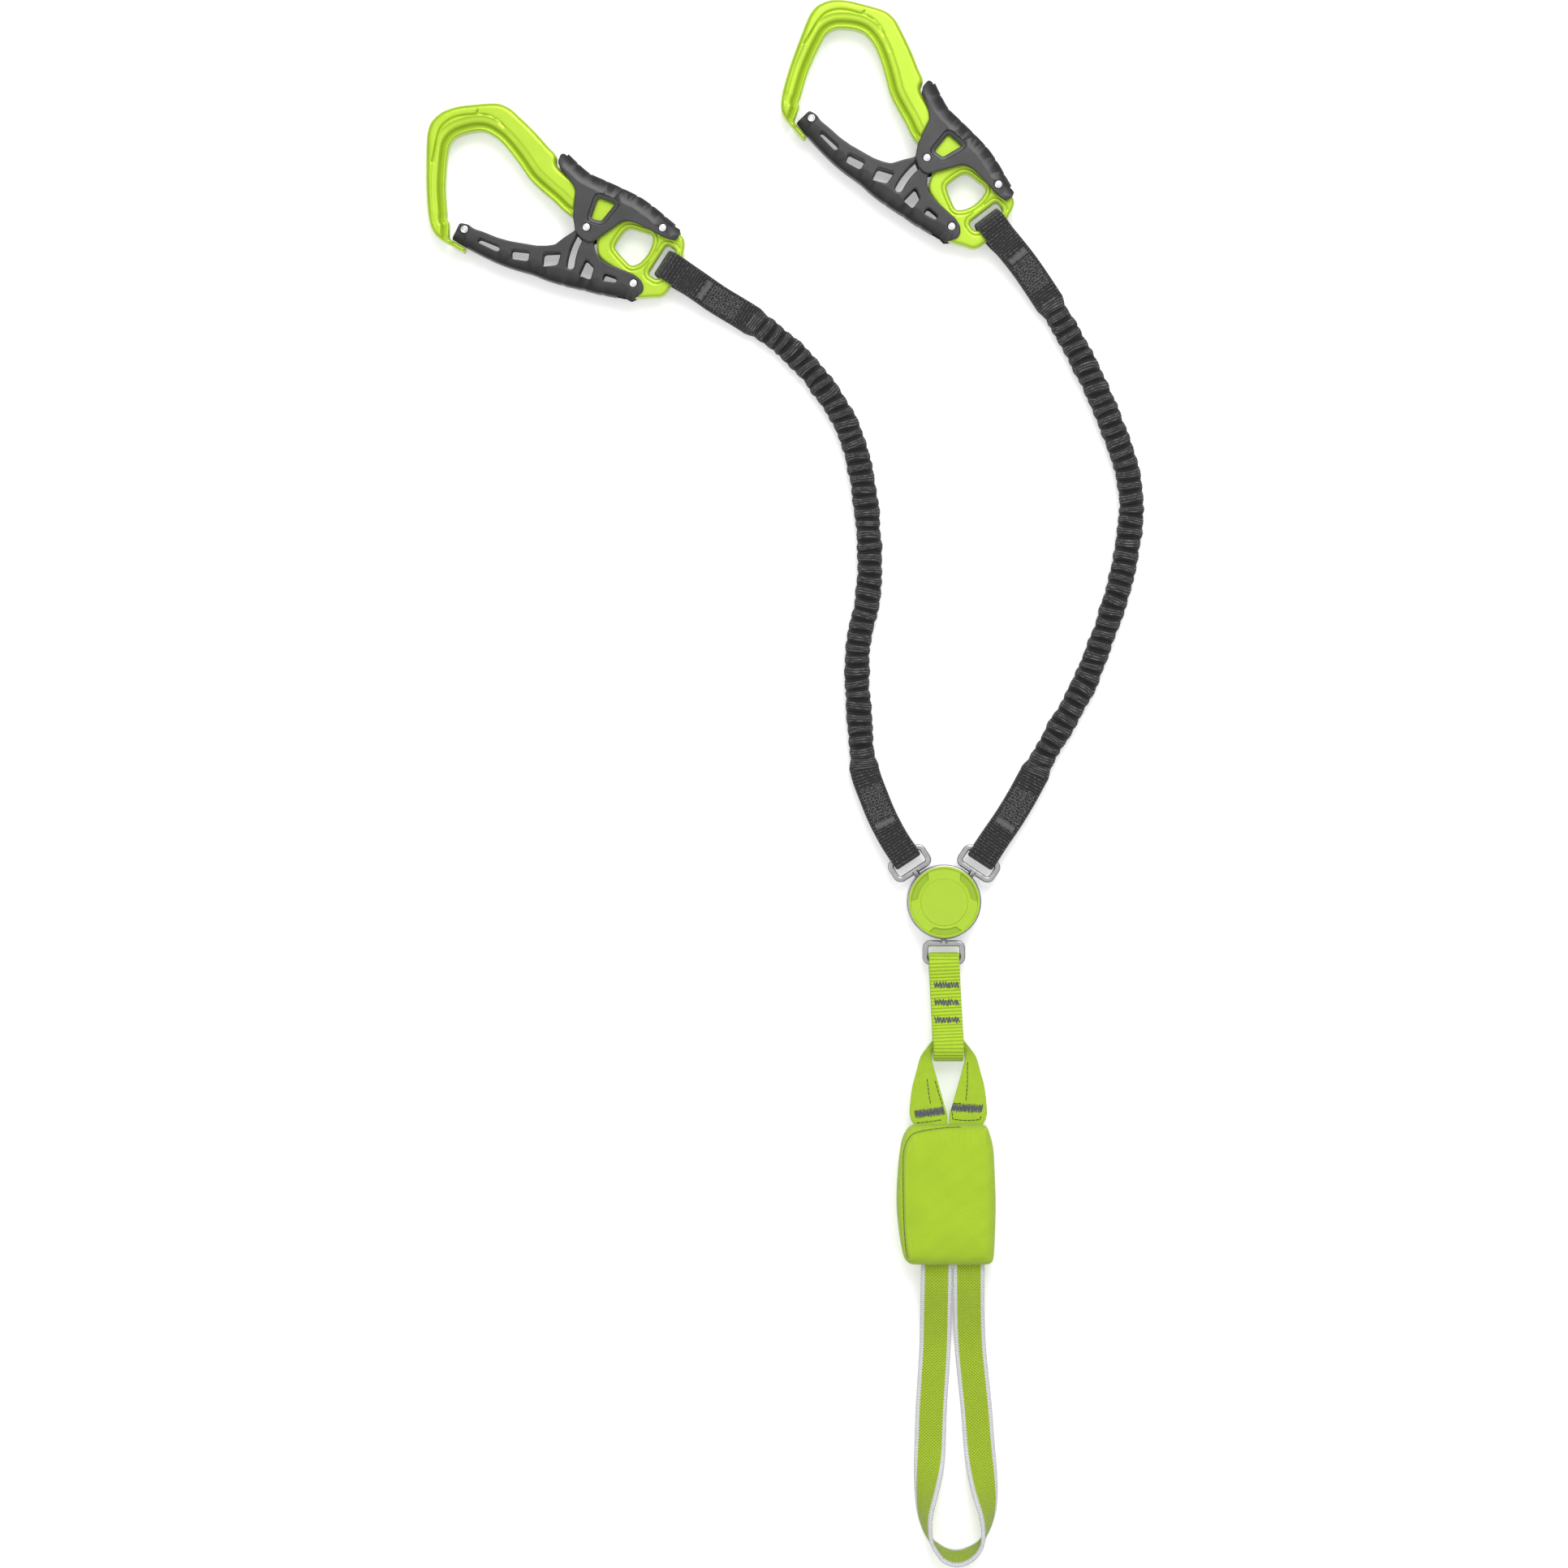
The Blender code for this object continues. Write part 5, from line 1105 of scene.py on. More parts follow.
def inside(points, loops):
    """Which points lie in the loops, counted by how many sides a ray to the right crosses."""
    crossed = np.zeros(len(points), int)
    x, y = points[:, 0][:, None], points[:, 1][:, None]
    for loop in loops:
        a, b = loop, np.roll(loop, -1, axis=0)
        spans = (a[None, :, 1] > y) != (b[None, :, 1] > y)
        rise = np.where(b[:, 1] == a[:, 1], 1, b[:, 1] - a[:, 1])
        at = a[None, :, 0] + (y - a[None, :, 1]) / rise[None] * (b[:, 0] - a[:, 0])[None]
        crossed += (spans & (x < at)).sum(1)
    return crossed % 2 == 1


def even_loop(points, step):
    """A closed loop with points at an even step along it."""
    closed = np.vstack([points, points[:1]])
    along = run_length(closed)
    s = np.linspace(0, along[-1], max(int(round(along[-1] / step)), 6), endpoint=False)
    return np.stack([np.interp(s, along, closed[:, k]) for k in range(2)], axis=1)


def signed_area(loop):
    after = np.roll(loop, -1, axis=0)
    return (loop[:, 0] * after[:, 1] - loop[:, 1] * after[:, 0]).sum() / 2


def plate(name, loops, height, step, edge, lines=()):
    """A plate with a face above and below. Its height at a point is a function of the point and of
    its distance from the nearest edge. The first loop is its outline and the others are its holes.
    Each of lines is a line along which it needs closer points, with the distances beside the line
    where they lie. Its edge attribute is 1 at an edge and falls to 0 away from it."""
    edge_rows, least_away, edge_reach, mark_reach = (0.12, 0.35, 0.68, 1.05), 0.08, 1.25, 1.4
    line_step, line_room, weld = 0.7, 0.5, 0.02
    loops = [even_loop(np.asarray(loop, float), step) for loop in loops]
    loops = [loop if (signed_area(loop) > 0) == (k == 0) else loop[::-1] for k, loop in enumerate(loops)]
    extra, spreads = [], []
    for loop in loops:
        inwards = leftwards(unit(np.roll(loop, -1, axis=0) - np.roll(loop, 1, axis=0)))
        extra += [loop + inwards * edge * share for share in edge_rows]
    near_edge = len(extra)
    for line, offsets in lines:
        line = dense(line, step * line_step)
        side = leftwards(unit(np.gradient(line, axis=0)))
        spreads.append((line, len(extra), len(offsets), np.abs(offsets).max() + step * line_room))
        extra += [line + side * offset for offset in offsets]
    low, high = loops[0].min(0), loops[0].max(0)
    rows = np.arange(low[1], high[1], step * math.sqrt(3) / 2)
    x, y = np.meshgrid(np.arange(low[0], high[0], step), rows)
    x = x + (np.arange(len(rows)) % 2 * step / 2)[:, None]
    extra.append(np.stack([x.ravel(), y.ravel()], axis=1))
    row = np.concatenate([np.full(len(points), k) for k, points in enumerate(extra)])
    points = np.concatenate(extra)
    away = np.min([segment_distance(points, loop) for loop in loops], axis=0)
    keep = inside(points, loops) & (away > edge * least_away)
    keep &= (row < near_edge) | (away > edge * edge_reach)
    for line, first, count, reach in spreads:
        own = (row >= first) & (row < first + count)
        keep &= own | (row < first) | (segment_distance(points, line, closed=False) > reach)
    sides, first = [], 0
    for loop in loops:
        count = len(loop)
        sides += [(first + k, first + (k + 1) % count) for k in range(count)]
        first += count
    spots = [Vector(p) for p in np.concatenate([*loops, points[keep]]).tolist()]
    made = delaunay_2d_cdt(spots, sides, [], 0, step * weld)
    flat = np.array([tuple(v) for v in made[0]])
    faces = np.array([f for f in made[2] if len(f) == 3])
    faces = faces[inside(flat[faces].mean(1), loops)]
    a, b, c = (flat[faces[:, k]] for k in range(3))
    area = (b - a)[:, 0] * (c - a)[:, 1] - (b - a)[:, 1] * (c - a)[:, 0]
    faces[area < 0] = faces[area < 0][:, ::-1]
    used = np.unique(faces)
    order = np.full(len(flat), -1)
    order[used] = np.arange(len(used))
    flat, faces = flat[used], order[faces]
    away = np.min([segment_distance(flat, loop) for loop in loops], axis=0)
    top = height(flat, away)
    count = len(flat)
    ends = np.concatenate([faces[:, [0, 1]], faces[:, [1, 2]], faces[:, [2, 0]]])
    key = ends[:, 0].astype(np.int64) * count + ends[:, 1]
    back = ends[:, 1].astype(np.int64) * count + ends[:, 0]
    rims = ends[~np.isin(key, back)]
    walls = np.stack([rims[:, 1], rims[:, 0], rims[:, 0] + count, rims[:, 1] + count], axis=1)
    points = np.concatenate([np.column_stack([flat, top]), np.column_stack([flat, -top])])
    obj = add_mesh(name, points, faces.tolist() + (faces[:, ::-1] + count).tolist() + walls.tolist())
    # The edge mark is where the frame and gate finishes paint a highlight.
    mark(obj, "edge", np.tile(1 - np.clip(away / (edge * mark_reach), 0, 1), 2))
    return obj


def filleted(points, reach, steps=6):
    """A closed loop whose corners are rounded: each is a bend of the second degree between the two
    places on its sides at that reach from it, or nearer where a side is short."""
    points = np.asarray(points, float)
    before, after = np.roll(points, 1, axis=0), np.roll(points, -1, axis=0)

    def cut_back(other):
        side = other - points
        length = np.linalg.norm(side, axis=1, keepdims=True)
        return points + side * np.minimum(reach / length, 0.48)

    start, end = cut_back(before)[:, None], cut_back(after)[:, None]
    t = np.linspace(0, 1, steps + 1)[None, :, None]
    return ((1 - t) ** 2 * start + 2 * t * (1 - t) * points[:, None] + t**2 * end).reshape(-1, 2)


def rounding(away, edge):
    """How far a rounded edge of that radius has dropped at a distance from it."""
    t = 1 - np.clip(away / edge, 0, 1)
    return edge * (1 - np.sqrt(np.maximum(1 - t**2, 0)))


def circle(centre, radius, sides=24):
    turn = full_turn(sides)
    return np.asarray(centre) + radius * np.stack([np.cos(turn), np.sin(turn)], axis=1)


def rounded_rectangle(half_x, half_y, corner, steps=8):
    turn = np.concatenate([np.linspace(k, k + 1, steps + 1) * math.pi / 2 for k in range(4)])
    quarter = np.repeat(np.arange(4), steps + 1)
    x = np.choose(quarter, [1, -1, -1, 1]) * (half_x - corner)
    y = np.choose(quarter, [1, 1, -1, -1]) * (half_y - corner)
    return np.stack([x + corner * np.cos(turn), y + corner * np.sin(turn)], axis=1)


def cut(obj, cutter):
    """Takes the cutter out of the object with an exact Boolean, and keeps the result as its mesh."""
    modifier = obj.modifiers.new("cut", "BOOLEAN")
    modifier.operation = "DIFFERENCE"
    modifier.solver = "EXACT"
    modifier.object = cutter
    graph = bpy.context.evaluated_depsgraph_get()
    mesh = bpy.data.meshes.new_from_object(obj.evaluated_get(graph))
    obj.modifiers.clear()
    obj.data = mesh
    bpy.data.objects.remove(cutter)
    mesh.set_sharp_from_angle(angle=SHARP_ANGLE)
    return obj


def prism(name, loop, half):
    """A straight-sided block over a closed loop."""
    loop = np.asarray(loop, float)
    if signed_area(loop) < 0:
        loop = loop[::-1]
    count = len(loop)
    points = np.concatenate([np.column_stack([loop, np.full(count, z)]) for z in (half, -half)])
    k = np.arange(count)
    walls = np.stack([(k + 1) % count, k, k + count, (k + 1) % count + count], axis=1)
    faces = [k.tolist(), (k[::-1] + count).tolist(), *walls.tolist()]
    return add_mesh(name, points, faces)


# Stitching


def laid(target, paths, lift):
    """Paths in plan laid on the topmost face of the target under them, lifted a little."""
    mesh = target.data
    tree = BVHTree.FromPolygons([v.co for v in mesh.vertices], [p.vertices for p in mesh.polygons])
    down = Vector((0, 0, -1))
    made = []
    for path in paths:
        hits = [tree.ray_cast(Vector((x, y, 1)), down)[0] for x, y in path]
        met = np.array([hit is not None for hit in hits])
        if met.sum() >= 2:
            heights = np.array([hit.z for hit in hits if hit is not None])
            made.append(np.column_stack([np.asarray(path)[met], heights + lift]))
    return made


def dense(path, step):
    """The path with points at an even step along it."""
    path = np.asarray(path, float)
    along = run_length(path)
    s = np.linspace(0, along[-1], max(int(along[-1] / step) + 1, 2))
    return np.stack([np.interp(s, along, path[:, k]) for k in range(path.shape[1])], axis=1)


def zigzag(start, end, height, pitch, seed, slack=0.12):
    """A zigzag from start to end in plan, of that height and pitch, with hand-sewn unevenness."""
    start, end = np.array(start, float), np.array(end, float)
    way = unit(end - start)
    side = np.array([-way[1], way[0]])
    length = float(np.linalg.norm(end - start))
    count = max(int(length / pitch * 2), 4)
    chance = np.random.default_rng(seed)
    s = np.linspace(0, length, count) + chance.uniform(-1, 1, count) * pitch * slack
    up = np.where(np.arange(count) % 2 == 0, 1, -1) * height / 2
    up = up * (1 + chance.uniform(-1, 1, count) * slack)
    return start + way * s[:, None] + side * up[:, None]


def dashes(path, length, space):
    """The runs of a path that a running stitch shows."""
    fine = dense(path, length / 4)
    along = run_length(fine)
    count = max(int(along[-1] / (length + space)), 1)
    starts = np.arange(count) * (length + space)
    return [
        np.stack([np.interp(s + np.linspace(0, length, 5), along, fine[:, k]) for k in range(2)], axis=1)
        for s in starts
    ]


def sew(name, cloth, paths, lift, thickness, look_of, body, slot, sides=6):
    """Lays threads on a cloth along paths in plan, and makes one piece of them."""
    return finish_piece(tubes(name, laid(cloth, paths, lift), thickness, sides), look_of, body, slot)


# Pieces


def arm_routes():
    """Each arm's line in plan, from its link's bar to its carabiner's slot."""
    routes = {}
    for side, shares in ARM_ROUTE_SHARES.items():
        angle, offset = LINK_ANGLES[side], LINK_OFFSETS[side]
        away = np.array([math.cos(angle), math.sin(angle)])
        bar = away * LINK_BAR_DISTANCE + leftwards(away) * offset
        routes[side] = Route(scaled(shares, ARM_REACH) + bar)
    return routes


def sleeve_line(route, step):
    """The distances along an arm at which its gathered run is read, and the points there."""
    start = SWIVEL_END_REACH - SLEEVE_LAP
    end = route.length - CARABINER_END_REACH + SLEEVE_LAP
    s = np.linspace(start, end, int((end - start) / step) + 1)
    return s, np.column_stack([route.at(s), np.full(len(s), SLEEVE_MID)])


def gathered_sleeve(side, route, seed):
    """Webbing gathered over an elastic core. Point (i, j) is the centre line at i plus a rounded
    section at angle j, less a valley between gathers that follows a power of a sine of the phase,
    deepest on top and shallow at the sides. Each gather has its own length, depth and slant."""
    pitch, depth = sizes().ruche_pitch, sizes().ruche_depth
    s, centre = sleeve_line(route, pitch / 14)
    chance = np.random.default_rng(seed)
    count = int(round((s[-1] - s[0]) / pitch))
    edges = np.linspace(s[0], s[-1], count + 1)
    edges[1:-1] += chance.uniform(-0.12, 0.12, count - 1) * pitch
    phase = np.interp(s, edges, np.arange(count + 1))[:, None]
    middles = np.arange(count) + 0.5

    def varied(low, high):
        return np.interp(phase[:, 0], middles, chance.uniform(low, high, count))[:, None]

    sides, squareness = 64, 0.70
    fine_size, wobble_size, wave_size = 0.00010, 0.00016, 0.00010
    fit_reach, narrow_reach, swell_reach = 0.010, 0.006, 0.008
    floor_play = 0.00005
    turn = full_turn(sides)[None]
    cos, sin = np.cos(turn), np.sin(turn)
    tilt = varied(-0.16, 0.16) * cos + 0.05 * np.sin(3 * turn + varied(0, 6))
    gather = phase + tilt
    ridge = np.abs(np.sin(math.pi * gather))
    deep = depth * varied(0.75, 1.1) * (0.34 + 0.66 * np.abs(sin))
    drop = deep * (1 - ridge**0.85)
    fine = fine_size * np.sin(2 * math.pi * gather * 4) * ridge
    wobble = wobble_size * np.sin(2 * turn + phase * 1.7) + wave_size * np.sin(5 * turn - phase * 2.3)
    out = varied(-0.0002, 0.0003) + fine + wobble - drop
    near = np.minimum(s - s[0], s[-1] - s)[:, None]
    fit = eased(near / fit_reach)
    half_width = blend(ARM_WIDTH / 2 + 0.0002, SLEEVE_WIDTH / 2 + 0.0001, near / narrow_reach)
    half_height = blend(ARM_PLY + 2 * GAP, SLEEVE_THICKNESS / 2 + 0.0002, near / swell_reach)
    x = signed_power(cos, squareness) * (half_width + out * fit)
    y = signed_power(sin, squareness) * (half_height + out * fit)
    y = np.maximum(y, -SLEEVE_MID + floor_play)
    across = level_across(route.way(s))
    points = centre[:, None] + across[:, None] * x[..., None] + UP * y[..., None]
    along = np.concatenate([gather, gather[:, :1]], axis=1) * pitch
    round_run = np.arange(sides + 1) / sides * math.pi * (SLEEVE_WIDTH + SLEEVE_THICKNESS) / 2
    obj = surface(f"gathered_sleeve_{side}", points, paired(along, round_run[None]))
    # The valley mark is where the finish paints shade: between gathers, most on top.
    mark(obj, "valley", (1 - ridge) * fit * (0.4 + 0.6 * np.abs(sin)))
    return obj, centre


def strap_line(route, bar_height, eye, reach):
    """The strap's line: back from the gathers, half a turn round its bar, and out again above."""
    start_half, end_half = eye + ARM_PLY / 2, (ARM_PLY + GAP) / 2
    spread = reach * (np.linspace(0, 1, 56) ** 1.25)

    def height(s, side):
        slope = (s / reach - SLOPE_START_SHARE) / (1 - SLOPE_START_SHARE)
        return blend(bar_height, SLEEVE_MID, slope) + side * blend(start_half, end_half, s / PINCH_REACH)

    turn = np.linspace(0, math.pi, 22)[1:-1]
    s = np.concatenate([spread[::-1], -start_half * np.sin(turn), spread])
    fold = bar_height - start_half * np.cos(turn)
    z = np.concatenate([height(spread[::-1], -1), fold, height(spread, 1)])
    return np.column_stack([route.at(s), z]), level_across(route.way(np.maximum(s, 0)))


def strap_stitches(route, seed):
    """Plan paths of the sewing on a strap end: a close, ragged bar tack, then a field of short
    stitches in columns that slant to one side and the other by turns."""
    half = ARM_WIDTH / 2 - 0.0016
    layers, zigs, ragged = 2, 34, 0.0005
    columns, rows = 11, 17
    field_start = TACK_REACH[1] + 0.0006
    field_length = FIELD_END - TACK_REACH[1]
    chance = np.random.default_rng(seed)

    def plan(s, t):
        return route.at(s) + leftwards(route.way(s)) * t[..., None]

    paths = []
    for _ in range(layers):
        t = np.linspace(-half * 0.9, half * 0.9, zigs)
        s = np.where(np.arange(zigs) % 2 == 0, *TACK_REACH) + chance.uniform(-ragged, ragged, zigs)
        paths.append(plan(s, t))
    for column in range(columns):
        for row in range(rows):
            s = field_start + field_length * (row + chance.uniform(0.1, 0.9)) / rows
            t = half * (2 * (column + chance.uniform(0.1, 0.9)) / columns - 1)
            length = chance.uniform(0.0007, 0.0013)
            slant = (1 if (row + column) % 2 else -1) * chance.uniform(0.4, 1.1)
            ends = np.array([-0.5, 0.0, 0.5]) * length
            t = np.clip(t + ends * math.sin(slant), -half, half)
            paths.append(plan(s + ends * math.cos(slant), t))
    return paths


def link_matrix(name):
    """Where a link lies: out along its angle, and beside the swivel's middle by its offset."""
    angle = LINK_ANGLES[name]
    side = np.array([-math.sin(angle), math.cos(angle)]) * LINK_OFFSETS[name]
    return flat_turn(angle, (*side, SWIVEL_MID))


def carabiner_matrix(side, route):
    """Where a carabiner lies: turned, with the middle of its slot's bar at the arm's end."""
    size, turn = CARABINER_LENGTH, CARABINER_TURNS[side]
    bar = (STRAP_CENTRE_SHARE * size, FRAME_FOOT_SHARE * size + SLOT_BAR_WIDTH / 2)
    corner = route.core[-1] - about(bar, (0, 0), turn)
    return flat_turn(turn, (*corner, CARABINER_MID))


def about(point, centre, angle):
    """A point in plan turned about a centre."""
    cos, sin = math.cos(angle), math.sin(angle)
    x, y = point[0] - centre[0], point[1] - centre[1]
    return np.array([centre[0] + cos * x - sin * y, centre[1] + sin * x + cos * y])


def pin_slot():
    """The gate's slot for the lever's cross pin: its path as the lever is pressed, made as wide as
    the pin with its play, with round ends."""
    size = CARABINER_LENGTH
    lever_pivot, gate_pivot, pin = (
        scaled(shares, size) for shares in (LEVER_PIVOT_SHARES, GATE_PIVOT_SHARES, CROSS_PIN_SHARES)
    )
    steps = 8
    path = []
    for step in range(steps + 1):
        press = LEVER_PRESS * SLOT_EXTRA * step / steps
        path.append(about(about(pin, lever_pivot, press), gate_pivot, -GATE_PER_LEVER * press))
    path = np.array(path)
    half = PIN_RADIUS + GAP
    way = unit(np.gradient(path, axis=0))
    side = -leftwards(way)
    turn = np.linspace(-math.pi / 2, math.pi / 2, 9)[1:-1]

    def end(middle, direction):
        angle = math.atan2(direction[1], direction[0]) + turn
        return middle + half * np.stack([np.cos(angle), np.sin(angle)], axis=1)

    one, other = path + side * half, (path - side * half)[::-1]
    return np.vstack([one, end(path[-1], way[-1]), other, end(path[0], -way[0])])


def bow_groove_lines(size):
    """The two fine grooves in the face of the bow: one over its top, and one at the spine's head."""
    top = smooth(scaled([
        (-0.119, 0.442), (-0.085, 0.455), (-0.048, 0.470), (-0.010, 0.480), (0.015, 0.477),
        (0.045, 0.463), (0.070, 0.440), (0.090, 0.414), (0.100, 0.402), (0.112, 0.404),
    ], size), 8)
    spine = smooth(scaled([
        (0.103, 0.394), (0.116, 0.372), (0.122, 0.343), (0.119, 0.310), (0.109, 0.279), (0.098, 0.240),
    ], size), 8)
    return top, spine


def build_frame(side, matrix):
    """A carabiner's frame. The bow's height drops in a rounding at its edges, and towards the basket
    in a fine step, then a wide slope, then a rim; two fine grooves are pressed into its faces. The
    plate below is thinner, with a groove round its window and its slot."""
    size = CARABINER_LENGTH
    step, bow_edge, basket_edge, plate_edge = 0.0007, 0.0024, 0.0013, 0.0015
    outline = smooth(scaled(BOW_SHARES, size), 4, closed=True)
    basket = smooth(scaled(BOW_SHARES, size)[BOW_INNER], 6)
    top, spine = bow_groove_lines(size)

    def bow_height(points, away):
        near = segment_distance(points, basket, closed=False)
        drop = np.zeros(len(points))
        for deep, start, reach in BOW_FALLS:
            drop += deep * (1 - rises(near, start, reach))
        for line, deep in ((top, TOP_GROOVE_DEPTH), (spine, SPINE_GROOVE_DEPTH)):
            drop += deep * bell(segment_distance(points, line, closed=False), BOW_GROOVE_WIDTH)
        edge = np.where(near < away + 0.0001, basket_edge, bow_edge)
        return BOW_HALF - rounding(away, edge) - drop

    bow = plate(
        f"frame_bow_{side}", [outline], bow_height, step, basket_edge,
        [(top, BESIDE_GROOVE), (basket, -BESIDE_BASKET), (spine, BESIDE_GROOVE)],
    )
    bar_edge = FRAME_FOOT_SHARE * size + SLOT_BAR_WIDTH
    slot_top = bar_edge + GAP + ARM_PLY + SLOT_PLAY
    slot = rounded_rectangle(ARM_WIDTH / 2 + SLOT_PLAY / 2, (slot_top - bar_edge) / 2, SLOT_CORNER)
    slot = slot + np.array([STRAP_CENTRE_SHARE * size, (bar_edge + slot_top) / 2])
    window = smooth(scaled(WINDOW_SHARES, size), 4, closed=True)
    loops = [smooth(scaled(PLATE_SHARES, size), 4, closed=True), window, slot]

    def plate_height(points, away):
        rim = np.minimum(segment_distance(points, window), segment_distance(points, slot))
        groove = PLATE_GROOVE_DEPTH * bell(rim - BESIDE_HOLE[2], PLATE_GROOVE_WIDTH)
        return PLATE_HALF - rounding(away, plate_edge) - groove * rises(away, 0.0016, 0.0006)

    closed = [np.vstack([loop, loop[:1]]) for loop in (window, slot)]
    closed = [loop if signed_area(loop) > 0 else loop[::-1] for loop in closed]
    lower = plate(
        f"frame_plate_{side}", loops, plate_height, step, plate_edge,
        [(loop, -BESIDE_HOLE) for loop in closed],
    )
    mouth = np.eye(4)
    mouth[:3, :3] = [(0, 0, 1), (0, 1, 0), (-1, 0, 0)]
    mouth[:2, 3] = scaled(SPRING_SHARES, size)
    for obj in (bow, lower):
        pocket = prism("spring_pocket", circle((0, 0), SPRING_RADIUS + GAP), SPRING_POCKET)
        cut(obj, carry(pocket, mouth))
        carry(obj, matrix)
    return bow, lower


def build_shell(name, grip, inner, holes, web_ends, half_inner, relief, notches, matrix, lines=()):
    """A gate or lever: a channel of two cheeks and a back, whose faces relief gives as a function of
    the points, their distance from the edges and their distance from the grip side."""
    size = CARABINER_LENGTH
    back = smooth(scaled(grip, size), 10)
    side = 1 if np.mean(back[:, 0]) > np.mean(scaled(inner, size)[:, 0]) else -1
    for y, deep, wide in notches:
        back[:, 0] -= side * deep * bell(back[:, 1] - y * size, wide)
    ends = filleted(np.vstack([back[-1:], scaled(inner, size), back[:1]]), 0.0011, 4)
    inner_edge = np.vstack([back[-1:], ends[5:-5], back[:1]])
    outline = np.vstack([back, inner_edge[1:-1]])
    smoothed = smooth(scaled(grip, size), 10)

    def height(points, away):
        # Over the channel the wall never wears through: shallow parts level off above its inside.
        near = segment_distance(points, smoothed, closed=False)
        shaped = relief(points, away, near)
        walled = half_inner + SHELL_LEAST * np.logaddexp(0, (shaped - half_inner) / SHELL_LEAST)
        return blend(shaped, walled, (near - WEB + 2 * SHELL_REACH) / SHELL_REACH)

    step, edge = 0.00075, 0.0007
    obj = plate(name, [outline, *holes], height, step, edge, [(smoothed, BESIDE_GRIP * side), *lines])
    foot, head = (share * size for share in web_ends)
    way = unit(np.gradient(smoothed, axis=0))
    line = smoothed - leftwards(way) * WEB * side
    web = line[(line[:, 1] > foot) & (line[:, 1] < head)]
    shut = head > smoothed[0][1]
    outside = side * size / 2
    channel = [
        *([] if shut else [(outside, web[0][1])]),
        *web.tolist(),
        (outside, web[-1][1]),
        (outside, -size),
        (-outside, -size),
        (-outside, size),
        (web[0][0] if shut else outside, size),
    ]
    cut(obj, prism(name + "_channel", channel, half_inner))
    near = segment_distance(mesh_points(obj.data)[:, :2], smoothed, closed=False)
    # The grip mark is where the black finish paints shade, along the grip side.
    mark(obj, "grip", 1 - rises(near, 0.0046, 0.0012))
    return carry(obj, matrix)


def fallen(near, reach):
    """An oval fall towards the grip side: 0 at it, 1 at the reach and beyond."""
    return np.sqrt(np.maximum(1 - (1 - np.clip(near / reach, 0, 1)) ** 2.2, 0))


def gate_relief(points, away, near):
    """The gate's faces: flat cheeks with sharp edges, a step down at the grip, then an oval fall
    with low bumps along it."""
    step_depth, bump_height, bump_pitch, bump_reach = 0.00055, 0.00022, 0.0085, 0.004
    oval_reach, edge = 0.0047, 0.0006
    face = GATE_HALF - step_depth * (1 - rises(near, 0.0050, 0.0006))
    bumps = bump_height * np.sin(points[:, 1] * 2 * math.pi / bump_pitch)
    bumps = bumps * (1 - eased(near / bump_reach))
    oval = GATE_HALF * (0.36 + 0.64 * fallen(near, oval_reach)) + bumps
    return np.minimum(face, oval) - rounding(away, edge) * np.clip(near / bump_reach, 0.15, 1)


def build_lever_relief(size):
    """The lever's faces: a padded strip along its grip with gaps between the pads, a crease, then a
    cheek that is sunk round its hole."""
    hole = filleted(scaled(LEVER_HOLE_SHARES, size), LEVER_HOLE_FILLET)
    crease_depth, strip_depth, gap_depth = 0.00040, 0.00022, 0.00038
    sunk_depth, slope_depth, sunk_reach = 0.00062, 0.0002, 0.0019
    gap_width, oval_reach, edge = 0.00045, 0.0042, 0.0005

    def relief(points, away, near):
        crease = crease_depth * bell(near - 0.0058, 0.00030)
        strip = strip_depth * rises(near, 0.0060, 0.0005)
        gaps = np.zeros(len(points))
        for share in LEVER_GAP_SHARES:
            gaps += bell(points[:, 1] - share * size, gap_width)
        gaps = gap_depth * np.clip(gaps, 0, 1) * (1 - rises(near, 0.0036, 0.0012))
        around = segment_distance(points, hole)
        sunk = sunk_depth * (1 - rises(around, sunk_reach, 0.00030))
        sunk += slope_depth * (1 - eased(around / sunk_reach))
        face = LEVER_HALF - strip - crease - gaps - sunk
        oval = LEVER_HALF * (0.34 + 0.66 * fallen(near, oval_reach)) - gaps
        return np.minimum(face, oval) - rounding(away, edge) * np.clip(near / 0.004, 0.15, 1)

    return relief


def build_rivet(name, place, half, matrix, hollow=False):
    """A rivet turned from one profile: a domed head above and below a straight pin. A hollow one
    has a dip in each head."""
    top = half + GAP + HEAD_HEIGHT
    turn = np.linspace(0.02, 1, 14) * math.pi / 2
    dome = np.stack([HEAD_RADIUS * np.sin(turn), top - HEAD_HEIGHT * 0.85 * (1 - np.cos(turn))], axis=1)
    if hollow:
        middle, floor, brim = 0.0001, top - 0.0009, top - 0.0002
        dip = np.array([(middle, floor), (HEAD_RADIUS * 0.5, floor), (HEAD_RADIUS * 0.62, brim)])
        dome = np.vstack([dip, dome[dome[:, 0] > HEAD_RADIUS * 0.66]])
    upper = np.vstack([dome, [(HEAD_RADIUS, half + GAP), (PIN_RADIUS, half + GAP)]])
    lower = upper[::-1] * np.array([1, -1])
    points, uv = turned(np.vstack([upper, lower]), 40)
    points = points + np.array([*place, 0.0])
    return carry(surface(name, points, uv), matrix)


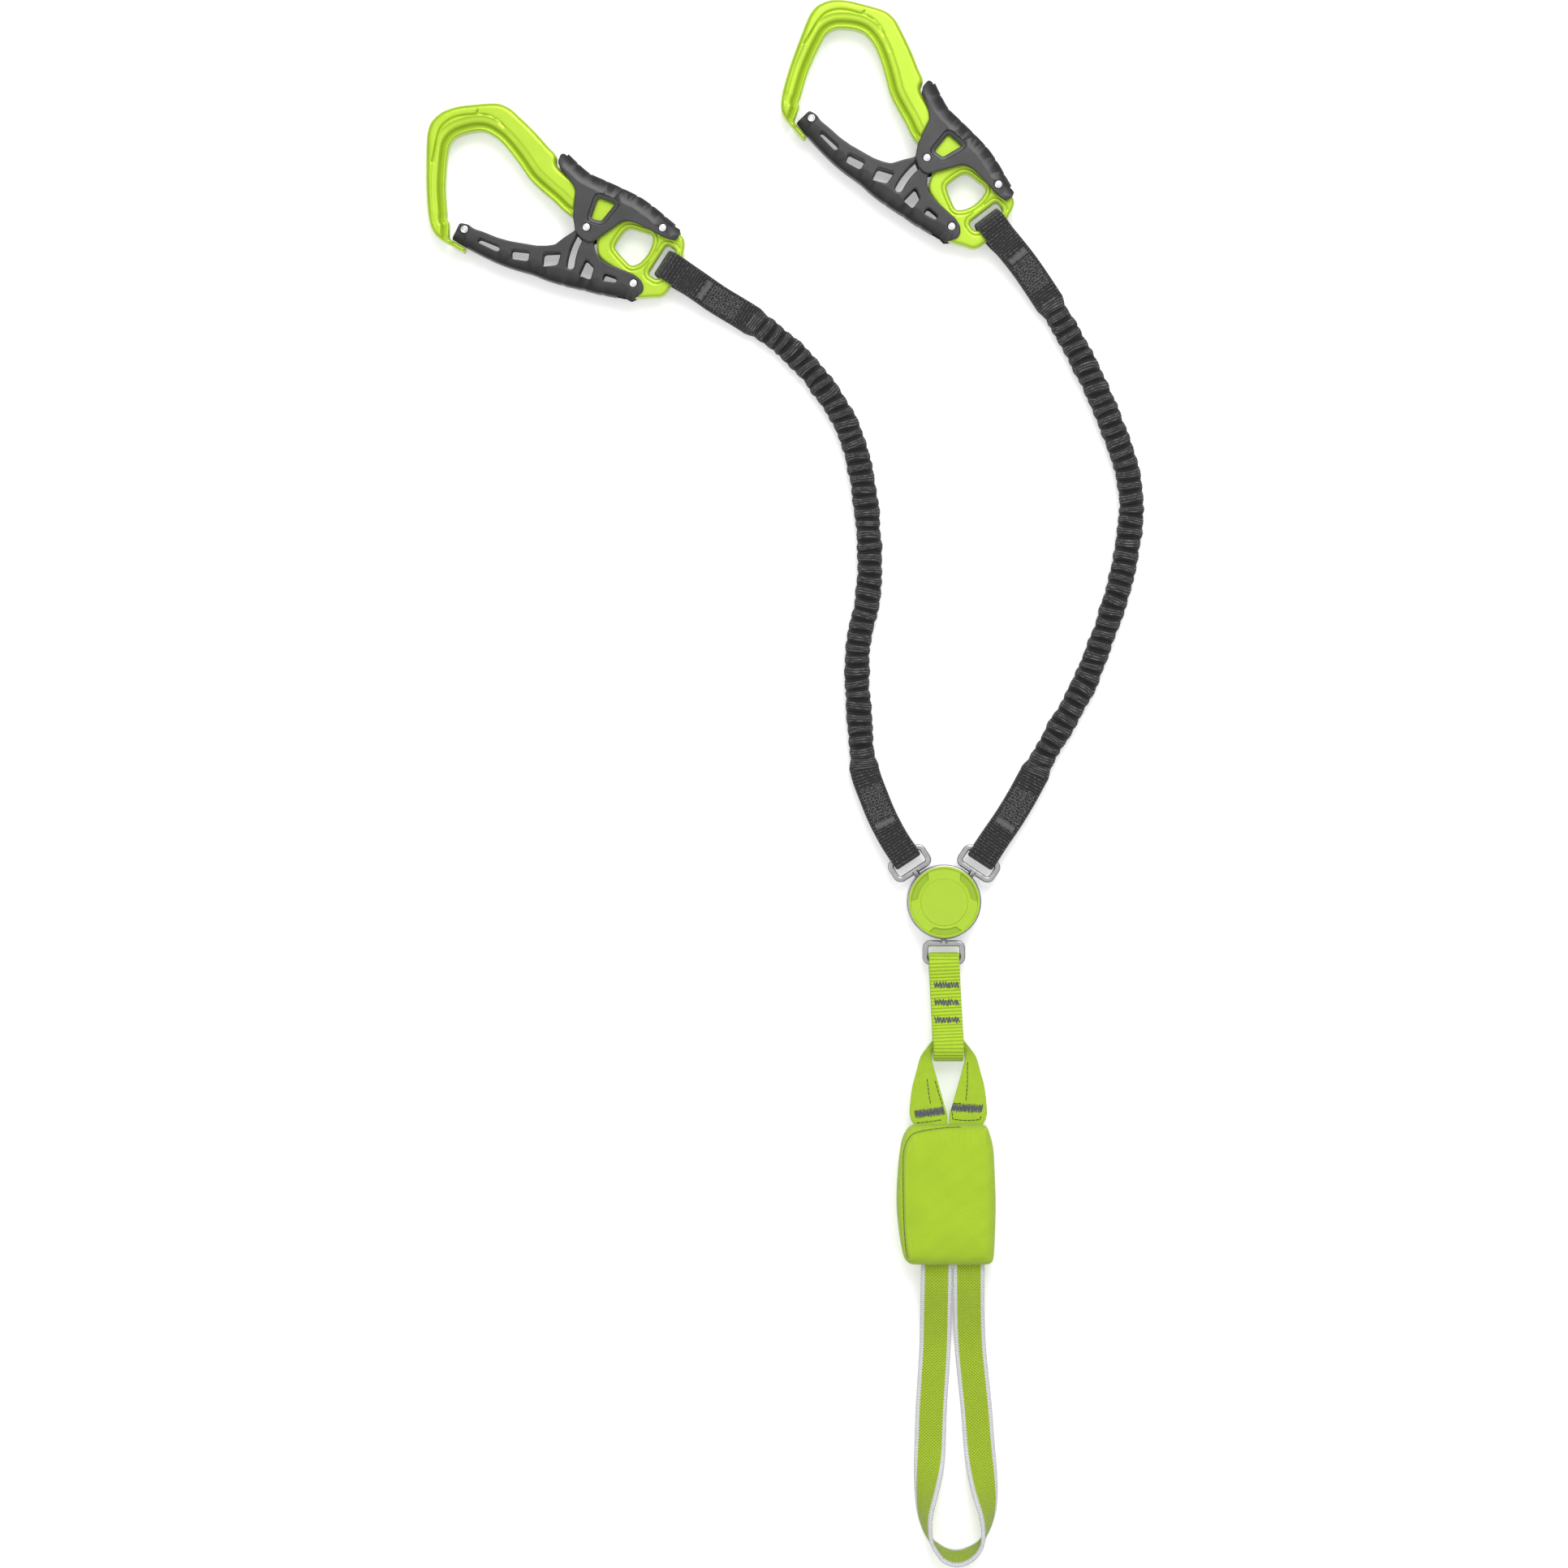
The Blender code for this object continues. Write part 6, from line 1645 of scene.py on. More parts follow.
def build_coil(name, radius, first, last, matrix):
    """Part of a lever's coil, from one share of its run to another: a helix along the pocket."""
    share = np.linspace(first, last, 96)
    turn = 2 * math.pi * SPRING_TURNS * share
    radial = np.stack([np.zeros(len(turn)), np.cos(turn), np.sin(turn)], axis=1)
    foot = scaled(SPRING_SHARES, CARABINER_LENGTH) - np.array([SPRING_POCKET - GAP - SPRING_WIRE / 2, 0])
    path = np.array([*foot, 0]) + radial * radius
    path[:, 0] += SPRING_RUN * share
    up = np.cross(unit(np.gradient(path, axis=0)), radial)
    points, uv = swept(path, radial, up, circle((0, 0), SPRING_WIRE / 2, 8))
    return carry(surface(name, points, uv), matrix)


def build_link(name):
    """A steel window: a rounded square section carried round a rounded rectangle, and a stem turned
    about the way out from the swivel."""
    step, half_bar, fullness = 0.0006, LINK_BAR / 2, 0.00015
    corner = LINK_CORNER + 0.0006 - half_bar
    outer = rounded_rectangle(LINK_DEPTH / 2 - half_bar, LINK_WIDTH / 2 - half_bar, corner, 10)
    keep = np.linalg.norm(outer - np.roll(outer, 1, axis=0), axis=1) > 1e-7
    line = even_loop(outer[keep], step)
    line = np.column_stack([line, np.zeros(len(line))])
    across = -level_across(unit(np.roll(line, -1, axis=0) - np.roll(line, 1, axis=0)))
    up = np.broadcast_to(UP, across.shape)
    section = signed_power(circle((0, 0), 1, 20), 0.55) * np.array([half_bar + fullness, half_bar])
    points, uv = swept(line + np.array([LINK_DISTANCE, 0, 0]), across, up, section)
    uv = np.concatenate([uv, uv[:1] + np.array([step, 0])])
    foot = LINK_DISTANCE - LINK_DEPTH / 2 + LINK_BAR / 2
    head = STEM_HEAD_DISTANCE + STEM_HEAD_LENGTH
    stem, stem_uv = turned([
        (0.0001, foot), (STEM_RADIUS * 1.25, foot), (STEM_RADIUS * 1.22, foot - LINK_BAR * 0.42),
        (STEM_RADIUS, foot - LINK_BAR * 0.75), (STEM_RADIUS, head), (STEM_HEAD_RADIUS, head),
        (STEM_HEAD_RADIUS, STEM_HEAD_DISTANCE), (0.0001, STEM_HEAD_DISTANCE),
    ], 32)
    stem = np.stack([stem[..., 2], stem[..., 0], stem[..., 1]], axis=-1)
    obj = joined(f"steel_link_{name}", [(points, uv, {"close_u": True}), (stem, stem_uv, {})])
    return carry(obj, link_matrix(name))


def cover_height(radius, turn):
    """The cover's height over its floor, and how deep it is in a hollow, from 0 to 1: a rim, a low
    round boss in the middle whose edge stands up a little, and three hollow crescents. A crescent's
    inner edge keeps one radius, steps out to the rim at both ends, and carries a fine lip."""
    rim_height, rim_start = 0.00060, 0.01630
    boss_height, boss_radius, boss_lip = 0.00030, 0.01150, 0.00012
    hollow_depth, hollow_start, hollow_step, hollow_end = 0.00055, 0.01325, 0.0031, 0.01600
    hollow_middles, half_span, lip_height, wall = (149, 31, -88), math.radians(31), 0.00022, 0.00028
    rim = rim_height * rises(radius, rim_start, 0.00030)
    boss = boss_height * (1 - rises(radius, boss_radius, 0.00025))
    boss = boss + boss_lip * bell(radius - 0.01145, 0.00022)
    hollow = np.zeros_like(radius)
    lip = np.zeros_like(radius)
    for middle in hollow_middles:
        apart = (turn - math.radians(middle) + math.pi) % (2 * math.pi) - math.pi
        share = np.abs(apart) / half_span
        low = hollow_start + hollow_step * rises(share, 0.70, 0.30)
        deep = rises(radius, low, wall) * (1 - rises(radius, hollow_end, wall))
        hollow = np.maximum(hollow, deep * (share < 1))
        edge = bell(radius - low + 0.0003, 0.00030) * (1 - rises(share, 0.95, 0.08))
        lip = np.maximum(lip, edge * (radius < 0.01640))
    return rim + boss + lip_height * lip - hollow_depth * hollow, hollow


def build_cover():
    """The green cover: a disc whose height is a function of radius and angle, with a rounded rim
    and a flat back."""
    play, bend_radius, middle, chamfer = 0.0006, 0.0005, 0.0002, 0.0002
    floor, outer = SWIVEL_THICKNESS - play, COVER_RADIUS - play
    radii = np.concatenate([
        np.linspace(middle, 0.0108, 12), np.linspace(0.0110, 0.0122, 18),
        np.linspace(0.0124, 0.0168, 76), np.linspace(0.0170, outer - bend_radius, 3),
    ])
    steps = 700
    turn = full_turn(steps)
    r, a = np.meshgrid(radii, turn, indexing="ij")
    lift, hollow = cover_height(r, a)
    z = floor + lift
    bend = np.linspace(0, math.pi / 2, 7)[1:]
    edge_r = outer - bend_radius + bend_radius * np.sin(bend)
    edge_z = SWIVEL_THICKNESS - bend_radius * (1 - np.cos(bend))
    low = SWIVEL_THICKNESS - COVER_THICKNESS
    side_r = np.array([outer, outer - chamfer, middle])
    side_z = np.array([low + chamfer, low, low])
    r = np.vstack([r, np.repeat(np.concatenate([edge_r, side_r])[:, None], steps, axis=1)])
    z = np.vstack([z, np.repeat(np.concatenate([edge_z, side_z])[:, None], steps, axis=1)])
    points = np.stack([r * np.cos(turn), r * np.sin(turn), z], axis=-1)
    along, around = np.arange(len(r))[:, None] * 0.0001, np.arange(steps + 1)[None] * 0.0003
    obj = surface("cover_cap", points, paired(along, around))
    marks = np.zeros(points.shape[:2])
    marks[: len(hollow)] = hollow
    # The hollow mark is where the cover's finish paints shade.
    mark(obj, "hollow", marks)
    return obj


def build_swivel_shell(name, low, high, round_low, round_high):
    """A shell turned from one profile: flat faces, and an outer edge that is rounded where it shows
    and has a fine chamfer where it meets the other shell."""
    turn = np.linspace(0, math.pi / 2, 7)
    middle, chamfer, edge = 0.0002, 0.0002, 0.0009

    def bend(height, sign, is_round):
        """The outer edge at a face, from the face outwards or the other way, rounded or chamfered."""
        if not is_round:
            r = np.array([SWIVEL_RADIUS, SWIVEL_RADIUS - chamfer])
            return np.stack([r, [height - sign * chamfer, height]], axis=1)
        r = SWIVEL_RADIUS - edge + edge * np.cos(turn)
        return np.stack([r, height + sign * (edge * np.sin(turn) - edge)], axis=1)

    top, foot = bend(high, 1, round_high)[::-1], bend(low, -1, round_low)
    points, uv = turned(np.vstack([[(middle, high)], top, foot, [(middle, low)]]), 160)
    return surface(name, points, uv)


def sling_line():
    """The sling's line: down over the eye, up behind, round the link's bar, and once more outside
    itself. Its height at each point is the larger of two blends, one from each fold."""
    inner, lower = LINK_EYE + SLING_PLY / 2, EYE_FOLD + SLING_PLY / 2
    sewn = (SLING_PLY + GAP) / 2
    t = np.linspace(0, 1, 44)[1:-1]
    turn = np.linspace(0, math.pi, 22)
    runs = []

    def put(distance, height, share):
        x = SLING_TOP[0] + SLING_LEAN * np.clip(distance / SLING_SPAN, 0, 1)
        z = SLING_TOP[2] + (EYE_MID - SLING_TOP[2]) * share + height
        runs.append(np.column_stack([x, SLING_TOP[1] - distance, z]))

    def straight(side, layer, share):
        distance = SLING_SPAN * share
        near_top = blend(inner, sewn, distance / SLING_PINCH_REACH)
        near_foot = blend(lower, sewn, (SLING_SPAN - distance) / SLING_PINCH_REACH)
        put(distance, side * (np.maximum(near_top, near_foot) + layer * SLING_STEP), share)

    for layer in (0, 1):
        straight(1, layer, t)
        radius = lower + layer * SLING_STEP
        put(SLING_SPAN + radius * np.sin(turn), radius * np.cos(turn), np.ones_like(turn))
        straight(-1, layer, t[::-1])
        if layer == 0:
            radius = inner + turn / math.pi * SLING_STEP
            put(-radius * np.sin(turn), -radius * np.cos(turn), np.zeros_like(turn))
    return np.concatenate(runs)


def build_eye():
    """The absorber's upper loop: an oval section carried from one mouth of the pouch, up, bunched
    through the sling's fold, and down to the other. Each leg has a soft pleat along it."""
    reach = POUCH_TOP_DISTANCE
    edge = SLING_WIDTH / 2 + EYE_SIDE_PLAY
    half_play = EYE_LEG_PLAY / 2
    shoulders = scaled(EYE_SHOULDER_SHARES, reach) + np.array([edge, 0, edge, 0])
    legs = scaled(EYE_LEG_SHARES, reach)[:, [1, 0, 2, 0]]
    ends = np.array([
        (half_play, drop, half_play + EYE_LEG_WIDTH, drop) for drop in (reach, reach + PACK_INSET - GAP)
    ])
    rows = smooth(np.vstack([shoulders, legs, ends]), 6)
    drop = (rows[:, 1] + rows[:, 3]) / 2
    share = eased(drop / reach / EYE_SPREAD_SHARE)
    shift = (POUCH_MIDDLE + EYE_MOUTH_SHIFT - EYE_PLACE[0]) * eased(drop / reach)
    z = EYE_PLACE[2] + (POUCH_THICKNESS / 2 - EYE_PLACE[2]) * share
    thickness = EYE_BAR_THICKNESS + (EYE_LEG_THICKNESS - EYE_BAR_THICKNESS) * share
    middle = np.stack([(rows[:, 0] + rows[:, 2]) / 2, -drop], axis=1)
    span = np.stack([rows[:, 0] - rows[:, 2], rows[:, 3] - rows[:, 1]], axis=1)
    width = np.linalg.norm(span, axis=1)

    def half(side):
        x, y = EYE_PLACE[0] + side * middle[:, 0] + shift, EYE_PLACE[1] + middle[:, 1]
        centre = np.column_stack([x, y, z])
        across = unit(np.column_stack([side * span[:, 0], span[:, 1], np.zeros(len(rows))]))
        return centre, across

    left, right = half(-1), half(1)
    centres, across = (np.vstack([one[::-1], other]) for one, other in zip(left, right))
    widths, thick, spread = (
        np.concatenate([values[::-1], values])[:, None] for values in (width, thickness, share)
    )
    pleat_size, fold_size, pleat_least_width, weave_least_width = 0.00035, 0.00022, 0.010, 0.012
    x, y = signed_power(circle((0, 0), 1, 40), 0.5).T
    pleat = pleat_size * np.tanh((x + 0.15) * 9) * spread * (widths > pleat_least_width)
    folds = fold_size * np.sin(x * 7 + 1.0) * (1 - spread)
    lift = np.where(y > 0, 1, 0.2) * (pleat + folds)
    points = (
        centres[:, None]
        + across[:, None] * (x * widths / 2)[..., None]
        + UP * (y * thick / 2 + lift)[..., None]
    )
    v = np.concatenate([x, x[:1]]) * np.maximum(widths, weave_least_width) / 2
    return surface("absorber_eye_loop", points, paired(run_length(centres)[:, None], v))


def pouch_shell():
    """The pouch before it is filled: its outline drawn in by a power of a cosine and raised by a
    power of a sine, which is a pillow with a flat crown and round sides."""
    outline = smooth(scaled(POUCH_SHARES, POUCH_LENGTH), 8, closed=True)
    outline = even_loop(outline + np.array([POUCH_MIDDLE, POUCH_TOP]), 0.0012)
    centre = np.array([POUCH_MIDDLE, POUCH_TOP - POUCH_LENGTH / 2])
    angle = np.linspace(-1, 1, 61) * (math.pi / 2 * 0.985)
    draw = np.abs(np.cos(angle)) ** 0.42
    rise = signed_power(np.sin(angle), 0.62)
    xy = centre + (outline - centre)[None] * draw[:, None, None]
    half = POUCH_THICKNESS / 2
    z = np.repeat((half + rise * (half - 0.0002))[:, None], len(outline), axis=1)
    points = np.concatenate([xy, z[..., None]], axis=2)
    uv = np.zeros((points.shape[0], points.shape[1] + 1, 2))
    return surface("absorber_case", points, uv)


def remeshed(obj, voxel):
    """The object's mesh, made anew from faces of that size."""
    bpy.context.view_layer.objects.active = obj
    obj.data.remesh_voxel_size = voxel
    bpy.ops.object.select_all(action="DESELECT")
    obj.select_set(True)
    bpy.ops.object.voxel_remesh()
    return obj


def filled(obj, pressure, most, frames=20):
    """The object puffed up as a filled cloth: simulated under pressure without gravity, and no
    point moved by more than most."""
    before = mesh_points(obj.data)
    cloth = obj.modifiers.new("filling", "CLOTH")
    cloth.settings.use_pressure = True
    cloth.settings.uniform_pressure_force = pressure
    cloth.settings.effector_weights.gravity = 0
    cloth.settings.quality = 6
    cloth.point_cache.frame_start, cloth.point_cache.frame_end = 1, frames
    for number in range(1, frames + 1):
        bpy.context.scene.frame_set(number)
    graph = bpy.context.evaluated_depsgraph_get()
    after = mesh_points(obj.evaluated_get(graph).data)
    obj.modifiers.clear()
    bpy.context.scene.frame_set(1)
    move = after - before
    size = np.linalg.norm(move, axis=1, keepdims=True)
    set_points(obj.data, before + move * np.minimum(1, most / np.maximum(size, 1e-12)))
    return obj


def subdivided(obj, levels):
    """The object's mesh, subdivided and rounded."""
    modifier = obj.modifiers.new("rounding", "SUBSURF")
    modifier.levels = modifier.render_levels = levels
    graph = bpy.context.evaluated_depsgraph_get()
    mesh = bpy.data.meshes.new_from_object(obj.evaluated_get(graph))
    obj.modifiers.clear()
    obj.data = mesh
    return obj


def build_pouch():
    """The pouch: filled and smoothed, then its front seam is drawn in, the side panel beyond it
    falls away from it, and slow folds run over it."""
    obj = remeshed(pouch_shell(), POUCH_VOXEL)
    filled(obj, POUCH_PRESSURE, POUCH_SWELL)
    subdivided(obj, 2)
    groove_depth, lip_height, fall_depth = 0.00100, 0.00034, 0.00070
    fold_size, pucker_size = 0.00030, 0.00022
    points = mesh_points(obj.data)
    x, y, z = points.T
    half = POUCH_THICKNESS / 2
    upper = eased((z - half) / (half * 0.4))
    seam = smooth(POUCH_SEAM, 6)
    away = segment_distance(points[:, :2], seam, closed=False)
    end = eased((0.0060 - x) / 0.010)
    groove = groove_depth * bell(away, 0.00050) * end
    lip = lip_height * bell(away - 0.0012, 0.0007) * end
    right, below = 0.030, seam[0][1] - 0.001
    panel = np.vstack([seam, [(right, seam[-1][1]), (right, below), (seam[0][0], below)]])
    beyond = ~inside(points[:, :2], [panel])
    fall = fall_depth * bell(away, 0.0032) * beyond * end
    slow = fold_size * (
        np.sin(x * 210 + y * 70 + 0.6) * np.sin(y * 160 - x * 60 + 1.1)
        + 0.6 * np.sin(x * 420 - y * 240 + 2.0) * np.sin(y * 330 + 0.4)
    )
    near_top = eased((y - POUCH_TOP + 0.016) / 0.014)
    pucker = pucker_size * np.sin(x * 2 * math.pi / POUCH_PUCKER_PITCH) * near_top
    points[:, 2] += upper * (lip * ~beyond - groove - fall + slow + pucker)
    points[:, 2] = np.clip(points[:, 2], 0.0001, None)
    set_points(obj.data, points)
    obj.data.shade_smooth()
    obj.name = "absorber_case"
    return obj


def pack_line():
    """The tear webbing's line: plies laid back and forth, with half turns between them."""
    step = PACK_PLY + PACK_PLY_GAP
    bend = step / 2
    high = POUCH_TOP - PACK_INSET - bend - PACK_PLY / 2
    low = POUCH_FOOT + PACK_INSET + bend + PACK_PLY / 2
    start = POUCH_WALL + GAP + PACK_PLY / 2
    turn = np.linspace(0, math.pi, 12)[1:-1]
    y, z = [], []
    for ply in range(PACK_PLIES):
        ends = (low, high) if ply % 2 == 0 else (high, low)
        y.append(np.linspace(*ends, 24))
        z.append(np.full(24, start + ply * step))
        if ply < PACK_PLIES - 1:
            way = math.copysign(1, ends[1] - ends[0])
            y.append(ends[1] + way * bend * np.sin(turn))
            z.append(start + ply * step + bend - bend * np.cos(turn))
    y, z = np.concatenate(y), np.concatenate(z)
    return np.column_stack([np.full_like(y, POUCH_MIDDLE), y, z])


def tie_in_line():
    """The tie-in loop's line and its across directions, which roll it onto its edge round the far
    bend."""
    shares = np.array(LOOP_ROUTE_SHARES, float)
    plan = shares[:, :2] * LOOP_LENGTH + np.array([POUCH_MIDDLE + LOOP_SHIFT, POUCH_FOOT])
    plan[0, 1] = plan[-1, 1] = POUCH_FOOT + PACK_INSET - GAP
    route = smooth(np.column_stack([plan, shares[:, 2] * LOOP_LENGTH]), 8)
    way = unit(np.gradient(route[:, :2], axis=0))
    roll = route[:, 2] / LOOP_LENGTH * LOOP_BEND_ROLL
    across = level_across(way) * np.cos(roll)[:, None] + UP * np.sin(roll)[:, None]
    rest = np.abs(np.sin(roll)) * LOOP_WIDTH / 2 + np.abs(np.cos(roll)) * LOOP_PLY / 2 + GAP
    share = eased((POUCH_FOOT - route[:, 1]) / LOOP_SETTLE)
    half = POUCH_THICKNESS / 2
    return np.column_stack([route[:, :2], half + (rest - half) * share]), across


# Operators


class LANYARD_OT_camera(bpy.types.Operator):
    """Sets the camera straight above the lanyard, at the photograph's distance"""

    bl_idname = "lanyard.camera"
    bl_label = "Camera"

    def execute(self, context):
        data = bpy.data.cameras.new("camera")
        data.lens, data.sensor_width = CAMERA_LENS, CAMERA_SENSOR
        data.sensor_fit = "HORIZONTAL"
        data.clip_end = 100
        camera = bpy.data.objects.new("camera", data)
        camera.location = (*CAMERA_PLACE, CAMERA_WIDTH * CAMERA_LENS / CAMERA_SENSOR)
        context.scene.collection.objects.link(camera)
        context.scene.camera = camera
        return {"FINISHED"}


class LANYARD_OT_arms(bpy.types.Operator):
    """Builds both gathered arms: the sleeves, their elastic cores, the strap ends and their sewing"""

    bl_idname = "lanyard.arms"
    bl_label = "Arms"

    def execute(self, context):
        strap = look("strap_black", black_webbing)
        gathers = look("gathered_webbing", gathered_webbing)
        sewing = look("thread_light", thread, "thread_light", colours().thread_light)
        for number, (side, route) in enumerate(arm_routes().items()):
            body = f"arm_{side}"
            sleeve, centre = gathered_sleeve(side, route, GATHER_SEED + number)
            finish_piece(sleeve, gathers, body, "black_webbing", f"arm_sleeve_{side}")
            s, line = sleeve_line(route, 0.002)
            oval = circle((0, 0), 1, 16) * np.array([CORE_WIDTH, CORE_THICKNESS]) / 2
            core = tape(f"core_strands_{side}", line, level_across(route.way(s)), oval)
            rubber = look("elastic_rubber", elastic_rubber)
            finish_piece(core, rubber, body, "rubber", f"elastic_core_{side}")
            for end, way_in, height, eye, reach in (
                ("swivel", route, SWIVEL_MID, LINK_EYE, SWIVEL_END_REACH),
                ("carabiner", route.reverse(), CARABINER_MID, SLOT_EYE, CARABINER_END_REACH),
            ):
                centres, across = strap_line(way_in, height, eye, reach)
                piece = tape(f"strap_{end}_{side}", centres, across, tape_section(ARM_WIDTH, ARM_PLY))
                finish_piece(piece, strap, body, "black_webbing", f"arm_{end}_end_{side}")
                paths = strap_stitches(way_in, STITCH_SEED + number)
                paths = [dense(path, STRAP_STITCH_STEP) for path in paths]
                sew(
                    f"sewing_{end}_{side}", piece, paths, STRAP_THREAD_LIFT, STRAP_THREAD, sewing, body,
                    "black_webbing", sides=5,
                )
        return {"FINISHED"}


class LANYARD_OT_frames(bpy.types.Operator):
    """Builds the carabiners' anodised frames"""

    bl_idname = "lanyard.frames"
    bl_label = "Carabiner frames"

    def execute(self, context):
        metal = look("anodised_aluminium", anodised_aluminium)
        for side, route in arm_routes().items():
            bow, lower = build_frame(side, carabiner_matrix(side, route))
            finish_piece(bow, metal, f"carabiner_{side}", "green_aluminium", f"carabiner_frame_{side}")
            finish_piece(lower, metal, f"carabiner_{side}", "green_aluminium")
        return {"FINISHED"}


class LANYARD_OT_gates(bpy.types.Operator):
    """Builds the gates"""

    bl_idname = "lanyard.gates"
    bl_label = "Gates"

    def execute(self, context):
        size = CARABINER_LENGTH
        black = look("black_satin", black_aluminium)
        holes = [filleted(scaled(shares, size), GATE_HOLE_FILLET) for shares in GATE_HOLE_SHARES]
        notches = [(share, *GATE_NOTCH) for share in GATE_NOTCH_SHARES]
        for shares in (GATE_PIVOT_SHARES, TIP_PIN_SHARES):
            holes.append(circle(scaled(shares, size), PIN_RADIUS + GAP))
        holes.append(pin_slot())
        for side, route in arm_routes().items():
            gate = build_shell(
                f"gate_shell_{side}", GATE_GRIP_SHARES, GATE_INNER_SHARES, holes, GATE_WEB_SHARES,
                GATE_HALF_INNER, gate_relief, notches, carabiner_matrix(side, route),
            )
            finish_piece(gate, black, f"gate_{side}", "black_plastic", f"gate_{side}")
        return {"FINISHED"}


class LANYARD_OT_levers(bpy.types.Operator):
    """Builds the palm levers"""

    bl_idname = "lanyard.levers"
    bl_label = "Levers"

    def execute(self, context):
        size = CARABINER_LENGTH
        black = look("black_satin", black_aluminium)
        holes = [
            filleted(scaled(LEVER_HOLE_SHARES, size), LEVER_HOLE_FILLET),
            circle(scaled(LEVER_PIVOT_SHARES, size), PIN_RADIUS + GAP),
            circle(scaled(CROSS_PIN_SHARES, size), PIN_RADIUS + GAP),
        ]
        notches = [(share, *LEVER_NOTCH) for share in LEVER_GAP_SHARES]
        relief = build_lever_relief(size)
        rim = holes[0] if signed_area(holes[0]) > 0 else holes[0][::-1]
        lines = [(np.vstack([rim, rim[:1]]), -BESIDE_LEVER_HOLE)]
        for side, route in arm_routes().items():
            lever = build_shell(
                f"lever_shell_{side}", LEVER_GRIP_SHARES, LEVER_INNER_SHARES, holes, LEVER_WEB_SHARES,
                LEVER_HALF_INNER, relief, notches, carabiner_matrix(side, route), lines,
            )
            finish_piece(lever, black, f"lever_{side}", "black_plastic", f"lever_{side}")
        return {"FINISHED"}


class LANYARD_OT_rivets(bpy.types.Operator):
    """Builds the rivets, pins and lever springs of both carabiners"""

    bl_idname = "lanyard.rivets"
    bl_label = "Rivets and springs"

    def execute(self, context):
        size = CARABINER_LENGTH
        steel = look("bright_steel", bright_steel)
        for side, route in arm_routes().items():
            matrix = carabiner_matrix(side, route)
            for name, shares, half, body, hollow in (
                ("gate_rivet", GATE_PIVOT_SHARES, GATE_HALF, "carabiner", False),
                ("lever_rivet", LEVER_PIVOT_SHARES, LEVER_HALF, "carabiner", False),
                ("gate_tip_pin", TIP_PIN_SHARES, GATE_HALF, "gate", True),
                ("lever_cross_pin", CROSS_PIN_SHARES, LEVER_HALF, "lever", False),
            ):
                piece = build_rivet(f"{name}_turned_{side}", scaled(shares, size), half, matrix, hollow)
                finish_piece(piece, steel, f"{body}_{side}", "steel", f"{name}_{side}")
            # The coil's halves slide into each other as the lever is pressed.
            for part, radius, first, last, body in (
                ("inner", SPRING_INNER, 0, 0.5, "carabiner"),
                ("outer", SPRING_OUTER, 0.5, 1, "lever"),
            ):
                coil = build_coil(f"lever_coil_{part}_{side}", radius, first, last, matrix)
                satin = look("satin_steel", satin_steel)
                finish_piece(coil, satin, f"{body}_{side}", "steel", f"lever_spring_{side}")
        return {"FINISHED"}


class LANYARD_OT_swivel(bpy.types.Operator):
    """Builds the swivel's shells and cover, and its three steel links"""

    bl_idname = "lanyard.swivel"
    bl_label = "Swivel and links"

    def execute(self, context):
        steel = look("satin_steel", satin_steel)
        top = SWIVEL_THICKNESS - COVER_THICKNESS - GAP
        back = build_swivel_shell("back_shell", 0, SWIVEL_MID - GAP / 2, True, False)
        finish_piece(back, steel, "swivel", "steel", "swivel_back_shell")
        front = build_swivel_shell("front_shell", SWIVEL_MID + GAP / 2, top, False, True)
        finish_piece(front, steel, "swivel", "steel", "swivel_front_shell")
        plastic = look("cover_plastic", cover_plastic)
        finish_piece(build_cover(), plastic, "swivel", "green_plastic", "swivel_cover")
        for name in LINK_ANGLES:
            finish_piece(build_link(name), steel, f"link_{name}", "steel", f"link_{name}")
        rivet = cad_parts["swivel_rivet"]
        rivet.data.materials.clear()
        rivet.data.materials.append(steel)
        return {"FINISHED"}


class LANYARD_OT_sling(bpy.types.Operator):
    """Builds the connector sling and its three bar tacks"""

    bl_idname = "lanyard.sling"
    bl_label = "Connector sling"

    def execute(self, context):
        piece = tape("sling_webbing", sling_line(), LEVEL, tape_section(SLING_WIDTH, SLING_PLY))
        webbing = look("green_webbing", green_webbing)
        finish_piece(piece, webbing, "connector", "green_webbing", "connector_sling")
        width, height = SLING_TACK_SIZE
        paths = []
        for number, (x, y) in enumerate(SLING_TACKS):
            for turn in range(2):
                start, end = (x - width / 2, y), (x + width / 2, y)
                path = zigzag(start, end, height, SLING_TACK_PITCH, 5 * number + turn, SLING_TACK_SLACK)
                paths.append(dense(path, TACK_STEP))
        grey = look("thread_grey", thread, "thread_grey", colours().thread_grey)
        sew(
            "sling_tacks", piece, paths, SLING_THREAD_LIFT, sizes().thread, grey, "connector",
            "green_webbing",
        )
        return {"FINISHED"}


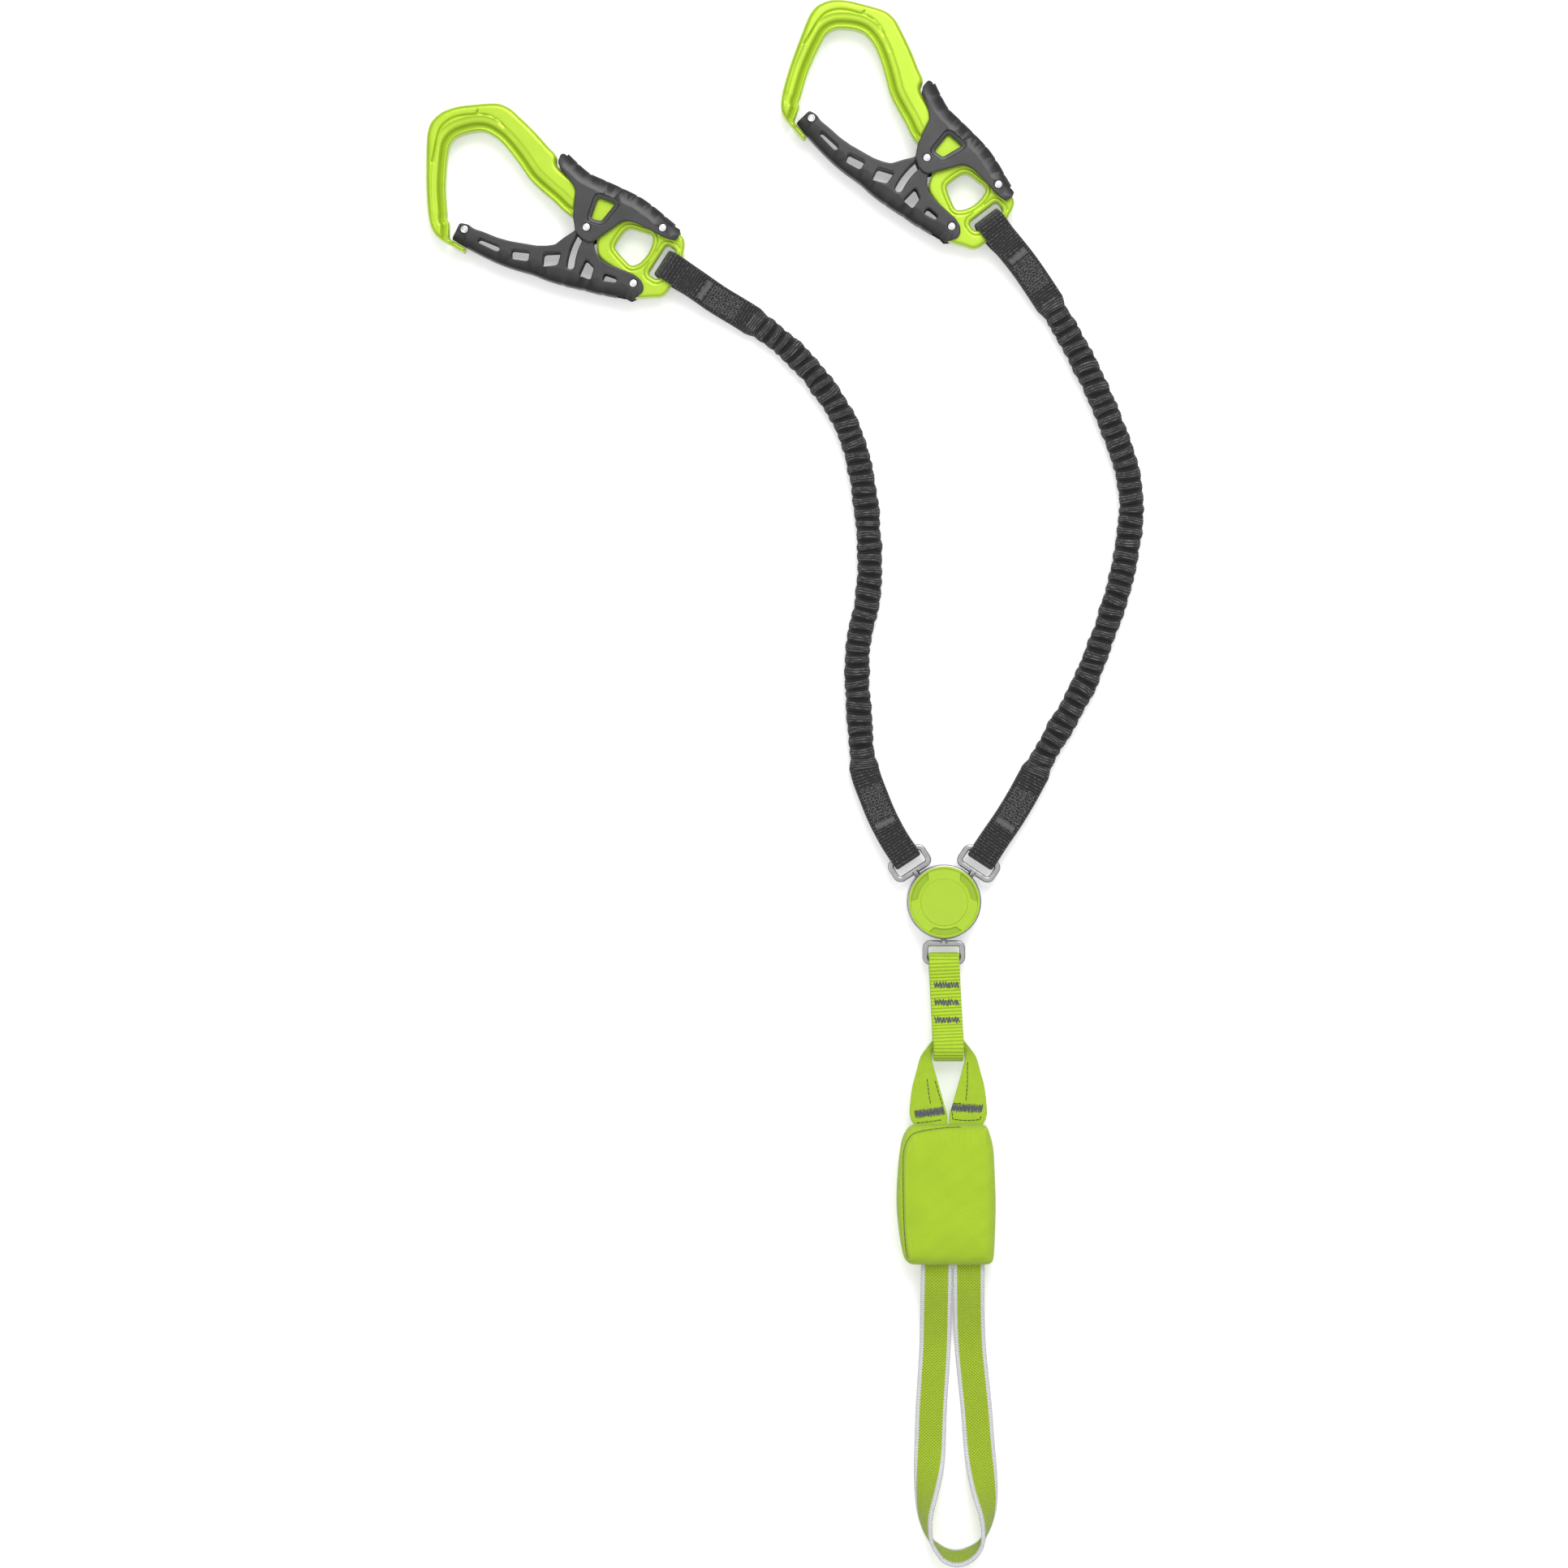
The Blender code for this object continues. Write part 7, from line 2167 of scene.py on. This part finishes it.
class LANYARD_OT_absorber(bpy.types.Operator):
    """Builds the absorber: its eye with its sewing, its tear webbing and its filled pouch"""

    bl_idname = "lanyard.absorber"
    bl_label = "Absorber"

    def execute(self, context):
        eye = build_eye()
        finish_piece(eye, look("eye_webbing", eye_webbing), "absorber", "green_webbing", "absorber_eye")
        tacks = []
        for number, (start, end) in enumerate(EYE_TACKS):
            for turn in range(3):
                seed = EYE_TACK_SEED + 5 * number + turn
                path = zigzag(start, end, EYE_TACK_HEIGHT, EYE_TACK_PITCH, seed, EYE_TACK_SLACK)
                tacks.append(dense(path, TACK_STEP))
        thickness = sizes().thread
        grey = look("thread_grey", thread, "thread_grey", colours().thread_grey)
        sew("eye_tacks", eye, tacks, EYE_TACK_LIFT, thickness * 0.85, grey, "absorber", "green_webbing")
        runs = [dash for seam in EYE_SEAMS for dash in dashes(smooth(seam, 5), *EYE_STITCH)]
        dark = look("thread_dark", thread, "thread_dark", colours().thread_dark)
        sew("eye_seams", eye, runs, EYE_SEAM_LIFT, thickness, dark, "absorber", "green_webbing")
        pack = tape("tear_webbing", pack_line(), LEVEL, tape_section(PACK_WIDTH, PACK_PLY))
        undyed = look("undyed_webbing", undyed_webbing)
        finish_piece(pack, undyed, "absorber", "undyed_webbing", "tear_webbing_pack")
        pouch = build_pouch()
        cloth = look("pouch_cloth", pouch_cloth)
        finish_piece(pouch, cloth, "absorber", "green_fabric", "absorber_pouch")
        runs = dashes(smooth(POUCH_SEAM, 6), *POUCH_STITCH)
        sew("pouch_seam", pouch, runs, POUCH_SEAM_LIFT, thickness, dark, "absorber", "green_fabric")
        return {"FINISHED"}


class LANYARD_OT_tie_in_loop(bpy.types.Operator):
    """Builds the tie-in loop"""

    bl_idname = "lanyard.tie_in_loop"
    bl_label = "Tie-in loop"

    def execute(self, context):
        line, across = tie_in_line()
        piece = tape("tie_in_webbing", line, across, tape_section(LOOP_WIDTH, LOOP_PLY))
        webbing = look("loop_webbing", loop_webbing)
        finish_piece(piece, webbing, "absorber", "green_webbing", "tie_in_loop")
        return {"FINISHED"}


class LANYARD_OT_stage(bpy.types.Operator):
    """Lays the floor and sets plain soft studio light"""

    bl_idname = "lanyard.stage"
    bl_label = "Stage"

    def execute(self, context):
        line = np.linspace(-FLOOR_REACH, FLOOR_REACH, 3)
        x, y = np.meshgrid(line, line, indexing="ij")
        points = np.stack([x, y, np.full_like(x, FLOOR_HEIGHT)], axis=-1)
        floor = surface("floor", points, points[..., :2], close_v=False)
        if floor.data.polygons[0].normal.z < 0:
            floor.data.flip_normals()
        floor.data.materials.append(look("floor_paint", floor_paint))
        world = bpy.data.worlds.new("studio")
        world.use_nodes = True
        tree = world.node_tree
        direction = tree.nodes.new("ShaderNodeTexCoord")
        parts = tree.nodes.new("ShaderNodeSeparateXYZ")
        rise = tree.nodes.new("ShaderNodeMapRange")
        rise.interpolation_type = "SMOOTHSTEP"
        for socket, number in zip(rise.inputs[1:5], SKY_RISE):
            socket.default_value = number
        light = tree.nodes.new("ShaderNodeLightPath")
        seen = tree.nodes.new("ShaderNodeMix")
        tree.links.new(direction.outputs["Generated"], parts.inputs[0])
        tree.links.new(parts.outputs[2], rise.inputs[0])
        tree.links.new(light.outputs["Is Camera Ray"], seen.inputs[0])
        tree.links.new(rise.outputs[0], seen.inputs[2])
        seen.inputs[3].default_value = 1.0
        tree.links.new(seen.outputs[0], tree.nodes["Background"].inputs["Strength"])
        tree.nodes["Background"].inputs["Color"].default_value = (1, 1, 1, 1)
        context.scene.world = world
        for name, place, size, power in LAMPS:
            lamp = bpy.data.lights.new(name, "AREA")
            lamp.energy, lamp.size = power, size
            obj = bpy.data.objects.new(name, lamp)
            obj.location = place
            way = Vector(LAMP_TARGET) - Vector(place)
            obj.rotation_euler = way.to_track_quat("-Z", "Y").to_euler()
            context.scene.collection.objects.link(obj)
        context.scene.view_settings.view_transform = "Standard"
        return {"FINISHED"}


class LANYARD_PT_panel(bpy.types.Panel):
    """Lists what builds the lanyard"""

    bl_idname = "LANYARD_PT_panel"
    bl_label = "Via ferrata lanyard"
    bl_space_type = "VIEW_3D"
    bl_region_type = "UI"
    bl_category = "Lanyard"

    def draw(self, context):
        for operator in OPERATORS:
            self.layout.operator(operator.bl_idname)
        for group in (context.scene.lanyard_sizes, context.scene.lanyard_colours):
            box = self.layout.box()
            for name in group.__annotations__:
                box.prop(group, name)


GROUPS = (LanyardSizes, LanyardColours)
OPERATORS = (
    LANYARD_OT_camera,
    LANYARD_OT_arms,
    LANYARD_OT_tie_in_loop,
    LANYARD_OT_sling,
    LANYARD_OT_absorber,
    LANYARD_OT_swivel,
    LANYARD_OT_frames,
    LANYARD_OT_gates,
    LANYARD_OT_levers,
    LANYARD_OT_rivets,
    LANYARD_OT_stage,
)


def register():
    for group in (*GROUPS, *OPERATORS, LANYARD_PT_panel):
        bpy.utils.register_class(group)
    bpy.types.Scene.lanyard_sizes = bpy.props.PointerProperty(type=LanyardSizes)
    bpy.types.Scene.lanyard_colours = bpy.props.PointerProperty(type=LanyardColours)


def unregister():
    del bpy.types.Scene.lanyard_colours
    del bpy.types.Scene.lanyard_sizes
    for group in (LANYARD_PT_panel, *reversed(OPERATORS), *reversed(GROUPS)):
        bpy.utils.unregister_class(group)


def main():
    register()
    for operator in OPERATORS:
        area, name = operator.bl_idname.split(".")
        getattr(getattr(bpy.ops, area), name)()


if __name__ == "__main__":
    main()
